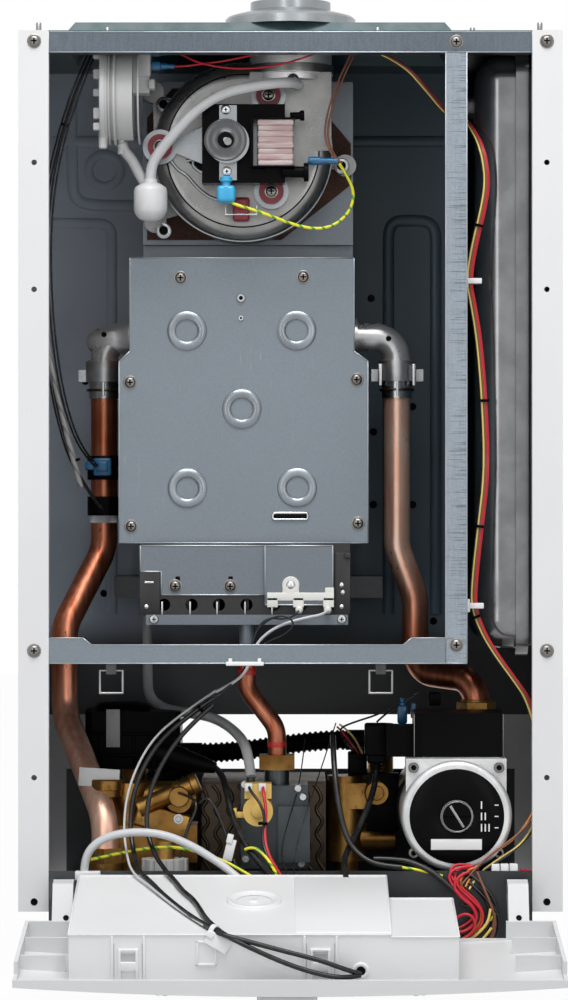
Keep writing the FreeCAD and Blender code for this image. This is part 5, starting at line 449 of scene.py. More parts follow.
for finish_name, node_names in NODE_FINISHES.items():
    for node_name in node_names:
        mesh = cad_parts[node_name].data
        mesh.materials.clear()
        mesh.materials.append(FINISHES[finish_name])


# Ways to make a piece

def show(name, data, finish, body="casing"):
    data.materials.append(FINISHES[finish])
    thing = bpy.data.objects.new(name, data)
    scene.collection.objects.link(thing)
    if body is not None:
        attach(thing, body)
    return thing


def finished(form, name, finish, body="casing", angle=38.0, drawn_open=False):
    """Closes a form and shows it. The control unit's are drawn shut and swung open, unless drawn open."""
    bmesh.ops.remove_doubles(form, verts=form.verts, dist=WELD)
    bmesh.ops.recalc_face_normals(form, faces=form.faces)
    if body == "control_unit" and not drawn_open:
        bmesh.ops.transform(form, matrix=SWING_OPEN, verts=form.verts)
    data = bpy.data.meshes.new(name)
    form.to_mesh(data)
    form.free()
    data.shade_smooth()
    data.set_sharp_from_angle(angle=math.radians(angle))
    return show(name, data, finish, body)


def forms(count):
    return [bmesh.new() for _ in range(count)]


def block(form, x, out, drop, bevel=0.0, tilt=None):
    """A block by its spans in millimetres, with its edges rounded and turned about its middle."""
    low, high = at(x[0], out[1], drop[1]), at(x[1], out[0], drop[0])
    place = Matrix.Translation((low + high) / 2) @ (tilt or Matrix()) @ Matrix.Diagonal((*(high - low), 1))
    made = bmesh.ops.create_cube(form, size=1, matrix=place)
    if bevel:
        edges = dict.fromkeys(edge for vert in made["verts"] for edge in vert.link_edges)
        bmesh.ops.bevel(form, geom=list(edges), offset=bevel * MM, offset_type="OFFSET", segments=3,
                        profile=0.5, affect="EDGES", material=-1)


def turned(form, centre, axis, profile, steps):
    """A turned form: radius and height pairs in millimetres, along axis from centre."""
    place = Matrix.Translation(centre) @ UP.rotation_difference(axis).to_matrix().to_4x4()
    verts = [form.verts.new(place @ (Vector((radius, 0, height)) * MM)) for radius, height in profile]
    edges = [form.edges.new(pair) for pair in zip(verts, verts[1:])]
    bmesh.ops.spin(form, geom=verts + edges, cent=centre, axis=axis, angle=math.tau, steps=steps,
                   use_merge=True)


def facing_front(form, x, out, drop, profile, steps):
    turned(form, at(x, out, drop), FRONT, profile, steps)


def upright(form, x, out, drop, profile, steps):
    turned(form, at(x, out, drop), UP, profile, steps)


def between(form, start, end, profile, steps):
    """A turned form that points from start to end."""
    turned(form, start, (end - start).normalized(), profile, steps)


def rod(form, start, end, radius, edge, steps=20):
    span = (end - start).length / MM
    between(form, start, end,
            [(0, 0), (radius - edge, 0), (radius, edge), (radius, span - edge), (radius - edge, span),
             (0, span)], steps)


def cross_recess(form, x, out, drop, reach, half):
    """A cross that faces front: out is its span in depth, reach and half an arm's length and half width."""
    for across, tall in ((reach, half), (half, reach)):
        block(form, (x - across, x + across), out, (drop - tall, drop + tall))


def ring(form, centre, axis, radius, section, steps):
    """A round ring: its radius, and the radius of its section."""
    sides = 8
    profile = [(radius + section * math.cos(math.tau * i / sides), section * math.sin(math.tau * i / sides))
               for i in range(sides + 1)]
    turned(form, centre, axis, profile, steps)


def strap(form, centre, axis, radius, width, gauge=0.9):
    """A cable tie pulled round a bundle."""
    half = width / 2
    turned(form, centre, axis,
           [(radius, -half), (radius + gauge, -half), (radius + gauge, half), (radius, half),
            (radius, -half)], 20)


def route_curve(name, routes, radius):
    curve = bpy.data.curves.new(name, "CURVE")
    curve.dimensions = "3D"
    curve.bevel_depth = radius * MM
    curve.bevel_resolution = 3
    curve.resolution_u = 8
    curve.use_fill_caps = True
    for route in routes:
        spline = curve.splines.new("NURBS")
        spline.points.add(len(route) - 1)
        for corner, stop in zip(spline.points, route):
            corner.co = (*at(*stop), 1)
        spline.order_u = 3
        spline.use_endpoint_u = True
    return curve


def route_mesh(name, routes, radius):
    line = bpy.data.objects.new(name + "_line", route_curve(name, routes, radius))
    data = bpy.data.meshes.new_from_object(line)
    bpy.data.objects.remove(line)
    data.name = name
    data.shade_smooth()
    return data


def leads(name, finish, radius, routes):
    """Wires or hoses of one colour and thickness, each along the points it passes."""
    return show(name, route_curve(name, routes, radius), finish)


def hinge_leads(name, finish, radius, routes):
    """Wires that go from the casing into the control unit, along fixed routes."""
    thing = show(name, route_mesh(name, routes, radius), finish, None)
    at(0, 296, 656)
    at(0, 332, 672)
    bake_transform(thing)
    return thing


def bead(name, finish, routes, radius, flat, level):
    """A rounded bead pressed into sheet that faces front, at that distance out."""
    data = route_mesh(name, routes, radius)
    base = Matrix.Translation((0, at(0, level, 0).y, 0))
    data.transform(base @ Matrix.Diagonal((1, flat, 1, 1)) @ base.inverted())
    show(name, data, finish)


def on_face(route, out):
    """A route of sideways and downward places, at one distance out."""
    return [(x, out, drop) for x, drop in route]


def moved(route, x=0.0, out=0.0, drop=0.0):
    return [(px + x, po + out, pd + drop) for px, po, pd in route]


def solids_of(node):
    """The lowest and highest corners of each solid in a node."""
    form = bmesh.new()
    form.from_mesh(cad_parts[node].data)
    bmesh.ops.remove_doubles(form, verts=form.verts, dist=WELD)
    left = set(form.verts)
    boxes = []
    while left:
        grown, edge = set(), [left.pop()]
        while edge:
            vert = edge.pop()
            grown.add(vert)
            near = {link.other_vert(vert) for link in vert.link_edges} & left
            left -= near
            edge.extend(near)
        spans = [[vert.co[i] for vert in grown] for i in range(3)]
        boxes.append((Vector([min(span) for span in spans]), Vector([max(span) for span in spans])))
    form.free()
    return sorted(boxes, key=lambda box: tuple(round(value, 5) for value in box[0]))


# Sheet metal

def screw_heads():
    """Pan heads with a cross recess where the solid screws are, and holes low in the side flanges; the crosses
    and holes are near black as painted shade.
    """
    heads, recesses = forms(2)
    head_height = 2.2
    flange_hole_x, flange_hole_drop = 202.4, 688.3
    for low, high in solids_of("screws"):
        seat = Vector(((low.x + high.x) / 2, low.y + head_height * MM, (low.z + high.z) / 2))
        turned(heads, seat, FRONT,
               [(0, -0.4), (1.8, -0.4), (1.8, 0), (5.6, 0), (5.6, 0.4), (5.2, 0.6), (4.5, 0.6), (4.4, 1.2),
                (3.9, 2.0), (3.0, 2.5), (1.6, 2.8), (0, 2.9)], 28)
        x, out, drop = seat.x / MM, -seat.y / MM, HANGER_DROP - seat.z / MM
        # painted shade: a near-black cross in each head
        cross_recess(recesses, x, (out + 1.8, out + 2.96), drop, 2.4, 0.6)
    front = -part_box("left_side_panel")[0].y / MM
    # painted shade: near-black dished discs for the flange holes
    for x in (-flange_hole_x, flange_hole_x):
        facing_front(recesses, x, front, flange_hole_drop,
                     [(0, -1.2), (1.9, -1.2), (2.1, 0.2), (2.7, 0.3), (2.9, 0.0)], 24)
    heads = finished(heads, "screw_heads", "screw_zinc")
    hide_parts("screws")
    finished(recesses, "screw_recesses", "recess")


def back_beads():
    """Stiffening beads and the round boss pressed into the back sheet, and its rivets."""
    face = 2.4
    arch = [(85, 470), (85, 160), (85, 130), (104, 128), (126, 130), (126, 160), (126, 470)]
    field = [(-206, 131), (-176, 131), (-156, 132), (-155, 150), (-155, 470)]
    upper = [(-190, 24), (-190, 96), (-186, 112), (-168, 116), (-120, 116)]
    shelf = [(-206, 60), (-60, 60), (60, 60), (140, 60)]
    routes = [on_face(route, face) for route in (arch, field, upper, shelf)]
    bead("back_beads", "grey_enamel", routes, 5.0, 0.4, face)
    boss = bmesh.new()
    facing_front(boss, -161.5, face, 85,
                 [(9.5, -0.4), (10.2, 0.9), (11.6, 1.7), (15.2, 1.7), (17.2, 0.9), (18.6, -0.4)], 48)
    finished(boss, "back_boss", "grey_enamel", angle=80)
    dots = bmesh.new()
    for x, drop in ((-66, 35), (70, 196), (94, 318), (-178, 268), (92, 395), (150, 96), (72, 312), (72, 375),
                    (106, 290), (106, 375), (124, 476), (-164, 420), (-162, 452), (-70, 463), (20, 463)):
        facing_front(dots, x, face, drop, [(0, -0.5), (3.0, -0.5), (3.2, 0.4), (2.6, 1.3), (0, 1.5)], 16)
    finished(dots, "back_rivets", "black_iron")


def plate_details():
    """Pressed rings, clinch nut, pilot hole and slot rim of the chamber's front plate; the holes and the slot
    are near black as painted shade, and the paler rings and bright slot rim are painted highlights.
    """
    nut, hole, rings = forms(3)
    face = -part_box("combustion_front_plate")[0].y / MM
    nut_x, nut_drop, pilot_drop = -40.3, 206.7, 223
    facing_front(nut, nut_x, face, nut_drop, [(1.6, 0.9), (1.7, 1.3), (3.0, 1.3), (3.4, 0.8), (3.5, -0.3)], 24)
    facing_front(nut, nut_x, face, pilot_drop, [(1.0, 0.4), (1.9, 0.4), (2.1, -0.3)], 20)
    # painted shade: near-black discs for the nut's hole and the pilot hole, and a bar for the slot
    facing_front(hole, nut_x, face, nut_drop, [(0, 0.5), (1.7, 0.5), (1.7, -0.3)], 20)
    facing_front(hole, nut_x, face, pilot_drop, [(0, 0.2), (1.1, 0.2), (1.1, -0.3)], 20)
    # painted highlight: the rings are in a paler zinc than the plate
    for x, drop in ((-84.5, 233.3), (4.9, 233.0), (-39.6, 296.9), (-84.0, 361.5), (5.7, 361.0)):
        facing_front(rings, x, face, drop,
                     [(9.0, -0.1), (9.5, 0.3), (10.6, 0.75), (12.2, 0.95), (13.8, 0.75), (15.0, 0.3),
                      (15.7, -0.1)], 56)
    # painted highlight: the slot's rim is a bead in bright steel, paler than the plate
    slot = on_face([(-11.5, 381.6), (-14.4, 381.6), (-14.4, 386.8), (-11.5, 386.8), (11, 386.8), (14, 386.8),
                    (14, 381.6), (11, 381.6), (-11.5, 381.6)], face)
    bead("plate_slot_rim", "bright_steel", [slot], 0.9, 0.7, face)
    block(hole, (-13, 12.6), (face - 0.4, face + 0.2), (382, 386.4), 0.3)
    finished(nut, "plate_clinch_nut", "bright_steel")
    finished(hole, "plate_clinch_hole", "recess")
    finished(rings, "plate_pressed_rings", "pressed_zinc", angle=80)


def rolled_edges(name, nodes, finish, radius, facing=FRONT, body="casing"):
    """The bright rolled edge of sheet pieces, along the long outlines of what faces one way; on the plates and
    rails the brightness is a painted highlight in a finish paler than the sheet.
    """
    shortest, turned_away, turned_to = 8 * MM, 0.3, 0.98
    form = bmesh.new()
    for node in nodes:
        sheet = bmesh.new()
        sheet.from_mesh(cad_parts[node].data)
        bmesh.ops.remove_doubles(sheet, verts=sheet.verts, dist=WELD)
        sheet.normal_update()
        for edge in sheet.edges:
            turn = sorted(face.normal.dot(facing) for face in edge.link_faces)
            outline = len(turn) == 2 and turn[0] < turned_away and turn[1] > turned_to
            if outline and edge.calc_length() > shortest:
                rod(form, edge.verts[0].co.copy(), edge.verts[1].co.copy(), radius, 0.1, 8)
        sheet.free()
    finished(form, name, finish, body, angle=60, drawn_open=True)


# Fan

def coil():
    """The taped winding on its bobbin, with the plug at its lower corner."""
    low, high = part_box("motor_coil")
    x = (low.x / MM, high.x / MM)
    out = (-high.y / MM, -low.y / MM)
    drop = (HANGER_DROP - high.z / MM, HANGER_DROP - low.z / MM)
    plug_out = out[1] - 6
    wound = bmesh.new()
    turns = 8
    pitch = (drop[1] - drop[0]) / turns
    for i in range(turns):
        top = drop[0] + i * pitch
        inset = (0.0, 0.6, 0.2, 0.5)[i % 4]
        block(wound, (x[0] + inset, x[1] - inset), (out[0] + 0.3, out[1] - inset),
              (top, top + pitch + 0.5), 1.5)
    winding = finished(wound, "coil_winding", "wound_tape", angle=60)
    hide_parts("motor_coil")
    bobbin = bmesh.new()
    for edge in (drop[0] - 1.4, drop[1] + 0.2):
        block(bobbin, (x[0] - 4.5, x[1] + 1.0), (out[0] + 0.3, out[1] + 1.0), (edge, edge + 1.2), 0.4)
    block(bobbin, (x[0] - 5.5, x[0] - 3.5), (out[0] + 0.3, out[1] + 1.0), (drop[0] - 1.4, drop[1] + 1.4), 0.4)
    rod(bobbin, at(x[1] - 10, plug_out, drop[1] + 4.5), at(x[1] + 10, plug_out, drop[1] + 5), 4.6, 0.8)
    rod(bobbin, at(x[1] + 8, plug_out, drop[1] + 5), at(x[1] + 12, plug_out, drop[1] + 5), 7.6, 0.6)
    rod(bobbin, at(x[1] - 3, plug_out, drop[0] - 3), at(x[1] + 8, plug_out, drop[0] - 3.4), 3.0, 0.5)
    rod(bobbin, at(x[1] + 5, plug_out, drop[0] - 3.3), at(x[1] + 8.5, plug_out, drop[0] - 3.4), 4.2, 0.5)
    finished(bobbin, "coil_bobbin", "black_plastic")


def fan_details():
    """Bearing, screws, lugs and rubber of the fan motor, and the scroll's cast webs and rims; the screws'
    crosses, the web openings and a groove ring are near black as painted shade.
    """
    steel, dark, alloy, rubber, webs, hubs = forms(6)
    hub = -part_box("motor_frame")[0].y / MM
    stator = -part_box("motor_stator")[0].y / MM
    scroll = 228
    hub_x, hub_drop = -51.8, 83.4
    scroll_x, scroll_drop = -38.6, 88.6
    facing_front(hubs, hub_x, hub, hub_drop,
                 [(17.2, -1.6), (17.0, 0.4), (15.8, 1.1), (14.2, 0.6), (7.4, 0.6), (6.8, 1.0), (6.2, 0.4)], 56)
    facing_front(dark, hub_x, hub, hub_drop, [(0, 0.5), (6.4, 0.5), (6.4, -0.4)], 28)
    facing_front(steel, hub_x, hub, hub_drop, [(0, 2.0), (1.8, 1.9), (2.4, 1.3), (2.6, 0.3)], 20)
    for x, drop in ((-51.8, 58.5), (-51.0, 108.0)):
        facing_front(steel, x, stator + 2.4, drop,
                     [(4.1, -0.6), (4.0, 0.6), (3.4, 1.4), (1.9, 1.9), (0, 2.0)], 24)
        cross_recess(dark, x, (stator + 3.6, stator + 4.5), drop, 1.7, 0.4)
    for x, drop in ((-66, 62), (-45, 60), (-22, 58), (-66, 106), (-44, 107), (-22, 108), (-8, 58), (-8, 108)):
        block(dark, (x - 1.6, x + 1.6), (stator - 0.2, stator + 0.35), (drop - 0.9, drop + 0.9), 0.15)
    neck_x, neck_out, neck_drop = 2, 236, 31.5
    facing_front(alloy, neck_x, 222, 51, [(0, 3.4), (4.0, 3.2), (5.2, 2.2), (5.2, -8)], 28)
    facing_front(steel, neck_x, neck_out, neck_drop,
                 [(4.8, -2), (4.8, 0.5), (4.0, 1.6), (2.0, 2.3), (0, 2.4)], 28)
    cross_recess(dark, neck_x, (neck_out + 1.6, neck_out + 2.45), neck_drop, 2.1, 0.5)
    for x, drop in ((-103.6, 48), (-103.6, 151), (41.6, 98)):
        facing_front(alloy, x, 196, drop, [(6.4, -3), (6.4, 1.2), (5.2, 1.8), (0, 1.8)], 28)
        facing_front(dark, x, 197.6, drop, [(0, 2.2), (2.2, 2.0), (3.6, 1.2), (3.8, 0)], 20)
    block(rubber, (-46.5, -33.0), (214, 240), (127, 146), 2.2)
    block(rubber, (-44.5, -35.0), (238, 241.5), (129, 137), 1.0)
    block(steel, (-52.5, -51.6), (231, 240.6), (134, 142), 0.2)
    block(steel, (-27.6, -26.7), (231, 240.6), (134, 142), 0.2)
    block(steel, (-52.5, -26.7), (239.8, 240.8), (140.6, 141.6), 0.2)
    # painted shade: dark faces for the openings between the scroll's webs
    openings = ([(-84, 82), (-76, 71), (-67, 70), (-67, 83)], [(-84, 97), (-70, 92), (-65, 93), (-68, 110)])
    for outline in openings:
        face = webs.faces.new([webs.verts.new(at(x, scroll + 0.2, drop)) for x, drop in outline])
        bmesh.ops.bevel(webs, geom=list(face.verts), offset=3 * MM, offset_type="OFFSET", segments=4,
                        profile=0.5, affect="VERTICES", material=-1)
    ridges = [[*outline, *outline[:2]] for outline in openings]
    ridges.append([(-97, 96), (-92, 104), (-84, 108), (-76, 118), (-66, 126), (-56, 129), (-44, 129)])
    ridges.append([(-98, 76), (-92, 68), (-84, 60), (-72, 52), (-56, 47)])
    ridges = [on_face(route, scroll) for route in ridges]
    bead("scroll_ridges", "collar_alloy", ridges, 1.5, 0.9, scroll)
    ring(alloy, at(scroll_x, 213, scroll_drop), FRONT, 71.9, 1.3, 96)
    # painted shade: a dark ring for the groove inside the rim
    ring(dark, at(scroll_x, 226.9, scroll_drop), FRONT, 61.6, 0.9, 96)
    finished(steel, "fan_screws", "bright_steel")
    finished(hubs, "fan_hub", "hub_alloy")
    finished(dark, "fan_dark_marks", "recess")
    finished(alloy, "fan_bosses", "collar_alloy")
    finished(rubber, "fan_rubber_block", "red_rubber")
    finished(webs, "fan_web_openings", "recess")


def outlet_sleeve():
    """The bright turned sleeve of the fan's outlet, under the casing's top; its near-white finish is painted
    light where the top rail shades it.
    """
    sleeve = bmesh.new()
    low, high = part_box("flue_spigot")
    out, radius = -(low.y + high.y) / 2 / MM, 33.6
    turned(sleeve, at((low.x + high.x) / 2 / MM, out, 27), UP,
           [(radius - 1, -4), (radius, -3.4), (radius, 1), (radius + 0.8, 1.6), (radius + 0.8, 3),
            (radius, 3.6), (radius, 21), (radius - 1, 21.6)], 64)
    finished(sleeve, "outlet_sleeve", "sleeve_alloy")


def crimp(form, start, end, radius):
    """A crimped terminal sleeve: flared mouth, barrel and bell."""
    span = (end - start).length / MM
    between(form, start, end,
            [(0, 0), (radius * 0.8, 0), (radius, span * 0.08), (radius, span * 0.42),
             (radius * 0.72, span * 0.52), (radius * 0.72, span * 0.9), (radius * 0.85, span), (0, span)], 20)


def terminals():
    """Blue crimp sleeves on the pressure switch, the coil, the motor's earth tag and the pump."""
    blue, light = forms(2)
    for drop in (11.5, 22.7):
        block(blue, (-115, -104), (246, 254), (drop - 3.4, drop + 3.4), 1.4)
        crimp(blue, at(-105, 250, drop), at(-93, 250.5, drop + 0.3), 2.8)
    crimp(blue, at(14, 250, 98.6), at(38, 250, 99), 3.4)
    block(blue, (87, 95), (200, 210), (538, 553), 1.6)
    crimp(blue, at(91, 205, 539), at(91.5, 205, 532), 2.8)
    block(blue, (98, 102.5), (196, 204), (536, 549), 1.2)
    crimp(light, at(-51.5, 258, 112), at(-51.5, 258, 121), 5.0)
    block(light, (-59, -44), (254, 262), (119, 133), 3.2)
    finished(blue, "blue_terminals", "blue_plastic")
    finished(light, "earth_terminal", "light_blue_plastic")


def switch_details():
    """Flanges, ribs, terminal block and nozzle of the air pressure switch."""
    shell = bmesh.new()
    for x, wide, radius in ((-152, 4.4, 41.4), (-145.6, 1.6, 40.6), (-141.6, 2.2, 40.9), (-122, 1.4, 40.5)):
        turned(shell, at(x, 245, 45), RIGHT,
               [(30, 0), (radius - 0.6, 0), (radius, 0.6), (radius, wide - 0.6), (radius - 0.6, wide),
                (38, wide)], 64)
    for drop, tall in ((14, 5), (27, 8), (43, 6), (58, 9), (70, 6)):
        block(shell, (-157.5, -150), (262, 270), (drop, drop + tall), 1.2)
    block(shell, (-122, -112), (240, 262), (6, 32), 1.6)
    block(shell, (-114, -108.5), (242, 260), (34, 42), 1.2)
    rod(shell, at(-150, 262, 70), at(-150, 262, 90), 3.4, 0.8)
    finished(shell, "switch_shell", "ivory_plastic")


def burner_details():
    """Ribs, side plates, slots, screws and ceramic guard on the burner's front, and the gas inlet's stub; the
    slots and the screws' crosses are near black as painted shade.
    """
    steel, dark, pale, sides = forms(4)
    tray = -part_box("burner_tray")[0].y / MM
    cover = -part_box("burner_cover")[0].y / MM
    strip = -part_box("gas_manifold")[0].y / MM
    panel = cover - 4.8
    screw_drop, guard_x, guard_drop = 467.5, 0.2, 440
    for x in (-104.2, -81.5, -59.6, -36.9, -15.0, 7.7, 30.4):
        block(steel, (x - 0.7, x + 0.7), (tray - 1, tray + 1.6), (453.5, 464), 0.3)
    # painted shade: the screws' crosses and the slots are near black
    for x in (-110.5, 41.5):
        facing_front(steel, x, strip, screw_drop, [(3.9, -0.8), (3.8, 0.8), (3.0, 1.6), (0, 1.9)], 24)
        cross_recess(dark, x, (strip + 1.2, strip + 2.05), screw_drop, 1.8, 0.4)
    for x in (-91.5, -48.6):
        block(dark, (x - 2.3, x + 2.3), (panel - 1, panel + 0.2), (432.5, 441), 1.0)
    block(sides, (-122.6, -106.0), (panel - 1, panel + 0.4), (429, 464), 0.3)
    block(sides, (34.6, 48.6), (panel - 2, panel - 0.6), (414, 464), 0.3)
    block(sides, (44.0, 48.8), (panel - 1, panel + 4.0), (414, 418), 0.3)
    block(steel, (-118.5, -111), (panel + 0.3, panel + 1.2), (437, 438.6), 0.3)
    for x, drop in ((-117, 457.5), (41.5, 440), (42.5, 446), (41.5, 457.5)):
        facing_front(steel, x, panel, drop, [(1.9, -1.2), (1.8, 0.6), (1.0, 1.0), (0, 1.0)], 16)
    block(pale, (-19, 35.2), (cover - 0.5, cover + 1.6), (446, 452.6), 0.5)
    for x in (-19, 2.0, 26.4):
        block(pale, (x, x + 8.8), (cover - 0.5, cover + 1.6), (450, 458), 0.5)
    facing_front(pale, guard_x, cover, guard_drop, [(3.6, 1.6), (6.6, 1.6), (7.2, 0.8), (7.2, -0.6)], 28)
    block(pale, (-6.5, 6.9), (cover - 0.5, cover + 1.4), (441, 448), 0.5)
    block(pale, (28, 35.2), (cover - 0.5, cover + 1.4), (442, 448), 0.5)
    facing_front(steel, guard_x, cover, guard_drop, [(0, 1.9), (2.4, 1.8), (3.7, 1.0), (3.7, -0.4)], 24)
    rod(steel, at(-35.5, 214, 474), at(-35.5, 214, 500), 6.4, 0.4, 28)
    finished(steel, "burner_ribs", "bright_steel")
    finished(dark, "burner_slots", "recess")
    finished(sides, "burner_side_plates", "zinc_dark")
    finished(pale, "burner_guard", "ceramic")


def top_studs():
    """Threaded studs that stand on the casing's top."""
    studs = bmesh.new()
    for x, out in ((-147, 250), (70, 250), (146, 250), (-200, 282), (198, 282)):
        upright(studs, x, out, 0, [(3.6, -1), (3.6, 1.2), (2.2, 1.4), (2.2, 7.4), (1.6, 8.2), (0, 8.2)], 20)
    finished(studs, "top_studs", "wire_steel")


# Leads

LOOM_WIRE = 0.82
LEFT_PIPE = (-156.5, 110)
RIGHT_PIPE = (88.8, 130)
RIGHT_LOOM = [
    (66, 252, 10), (90, 254, 20), (110, 250, 42), (124, 242, 58), (134, 238, 65), (142.5, 240, 66),
    (144.6, 254, 72), (150, 270, 84), (154, 279, 98), (156.5, 279, 118), (153, 279, 140), (146, 279, 168),
    (141.4, 279, 196), (145, 279, 214), (150, 279, 244), (154, 279, 292), (156, 279, 348), (151, 279, 390),
    (146, 278, 436), (145.6, 277, 456), (153, 276, 476), (164, 275, 494), (178, 273, 513), (190, 271, 530),
    (198, 269, 560), (199, 268, 606),
]
SENSOR_LOOM = [
    (-156, 252, 8), (-162, 258, 24), (-172, 260, 50), (-184, 252, 86), (-193, 240, 130), (-196, 222, 180),
    (-194, 198, 240), (-186, 170, 296), (-172, 148, 334), (-158, 136.2, 346),
]
THERMISTOR_LOOM = [
    (-161, 242, 8), (-168, 248, 24), (-179, 250, 52), (-191, 240, 90), (-201, 226, 134), (-204, 206, 184),
    (-202, 182, 244), (-195, 158, 300), (-180, 144, 350), (-158, 136.2, 378),
]
SWITCH_LEADS = [
    [(-94, 250.5, 11.8), (-88, 254, 13), (-75, 258, 21), (-49, 264, 26.5), (-27, 266, 26.5), (-4, 264, 22.5),
     (26, 260, 12), (50, 254, 3)],
    [(-94, 250.5, 23), (-86, 254, 23.4), (-75, 257, 22.4), (-52, 262, 20), (-27, 262, 14.5), (-8, 259, 9.7),
     (22, 254, 1)],
]
COIL_LEAD = [(49, 248, 12), (38, 250, 34), (29, 252, 62), (27, 253, 80), (33, 252, 95), (39, 250, 100)]
EARTH_LEAD = [
    (-52, 258, 131), (-46, 258, 134), (-24, 254, 140), (8, 246, 152), (30, 242, 153), (46, 240, 142),
    (52, 240, 126), (46, 245, 110), (39, 250, 101),
]
IGNITION_LEADS = [
    [(-62, 258, 530), (-84, 264, 545), (-108, 268, 567), (-124, 274, 598), (-128, 282, 628), (-124, 296, 650),
     (-119, 318, 662.5), (-108, 345, 668.5), (-97, 376, 675.5), (-79, 418, 684.5), (-62, 449, 691),
     (-54, 463, 694.5), (-40, 467, 698), (-6, 467.5, 707), (22, 468, 714), (44, 468, 722), (52.5, 462, 725)],
    [(-62, 264, 535), (-82, 270, 552), (-100, 275, 576), (-112, 281, 602), (-115, 288, 630), (-108, 300, 650),
     (-98, 318, 662), (-90, 340, 667.5), (-83, 366, 673), (-73, 388, 678), (-64, 432, 687), (-56, 452, 691.5),
     (-50, 464, 695), (-36, 468, 702), (-5, 469, 716), (20, 470, 724), (41, 470, 727.5), (52, 462.5, 726)],
]
PALE_IGNITION_LEAD = [
    (-60, 252, 524), (-86, 260, 541), (-112, 265, 563), (-129, 272, 598), (-133, 281, 630), (-129, 298, 654),
    (-124, 320, 663.5), (-112, 346, 669), (-100, 374, 675.5), (-82, 414, 684), (-65, 446, 690.5),
]
LOOMS = {
    "red": [
        moved(RIGHT_LOOM, x=1.0, out=1.2),
        moved(RIGHT_LOOM, x=2.0, out=0.2, drop=0.8),
        *SWITCH_LEADS,
        [(56, 166, 580), (50, 186, 571), (44, 196, 562), (38, 199, 556)],
    ],
    "orange": [
        moved(RIGHT_LOOM, x=-1.2, out=0.2, drop=0.4),
        [(199, 270, 606), (193, 281, 620), (178, 287, 640), (158, 291, 652), (144, 296, 664),
         (138, 304, 676)],
    ],
    "yellow": [
        moved(RIGHT_LOOM, x=-1.7, out=1.1),
        [(59, 166, 580), (55, 184, 570), (48, 196, 560), (40, 200, 554)],
        [(198, 266, 606), (196, 277, 624), (184, 285, 644), (164, 289, 656), (148, 294, 667),
         (141, 303, 678)],
    ],
    "brown": [
        COIL_LEAD,
        moved(COIL_LEAD, x=2.4, out=-1.4, drop=0.8),
        moved(RIGHT_LOOM, x=-0.2, out=1.9),
        [(201, 267, 606), (198, 279, 618), (181, 288, 636), (160, 293, 650), (146, 297, 662),
         (135, 305, 674)],
    ],
    "black": [
        moved(RIGHT_LOOM, x=-0.2, out=-0.2),
        moved(RIGHT_LOOM, x=-2.6, out=0.6),
        moved(SENSOR_LOOM, x=1.5),
        moved(SENSOR_LOOM, x=-1.2, out=-1.2),
        THERMISTOR_LOOM,
        moved(THERMISTOR_LOOM, x=2.4, out=1.0, drop=1.0),
        [(7, 230, 460), (4, 242, 464), (-6, 246, 467), (-18, 248, 465), (-27, 250, 474), (-32, 252, 492),
         (-36, 252, 508), (-50, 254, 521), (-62, 258, 530)],
        [(-32, 251, 496), (-20, 254, 485), (-4, 256, 479), (4, 256, 470), (-4, 255, 463), (-17, 252, 466),
         (-28, 250, 476), (-33, 252, 496), (-40, 254, 514), (-60, 252, 526)],
        [(53, 166, 580), (47, 186, 572), (42, 196, 564), (40, 200, 557), (52, 202, 552), (74, 204, 545),
         (92, 205, 534), (104, 205, 527)],
        [(70, 218, 551), (78, 212, 544), (90, 206, 537), (100, 203, 530)],
        [(203, 266, 606), (200, 276, 622), (187, 283, 642), (168, 290, 655), (150, 296, 666)],
    ],
}
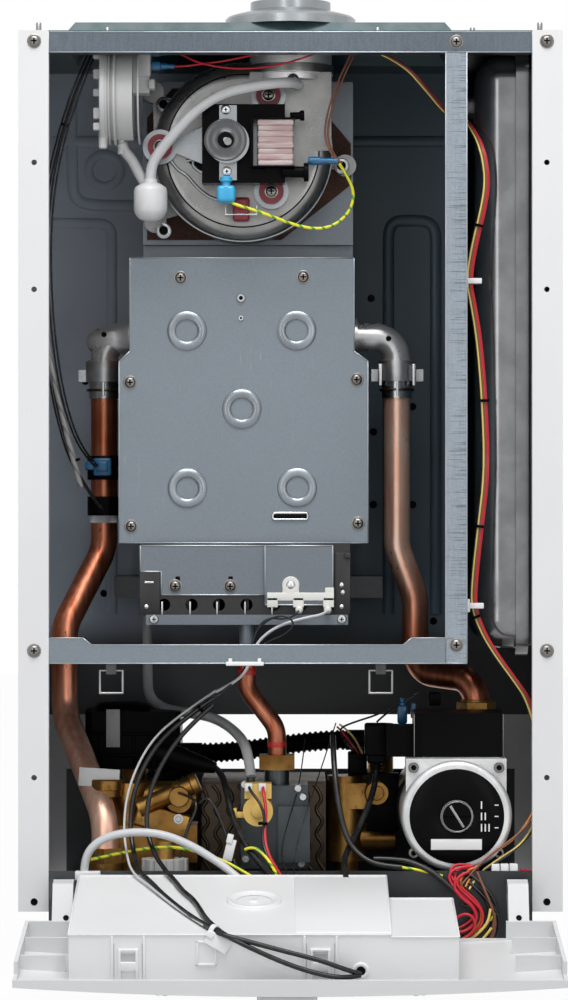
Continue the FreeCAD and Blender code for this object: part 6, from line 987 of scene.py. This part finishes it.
LOOP_LEADS = [
    ("loop_leads", "red_lead", 1.2, [
        [(146, 294, 661), (134, 296, 658), (126, 298, 662), (127, 302, 670), (136, 305, 678),
         (148, 307, 688), (153, 308, 700), (144, 309, 712), (132, 310, 718)],
        [(149, 293, 663), (137, 295, 661), (129, 298, 666), (131, 303, 674), (141, 305, 683),
         (147, 307, 694), (141, 308, 705), (130, 309, 709)],
        [(182, 291, 664), (190, 288, 665), (199, 282, 668)],
        [(182, 291, 668), (191, 289, 670), (199, 284, 675)]]),
    ("orange_loop_leads", "orange_lead", 1.1, [
        [(150, 293, 660), (139, 296, 664), (133, 300, 672), (138, 304, 682), (149, 307, 692),
         (150, 309, 703), (140, 311, 713), (131, 312, 719)]]),
    ("upper_loop_leads", "red_lead", 1.15, [
        [(144, 299, 660), (131, 301, 661), (124, 303, 667), (128, 306, 676), (140, 309, 686),
         (148, 311, 697), (142, 313, 708), (129, 314, 713)],
        [(141, 302, 664), (132, 304, 668), (131, 307, 676), (141, 310, 684), (152, 312, 695),
         (150, 314, 708), (137, 315, 716)]]),
    ("dark_loop_leads", "black_lead", 1.3, [
        [(142, 297, 667), (154, 303, 676), (163, 307, 690), (164, 309, 706), (154, 311, 718),
         (134, 312, 724)],
        [(138, 299, 670), (150, 304, 680), (158, 308, 694), (156, 310, 708), (146, 311, 716),
         (130, 312, 722)],
        [(130, 303, 672), (142, 306, 684), (150, 309, 698), (142, 311, 711), (128, 312, 715)]]),
    ("crossed_loop_leads", "red_lead", 1.2, [
        [(137, 314, 664), (130, 316, 668), (128, 317, 676), (135, 318, 684), (143, 318, 690),
         (147, 318, 699), (141, 318, 708), (131, 318, 711), (127, 318, 704), (133, 319, 696),
         (142, 320, 696), (146, 320, 706), (138, 320, 715), (128, 320, 718)]]),
    ("bright_loop_leads", "yellow_lead", 1.1, [
        [(127, 316, 722), (138, 317, 718), (148, 317, 711), (156, 316, 702), (157, 315, 692)],
        [(126, 315, 727), (139, 316, 724), (151, 316, 717), (158, 315, 707)]]),
    ("brown_loop_leads", "brown_lead", 1.1, [
        [(160, 312, 700), (159, 313, 712), (153, 314, 722), (146, 314, 730)],
        [(147, 305, 664), (152, 309, 676), (158, 311, 690), (162, 312, 704), (158, 313, 718),
         (150, 314, 728)]]),
    ("deep_loop_leads", "black_lead", 1.2, [
        [(140, 300, 672), (152, 306, 682), (160, 310, 694), (162, 312, 708), (154, 313, 720),
         (140, 314, 728), (126, 314, 731)],
        [(134, 301, 690), (148, 306, 694), (157, 309, 704), (156, 311, 716), (146, 312, 724),
         (128, 313, 729)],
        [(144, 300, 676), (157, 306, 686), (165, 310, 700), (163, 312, 715), (152, 313, 726),
         (134, 314, 733)]]),
    ("earth_loop_leads", "earth_lead", 1.3, [
        [(84, 296, 661), (104, 298, 663), (120, 301, 668)],
        [(128, 311, 720), (142, 311, 715), (154, 310, 706), (162, 308, 696)]]),
    ("pump_cable", "black_lead", 2.5, [
        [(69.5, 222, 590), (68.5, 228, 602), (61, 248, 621), (51, 272, 640), (44, 290, 651), (42, 300, 657),
         (43, 312, 664), (44, 328, 671)]]),
]
CONTROL_LEADS = [
    ("pale_ignition_lead", "grey_lead", 1.0, [PALE_IGNITION_LEAD]),
    ("grey_cable", "grey_lead", 3.3, [
        [(-163, 298, 668), (-163, 299, 655), (-154, 301, 641), (-134, 303, 633), (-104, 305, 633),
         (-80, 306, 642), (-60, 308, 654), (-46, 312, 664), (-36, 320, 672)]]),
    ("earth_control_lead", "earth_lead", 1.3, [
        [(-160, 292, 656), (-138, 293, 651), (-112, 295, 646), (-88, 297, 645), (-62, 301, 652),
         (-40, 306, 661), (-24, 320, 671)],
        [(-36, 290, 648), (-30, 293, 645), (-22, 296, 650), (-14, 302, 660), (-8, 320, 671)]]),
    ("valve_red_lead", "red_lead", 1.3, [
        [(-22, 262, 600), (-22, 268, 603), (-19, 275, 619), (-21, 283, 636), (-18, 292, 651),
         (-11, 304, 662), (-4, 322, 671)]]),
    ("valve_black_leads", "black_lead", 1.2, [
        [(-33, 262, 600), (-33, 268, 602), (-24, 276, 612), (-20, 280, 624), (-23, 284, 638),
         (-19, 293, 653), (-12, 305, 663), (-6, 322, 671)],
        [(-72, 278, 612), (-67, 281, 606), (-60, 284, 614), (-54, 286, 628), (-50, 287, 640)],
        [(-45, 288, 656), (-42, 294, 664), (-38, 318, 671)],
        [(-98, 200, 608), (-85, 262, 606), (-72, 278, 612), (-84, 280, 636), (-88, 284, 655)]]),
    ("actuator_cable", "black_lead", 2.6, [
        [(-62, 205, 589), (-56, 220, 591), (-51, 246, 607), (-46, 262, 626), (-38, 280, 642),
         (-27, 294, 655), (-18, 306, 664), (-10, 322, 671)]]),
    ("fine_leads", "black_lead", 0.5, [
        [(37, 200, 553), (24, 236, 590), (12, 262, 622), (4, 284, 648), (2, 300, 661), (4, 322, 671)],
        [(12, 180, 567), (8, 232, 600), (-2, 262, 628), (-8, 284, 650), (-4, 302, 662), (0, 322, 671)]]),
]


def looms():
    """Leads that stay in the casing."""
    for colour, routes in LOOMS.items():
        thing = leads(f"{colour}_looms", f"{colour}_lead", LOOM_WIRE, routes)
        if colour == "black":
            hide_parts("wiring_harness")
    leads("earth_loom", "earth_lead", 1.3, [EARTH_LEAD])
    leads("pale_electrode_lead", "grey_lead", 1.25, [
        [(30, 230, 460), (28, 243, 463), (10, 248, 466), (-10, 250, 472), (-24, 251, 482), (-31, 252, 494),
         (-35, 253, 508), (-46, 254, 518), (-60, 252, 525)]])
    leads("sensor_braid", "braid", 2.4, [[(-200, 200, 236), (-196, 184, 262), (-190, 168, 292),
                                          (-182, 154, 330), (-174, 146, 360)]])
    for loop in LOOP_LEADS:
        hinge_leads(*loop)
    leads("valve_cable", "black_lead", 2.3, [
        [(34, 246, 560), (34.5, 262, 580), (37, 276, 606), (41, 283, 628), (47, 289, 644), (58, 294, 655),
         (72, 298, 660), (88, 300, 661)],
        [(66, 292, 655), (85, 294, 655), (100, 297, 658.5), (118, 302, 668), (130, 306, 680)]])


def control_leads():
    """Leads from the casing into the swung-down control unit."""
    black = hinge_leads("ignition_leads", "black_lead", 1.9, IGNITION_LEADS)
    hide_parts("control_leads")
    for crossing in CONTROL_LEADS:
        hinge_leads(*crossing)


def lead_ends():
    """Ties, clips, plugs, sensors and electrodes on the leads."""
    ties, white, black, ceramic, blue = forms(5)
    for x, out, drop, across, fall in (
            (150, 279, 153, -0.25, 1), (154.4, 279, 292, 0, 1), (150.5, 279, 392, -0.1, 1),
            (147.6, 277, 464, 0.4, 1), (-181, 251, 70, -0.3, 1), (-178, 150, 338, 0.3, 1),
            (-72, 261, 538, -1, 0.7), (140, 298, 668, -0.4, 1), (-22, 280, 628, 0, 1)):
        strap(ties, at(x, out, drop), Vector((across, 0, -fall)).normalized(), 2.9, 2.2)
    for x, drop in ((145, 197), (146.5, 455)):
        block(white, (x - 7, x + 7), (276, 284), (drop - 2.2, drop + 2.2), 0.6)
        block(white, (x - 7, x - 4), (270, 284), (drop - 5.2, drop + 5.2), 0.6)
    tilt = Matrix.Rotation(math.radians(14), 4, "Y")
    block(white, (-52, -44.5), (283, 291), (640, 657), 0.7, tilt)
    block(white, (-50.5, -45.5), (282, 292), (636, 643), 0.6, tilt)
    for i in range(3):
        block(white, (159 + i * 7.2, 165.4 + i * 7.2), (286, 296), (659, 672), 0.7)
        block(white, (160.2 + i * 7.2, 164.2 + i * 7.2), (287.5, 294.5), (671, 676), 0.5)
    block(white, (-170, -150), (294, 304), (664, 671), 0.8)
    block(white, (-166, -154), (292, 306), (670, 676), 0.8)
    for x in (-33.5, -22.5):
        block(white, (x - 3, x + 3), (258, 264), (597.5, 604), 0.5)
    block(black, (60, 79), (208, 232), (552, 578), 2.2)
    block(black, (62, 77), (211, 229), (570, 584), 2.0)
    for i in range(4):
        turned(black, at(69.5, 220, 583 + i * 2.6), -UP,
               [(0, 0), (6.0 - i * 0.5, 0), (6.0 - i * 0.5, 1.4), (3.4, 1.8), (3.4, 2.6), (0, 2.6)], 20)
    block(black, (47.5, 63.2), (142, 166), (579.5, 598.6), 1.5)
    block(black, (50, 61), (144, 164), (576, 581), 0.8)
    for drop, tall in ((344, 20), (376, 16)):
        upright(black, *LEFT_PIPE, drop + tall / 2,
                [(11.3, 0), (14, 0), (14, tall), (11.3, tall), (11.3, 0)], 32)
        block(black, (-162.5, -150.5), (121, 133), (drop - tall / 2, drop + tall / 2), 1.2)
    block(blue, (-164, -149), (126, 138), (336, 351), 1.6)
    block(blue, (-161, -152), (136, 140), (339, 347), 0.8)
    block(blue, (-171, -163), (128, 135), (339, 346), 1.0)
    for x in (7, 30):
        facing_front(ceramic, x, 215, 460,
                     [(0, 0), (3.2, 0), (3.2, 12), (2.6, 13), (2.6, 16), (1.6, 17), (0, 17)], 20)
    finished(ties, "cable_ties", "black_plastic")
    finished(white, "pale_connectors", "white_plastic")
    finished(black, "black_connectors", "black_plastic")
    finished(ceramic, "electrode_insulators", "ceramic")
    finished(blue, "pipe_sensor_plug", "blue_plastic")
    lid_tie, tag = bmesh.new(), Matrix.Rotation(math.radians(30), 4, "Y")
    strap(lid_tie, at(-57, 457, 693), Vector((0.75, -0.6, -0.25)).normalized(), 3.4, 4.0, 1.0)
    block(lid_tie, (-64, -45), (460.3, 461.5), (696, 706.5), 0.3, tag)
    block(lid_tie, (-63, -57), (459.6, 462.6), (693, 698), 0.5, tag)
    finished(lid_tie, "lid_tie", "white_plastic", "control_unit", drawn_open=True)


def hoses():
    """Silicone hoses of the pressure switch and gas valve, and the condensate trap."""
    sensing = [(6, 236, 36), (4, 254, 36), (-12, 266, 38), (-32, 268, 41), (-54, 268, 46), (-74, 265, 58),
               (-90, 259, 74), (-103, 252, 89), (-112.5, 247, 102), (-112.5, 246, 114)]
    switch = [(-113, 238, 128), (-116, 237, 119), (-122, 236, 108), (-128, 238, 96), (-134, 243, 90),
              (-136, 245, 84)]
    air = [(-122, 60, 470), (-122, 60, 520), (-121, 66, 538), (-108, 80, 548), (-86, 105, 550), (-62, 140, 552),
           (-42, 185, 563), (-34, 220, 576), (-32, 232, 594.6)]
    tubes = leads("silicone_tubes", "silicone", 4.3, [sensing, switch, air])
    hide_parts("silicone_hoses")
    bulb = bmesh.new()
    upright(bulb, -112.5, 246, 147,
            [(0, 0), (5, 0.3), (9, 1.8), (12, 5), (13.4, 9), (13.5, 15), (13.5, 24), (12.6, 27), (9, 29.6),
             (5.6, 31), (5.2, 34), (0, 34)], 40)
    finished(bulb, "condensate_trap", "silicone", angle=60)


# Hydraulics

def pump_details():
    """The pump's black disc with plain speed marks and a bare strip, its screws, and the box's edges."""
    disc, marks, sockets, hollow, ribs, slit = forms(6)
    pump_x, face, pump_drop = 132, 285, 622
    printed = (face + 0.7, face + 0.88)
    facing_front(disc, pump_x, face, pump_drop,
                 [(13, -0.3), (13, 0.5), (13.6, 0.8), (37.0, 0.8), (37.6, 0.4), (37.6, -0.3)], 72)
    for i in range(3):
        for j in range(i + 1):
            block(marks, (151 + j * 3, 152 + j * 3), printed, (610 + i * 9, 616 + i * 9))
        block(marks, (162, 165), printed, (612.6 + i * 9, 613.4 + i * 9))
    block(marks, (111.4, 151.8), (face + 0.7, face + 0.9), (640, 648.5), 0.05)
    # painted shade: a near-black disc in each screw's socket
    for x in (98, 166):
        for drop in (584, 652):
            facing_front(sockets, x, 274, drop,
                         [(0, -2), (4.2, -2), (4.2, 2.6), (3.8, 3.0), (2.2, 3.0), (2.2, 1.0)], 24)
            facing_front(hollow, x, 274, drop, [(0, 1.4), (2.3, 1.4), (2.3, 1.0)], 6)
    for i in range(3):
        block(ribs, (99.5 + i * 2.2, 100.4 + i * 2.2), (266, 268.8), (544, 576))
    for x in (98.4, 169.4):
        block(sockets, (x, x + 0.7), (267.8, 268.6), (542, 576.5), 0.2)
    block(sockets, (99, 169.6), (267.8, 268.5), (576.2, 576.9), 0.2)
    ring(slit, at(pump_x, face + 3.2, pump_drop), FRONT, 11.8, 0.45, 48)
    tilt = Matrix.Rotation(math.radians(-32), 4, "Y")
    block(slit, (131, 133), (287.6, 288.75), (612, 632), 0.2, tilt)
    finished(disc, "pump_disc", "black_iron")
    finished(marks, "pump_speed_marks", "white_plastic")
    finished(sockets, "pump_screws", "screw_zinc")
    finished(hollow, "pump_screw_sockets", "recess")
    finished(ribs, "terminal_ribs", "black_plastic")
    finished(slit, "vent_plug_slit", "wire_steel", "pump_vent_plug")


def plate_chevrons():
    """Herringbone pressed into the outer plate of the plate exchanger."""
    face, swing = 178.4, 4.5
    routes = [on_face([(-70 + i * 10.4 + (swing if j % 2 else -swing), 605 + j * 10) for j in range(8)], face)
              for i in range(10)]
    bead("plate_chevrons", "plate_steel", routes, 1.6, 0.7, face)


def pipe_details():
    """Clips, tags and paint marks on the pipes, the left elbow's cap, and threads on the stubs."""
    threads, steel, copper_wire, pale, paint = forms(5)
    for x, out in (LEFT_PIPE, RIGHT_PIPE):
        upright(steel, x, out, 286,
                [(11.2, 0), (12.6, 0), (12.6, 20), (14.6, 20.6), (14.6, 23), (11.2, 23)], 40)
        ring(copper_wire, at(x, out, 279), UP, 13.8, 1.1, 40)
        block(steel, (x - 1.2, x + 1.2), (out + 12, out + 15), (264, 284), 0.4)
    block(steel, (101, 104), (126, 148), (258, 276), 0.5)
    block(steel, (73, 76), (126, 148), (258, 276), 0.5)
    upright(pale, *LEFT_PIPE, 390, [(11.1, 0), (12.4, 0), (12.4, 19), (11.1, 19), (11.1, 0)], 40)
    for x, out, radius in ((-131, 188, 13.2), (-90, 188, 10.4), (-11, 213, 10.4), (46, 165, 10.4),
                           (132, 167, 13.2)):
        profile = [(radius - 0.3, -22)]
        for i in range(10):
            profile += [(radius - 0.1, -21.4 + i * 2), (radius + 0.7, -20.5 + i * 2),
                        (radius - 0.1, -19.6 + i * 2)]
        upright(threads, x, out, 694, profile, 32)
    for x, out, drop, tall in ((-35.5, 215, 513, 5.5), (-11, 222, 571, 4.0)):
        upright(paint, x, out, drop, [(7.45, 0), (7.68, 0.4), (7.68, tall), (7.45, tall + 0.4)], 32)
    tag = Matrix.Rotation(math.radians(4), 4, "Y")
    block(pale, (-172, -139), (213, 213.8), (589, 604), 0.2, tag)
    cap, hole = forms(2)
    start, end = at(-133, 110, 234), at(-171, 110, 240)
    between(cap, start, end,
            [(0, 0), (14.6, 0), (14.6, 3), (13.6, 4), (13.2, 14), (12, 24), (10.4, 31), (7.6, 35.6), (4, 38),
             (0, 38.6)], 40)
    # painted shade: near black for the elbows' holes
    for x, out, drop in ((-156, 121.6, 232.6), (81.5, 141.5, 236.8)):
        facing_front(hole, x, out, drop, [(0, 0.7), (1.4, 0.7), (2.0, 0.9), (2.3, 0.2), (2.3, -3)], 20)
    upright(threads, 153, 170, 547,
            [(11.2, 0), (15.6, 0), (16.2, 0.6), (16.2, 9.6), (15.6, 10.2), (11.2, 10.2)], 6)
    upright(threads, 153, 170, 537, [(11.1, 0), (12.6, 0), (12.6, 1.6), (11.1, 2)], 32)
    finished(cap, "elbow_cap", "bright_alloy", angle=60)
    finished(hole, "elbow_holes", "recess")
    finished(threads, "stub_threads", "brass")
    finished(steel, "pipe_clips", "bright_steel")
    finished(copper_wire, "clip_springs", "plate_steel")
    finished(pale, "pipe_tags", "white_plastic")
    finished(paint, "pipe_paint_marks", "red_paint")


def left_block_details():
    """Sloping arm, bosses and screw of the left brass block, and the actuator's dome, plug and bare plate."""
    arm, screw, black, plate = forms(4)
    start, end = at(-121, 224, 620), at(-74, 224, 599.6)
    between(arm, start, end,
            [(0, -2), (7.4, -2), (7.4, 30), (8.8, 31), (8.8, 35), (7.6, 36), (7.6, 44), (9.0, 45), (9.0, 50),
             (8, 51), (0, 51)], 32)
    facing_front(arm, -90, 226, 610.5, [(8.4, -4), (8.4, 9), (7.6, 10.2), (0, 10.2)], 36)
    slope = Matrix.Rotation(math.radians(16), 4, "Y")
    block(arm, (-126, -82), (209, 226), (621, 640), 2.0, slope)
    upright(arm, -150, 207, 612,
            [(0, 0), (12.6, 0), (12.6, 5), (13.4, 5.5), (13.4, 13), (12.4, 14), (0, 14)], 36)
    facing_front(screw, -90.6, 226, 629, [(0, 0.6), (2.0, 0.6), (2.4, 1.4), (4.0, 1.4), (4.2, -1)], 24)
    upright(black, -141, 98, 563, [(24.5, 0), (24.5, 15), (23.8, 18), (21, 20.6), (16, 21.6), (0, 21.8)], 48)
    for drop in (565, 583):
        block(black, (-172.6, -92), (120, 124), (drop, drop + 3), 0.8)
    for x in (-160, -132, -118):
        block(black, (x, x + 2.4), (120, 123.4), (569, 594), 0.6)
    plug, tail = at(-108, 192, 577), at(-59, 206, 590)
    between(black, plug, tail,
            [(0, 0), (8.6, 0), (9.4, 1), (9.4, 22), (8.2, 24), (6.6, 40), (4.4, 50), (0, 51)], 28)
    hose_start, hose_end = at(-80, 158, 589), at(-120, 166, 605)
    ribs = [(0, 0)]
    for i in range(9):
        ribs += [(5.6, i * 4.6), (7.4, i * 4.6 + 0.7), (7.4, i * 4.6 + 2.9), (5.6, i * 4.6 + 3.6)]
    between(black, hose_start, hose_end, [*ribs, (0, 42)], 28)
    block(plate, (-154, -142.6), (124.2, 125.0), (546, 577.5), 0.2)
    for drop in (548.5, 575):
        facing_front(plate, -148.3, 125, drop, [(1.6, -0.3), (1.5, 0.4), (0.8, 0.8), (0, 0.9)], 16)
    finished(arm, "left_block_arm", "brass")
    finished(screw, "left_block_screw", "bright_steel")
    finished(black, "actuator_details", "black_plastic")
    finished(plate, "actuator_plate", "grey_plastic")


def right_block_details():
    """Boss, dark plate and ribs of the right brass block, the sensor by it and the grommet under the rail."""
    boss, dark, pale = forms(3)
    facing_front(boss, 70.5, 196, 610,
                 [(10.2, -4), (10.2, 6), (9.2, 7.4), (6.0, 7.4), (5.4, 6.4), (0, 6.4)], 36)
    block(dark, (62, 88.4), (190, 195), (594, 642), 1.0)
    for i in range(4):
        upright(boss, 52, 158, 604 + i * 14, [(15.6, 0), (16.4, 0.8), (16.4, 3.4), (15.6, 4.2)], 36)
    block(pale, (-51, -21), (298, 308), (498.6, 501.6), 0.8)
    for x in (-49, -26):
        block(pale, (x, x + 3), (299, 306), (496, 499.4), 0.5)
    block(dark, (112, 122), (206, 216), (527, 538), 1.4)
    finished(boss, "right_block_boss", "brass")
    finished(dark, "right_block_plate", "black_plastic")
    finished(pale, "lead_grommet", "white_plastic")


def valve_details():
    """Tab and cap of the modulator, and the gas valve's screws."""
    tab, bolts = forms(2)
    block(tab, (-46, -36), (250, 256), (621, 626), 0.8)
    block(tab, (-46, -43), (248, 258), (618, 629), 0.8)
    facing_front(tab, -26, 262, 620, [(0, 0), (5.5, 0), (5.5, 1.6), (4.6, 2.2), (0, 2.2)], 28)
    for x, drop in ((-37, 600), (6, 603), (10, 610), (-36, 660), (9, 664)):
        facing_front(bolts, x, 240, drop,
                     [(0, -1), (3.2, -1), (3.2, 2.2), (2.6, 2.8), (1.5, 2.8), (1.5, 1.4), (0, 1.4)], 20)
    finished(tab, "modulator_tab", "yellow_plastic")
    finished(bolts, "valve_screws", "bright_steel")


# Control unit

def latch(form, dark, x):
    """A snap latch on the lid's edge, drawn shut: two rails, a tongue and its window; the window and two shadow
    lines are dark grey plates of painted shade.
    """
    for side in (x - 13, x + 11):
        block(form, (side, side + 2), (320, 356), (534.4, 536.4), 0.4)
    for side in (x - 7.5, x + 5.5):
        block(form, (side, side + 2), (331, 360), (534.0, 536.4), 0.4)
    block(form, (x - 7.5, x + 7.5), (330, 332), (534.2, 536.4), 0.4)
    block(form, (x - 6, x + 6), (340, 347), (533.6, 536.4), 0.5)
    # painted shade: dark grey plates for the window and the shadow lines beside the rails
    block(dark, (x - 5, x + 5), (334, 340), (535.6, 536.3))
    for side in (x - 11.5, x + 10.2):
        block(dark, (side, side + 1.2), (326, 352), (535.5, 536.2))


def lid_details():
    """Latches, pocket and cable hole of the control unit's lid, drawn shut, and its top, drawn open; the dark
    latch plates, the cable hole and the arm holes are painted shade.
    """
    trim, dark, pale, top = forms(4)
    for x in (-121.5, 22.5):
        latch(trim, dark, x)
    for span_x, span_out in (((-71, -69), (324, 343)), ((-57, -55), (324, 343)), ((-71, -55), (324, 325.6)),
                             ((-71, -55), (341.4, 343))):
        block(trim, span_x, span_out, (534.8, 536.4), 0.4)
    upright(trim, 52.6, 347, 536.2,
            [(3.6, -0.4), (3.6, 1.0), (4.4, 1.6), (5.6, 1.6), (6.4, 1.0), (6.6, -0.4)], 28)
    hole = bmesh.new()
    # painted shade: a near-black disc in the cable hole
    upright(hole, 52.6, 347, 536.2, [(0, 0.6), (3.7, 0.6), (3.7, 0.2)], 24)
    finished(trim, "lid_details", "white_plastic", "control_unit")
    finished(dark, "lid_recesses", "grey_plastic", "control_unit")
    finished(hole, "lid_cable_hole", "recess", "control_unit")
    arm_holes, arm_face = bmesh.new(), Vector((0, -0.92, 0.39))
    for x in (-175, 178):
        # painted shade: near-black holes in the arms
        turned(arm_holes, at(x, 338.9, 696.6), arm_face,
               [(0, 0.2), (1.6, 0.2), (2.0, 0.5), (2.3, 0.1), (2.3, -0.5)], 20)
    finished(arm_holes, "arm_holes", "recess", "control_unit", drawn_open=True)
    block(pale, (-25, 20), (362, 366), (517.5, 520.5), 0.6)
    for x in (-24, 17):
        block(pale, (x, x + 2), (361, 366.6), (517, 523), 0.4)
    finished(pale, "fascia_bezel", "grey_plastic", "control_unit")
    lid_rise, lid_depth = 29.9, 141.7
    rake = math.atan2(lid_rise, lid_depth)
    tilt = Matrix.Rotation(rake, 4, "X")
    rise = Vector((0, -math.sin(rake), math.cos(rake)))
    boss = at(-28, 380, 679.1)
    turned(top, boss, rise,
           [(13.5, 0.3), (14.5, 0.9), (17.5, 0.9), (18.6, 2.2), (20.2, 2.4), (21.2, 1.6), (21.8, -0.6)], 56)
    turned(top, boss, rise, [(0, 1.0), (4, 1.0), (4.6, 0.4), (4.8, -0.4)], 32)
    block(top, (3, 74.6), (322, 458), (680.15, 683.75), 1.2, tilt)
    for x in (-160, -92, 30):
        block(top, (x, x + 1.3), (330, 352), (670.6, 671.9), 0.2, tilt)
    finished(top, "lid_top", "white_plastic", "control_unit", angle=60, drawn_open=True)


def dial_marks():
    """A pointer on each dial's face, and plain ticks round it on the arched fascia."""
    dial_drop, face_out, ring_radius = 587.0, 375.6, 22.0
    edge_out, bulge, half_width, proud = 355.0, 7.0, 207.0, 0.12
    ticks = bmesh.new()
    for name, dial_x in (("heating_dial", -95.0), ("water_dial", 95.0)):
        pointer = bmesh.new()
        block(pointer, (dial_x - 0.8, dial_x + 0.8), (face_out - 0.6, face_out + proud),
              (dial_drop - 15.0, dial_drop - 6.0), 0.1)
        bmesh.ops.transform(pointer, matrix=SWING_OPEN, verts=pointer.verts)
        finished(pointer, f"{name}_pointer", "black_plastic", name)
        for turn in range(-135, 136, 27):
            angle = math.radians(turn)
            x, drop = dial_x + ring_radius * math.sin(angle), dial_drop - ring_radius * math.cos(angle)
            arch_out = edge_out + bulge * (1 - (x / half_width) ** 2)
            block(ticks, (x - 0.4, x + 0.4), (arch_out - 0.5, arch_out + proud), (drop - 1.7, drop + 1.7), 0.1,
                  Matrix.Rotation(angle, 4, "Y"))
    finished(ticks, "dial_ticks", "black_plastic", "control_unit")


screw_heads()
back_beads()
plate_details()
# painted highlight: bright edge rods on the plates and rails
rolled_edges("plate_edges", ["combustion_front_plate", "burner_cover"], "edge_zinc", 0.6)
rolled_edges("rail_edges", ["front_top_rail", "front_right_stile", "front_bottom_rail"], "edge_zinc", 0.5)
coil()
outlet_sleeve()
fan_details()
burner_details()
top_studs()
terminals()
switch_details()
looms()
control_leads()
lead_ends()
hoses()
pump_details()
plate_chevrons()
pipe_details()
left_block_details()
right_block_details()
valve_details()
lid_details()
dial_marks()
rolled_edges("lid_edges", ["control_lid"], "white_plastic", 0.9, Vector((0, -0.207, 0.978)),
             "control_unit")


# Studio

WHITE = (1, 1, 1, 1)
AMBIENT = (0.31, 0.315, 0.32, 1)
GLOW_SHARE = 0.97
FLOOR_HALF = 5
FLOOR_GAP = 0.003


def studio_finish(name, colour):
    """Pale paper that the camera and reflections see as white, and that still takes the shadow."""
    finish = Finish(name)
    glow = finish.node("ShaderNodeEmission", {}, {"Color": WHITE, "Strength": 1.0})
    finish.dress(Base_Color=tone(colour), Roughness=0.9)
    paper = Shade(finish, finish.surface.outputs[0])
    both = finish.node("ShaderNodeMixShader", {}, {0: finish.backdrop_rays() * GLOW_SHARE, 1: paper, 2: glow})
    finish.feed(finish.tree.nodes["Material Output"].inputs["Surface"], both)
    return finish.material


floor_form = bmesh.new()
bmesh.ops.create_grid(floor_form, x_segments=1, y_segments=1, size=FLOOR_HALF,
                      matrix=Matrix.Translation((0, 0, cad_box[0][2] - FLOOR_GAP)))
floor_mesh = bpy.data.meshes.new("floor")
floor_form.to_mesh(floor_mesh)
floor_form.free()
floor_mesh.materials.append(studio_finish("floor_paper", (0.66, 0.66, 0.66)))
floor = bpy.data.objects.new("floor", floor_mesh)
scene.collection.objects.link(floor)

world = bpy.data.worlds.new("studio")
world.use_nodes = True
sky = Nodes(world.node_tree)
sky.feed(sky.tree.nodes["Background"].inputs["Color"], sky.mix(sky.backdrop_rays(), AMBIENT, WHITE))
scene.world = world

for lamp_name, place, target, size, watts in (
        ("left_softbox", (-1.25, -3.8, 0.0), (0, -0.2, -0.3), (0.6, 2.2), 10),
        ("right_softbox", (1.25, -3.7, 0.0), (0, -0.2, -0.3), (0.6, 2.2), 10),
        ("front_softbox", (0.0, -3.4, 2.0), (0, -0.2, -0.4), (1.8, 1.0), 16),
        ("top_softbox", (0.0, -1.5, 2.0), (0, -0.3, -0.4), (2.0, 1.0), 68)):
    lamp = bpy.data.lights.new(lamp_name, "AREA")
    lamp.shape = "RECTANGLE"
    lamp.size, lamp.size_y = size
    lamp.energy = watts
    holder = bpy.data.objects.new(lamp_name, lamp)
    holder.location = place
    holder.rotation_euler = (Vector(target) - Vector(place)).to_track_quat("-Z", "Y").to_euler()
    scene.collection.objects.link(holder)

CAMERA_AWAY, CAMERA_HEIGHT = 3.3, -0.341
camera = bpy.data.cameras.new("camera")
camera.sensor_fit = "VERTICAL"
camera.sensor_height = 36
camera.lens = 136.8
camera.shift_x = -0.0065
viewer = bpy.data.objects.new("camera", camera)
viewer.location = (0, -CAMERA_AWAY, CAMERA_HEIGHT)
viewer.rotation_euler = (math.pi / 2, 0, 0)
scene.collection.objects.link(viewer)
scene.camera = viewer
scene.view_settings.view_transform = "Standard"
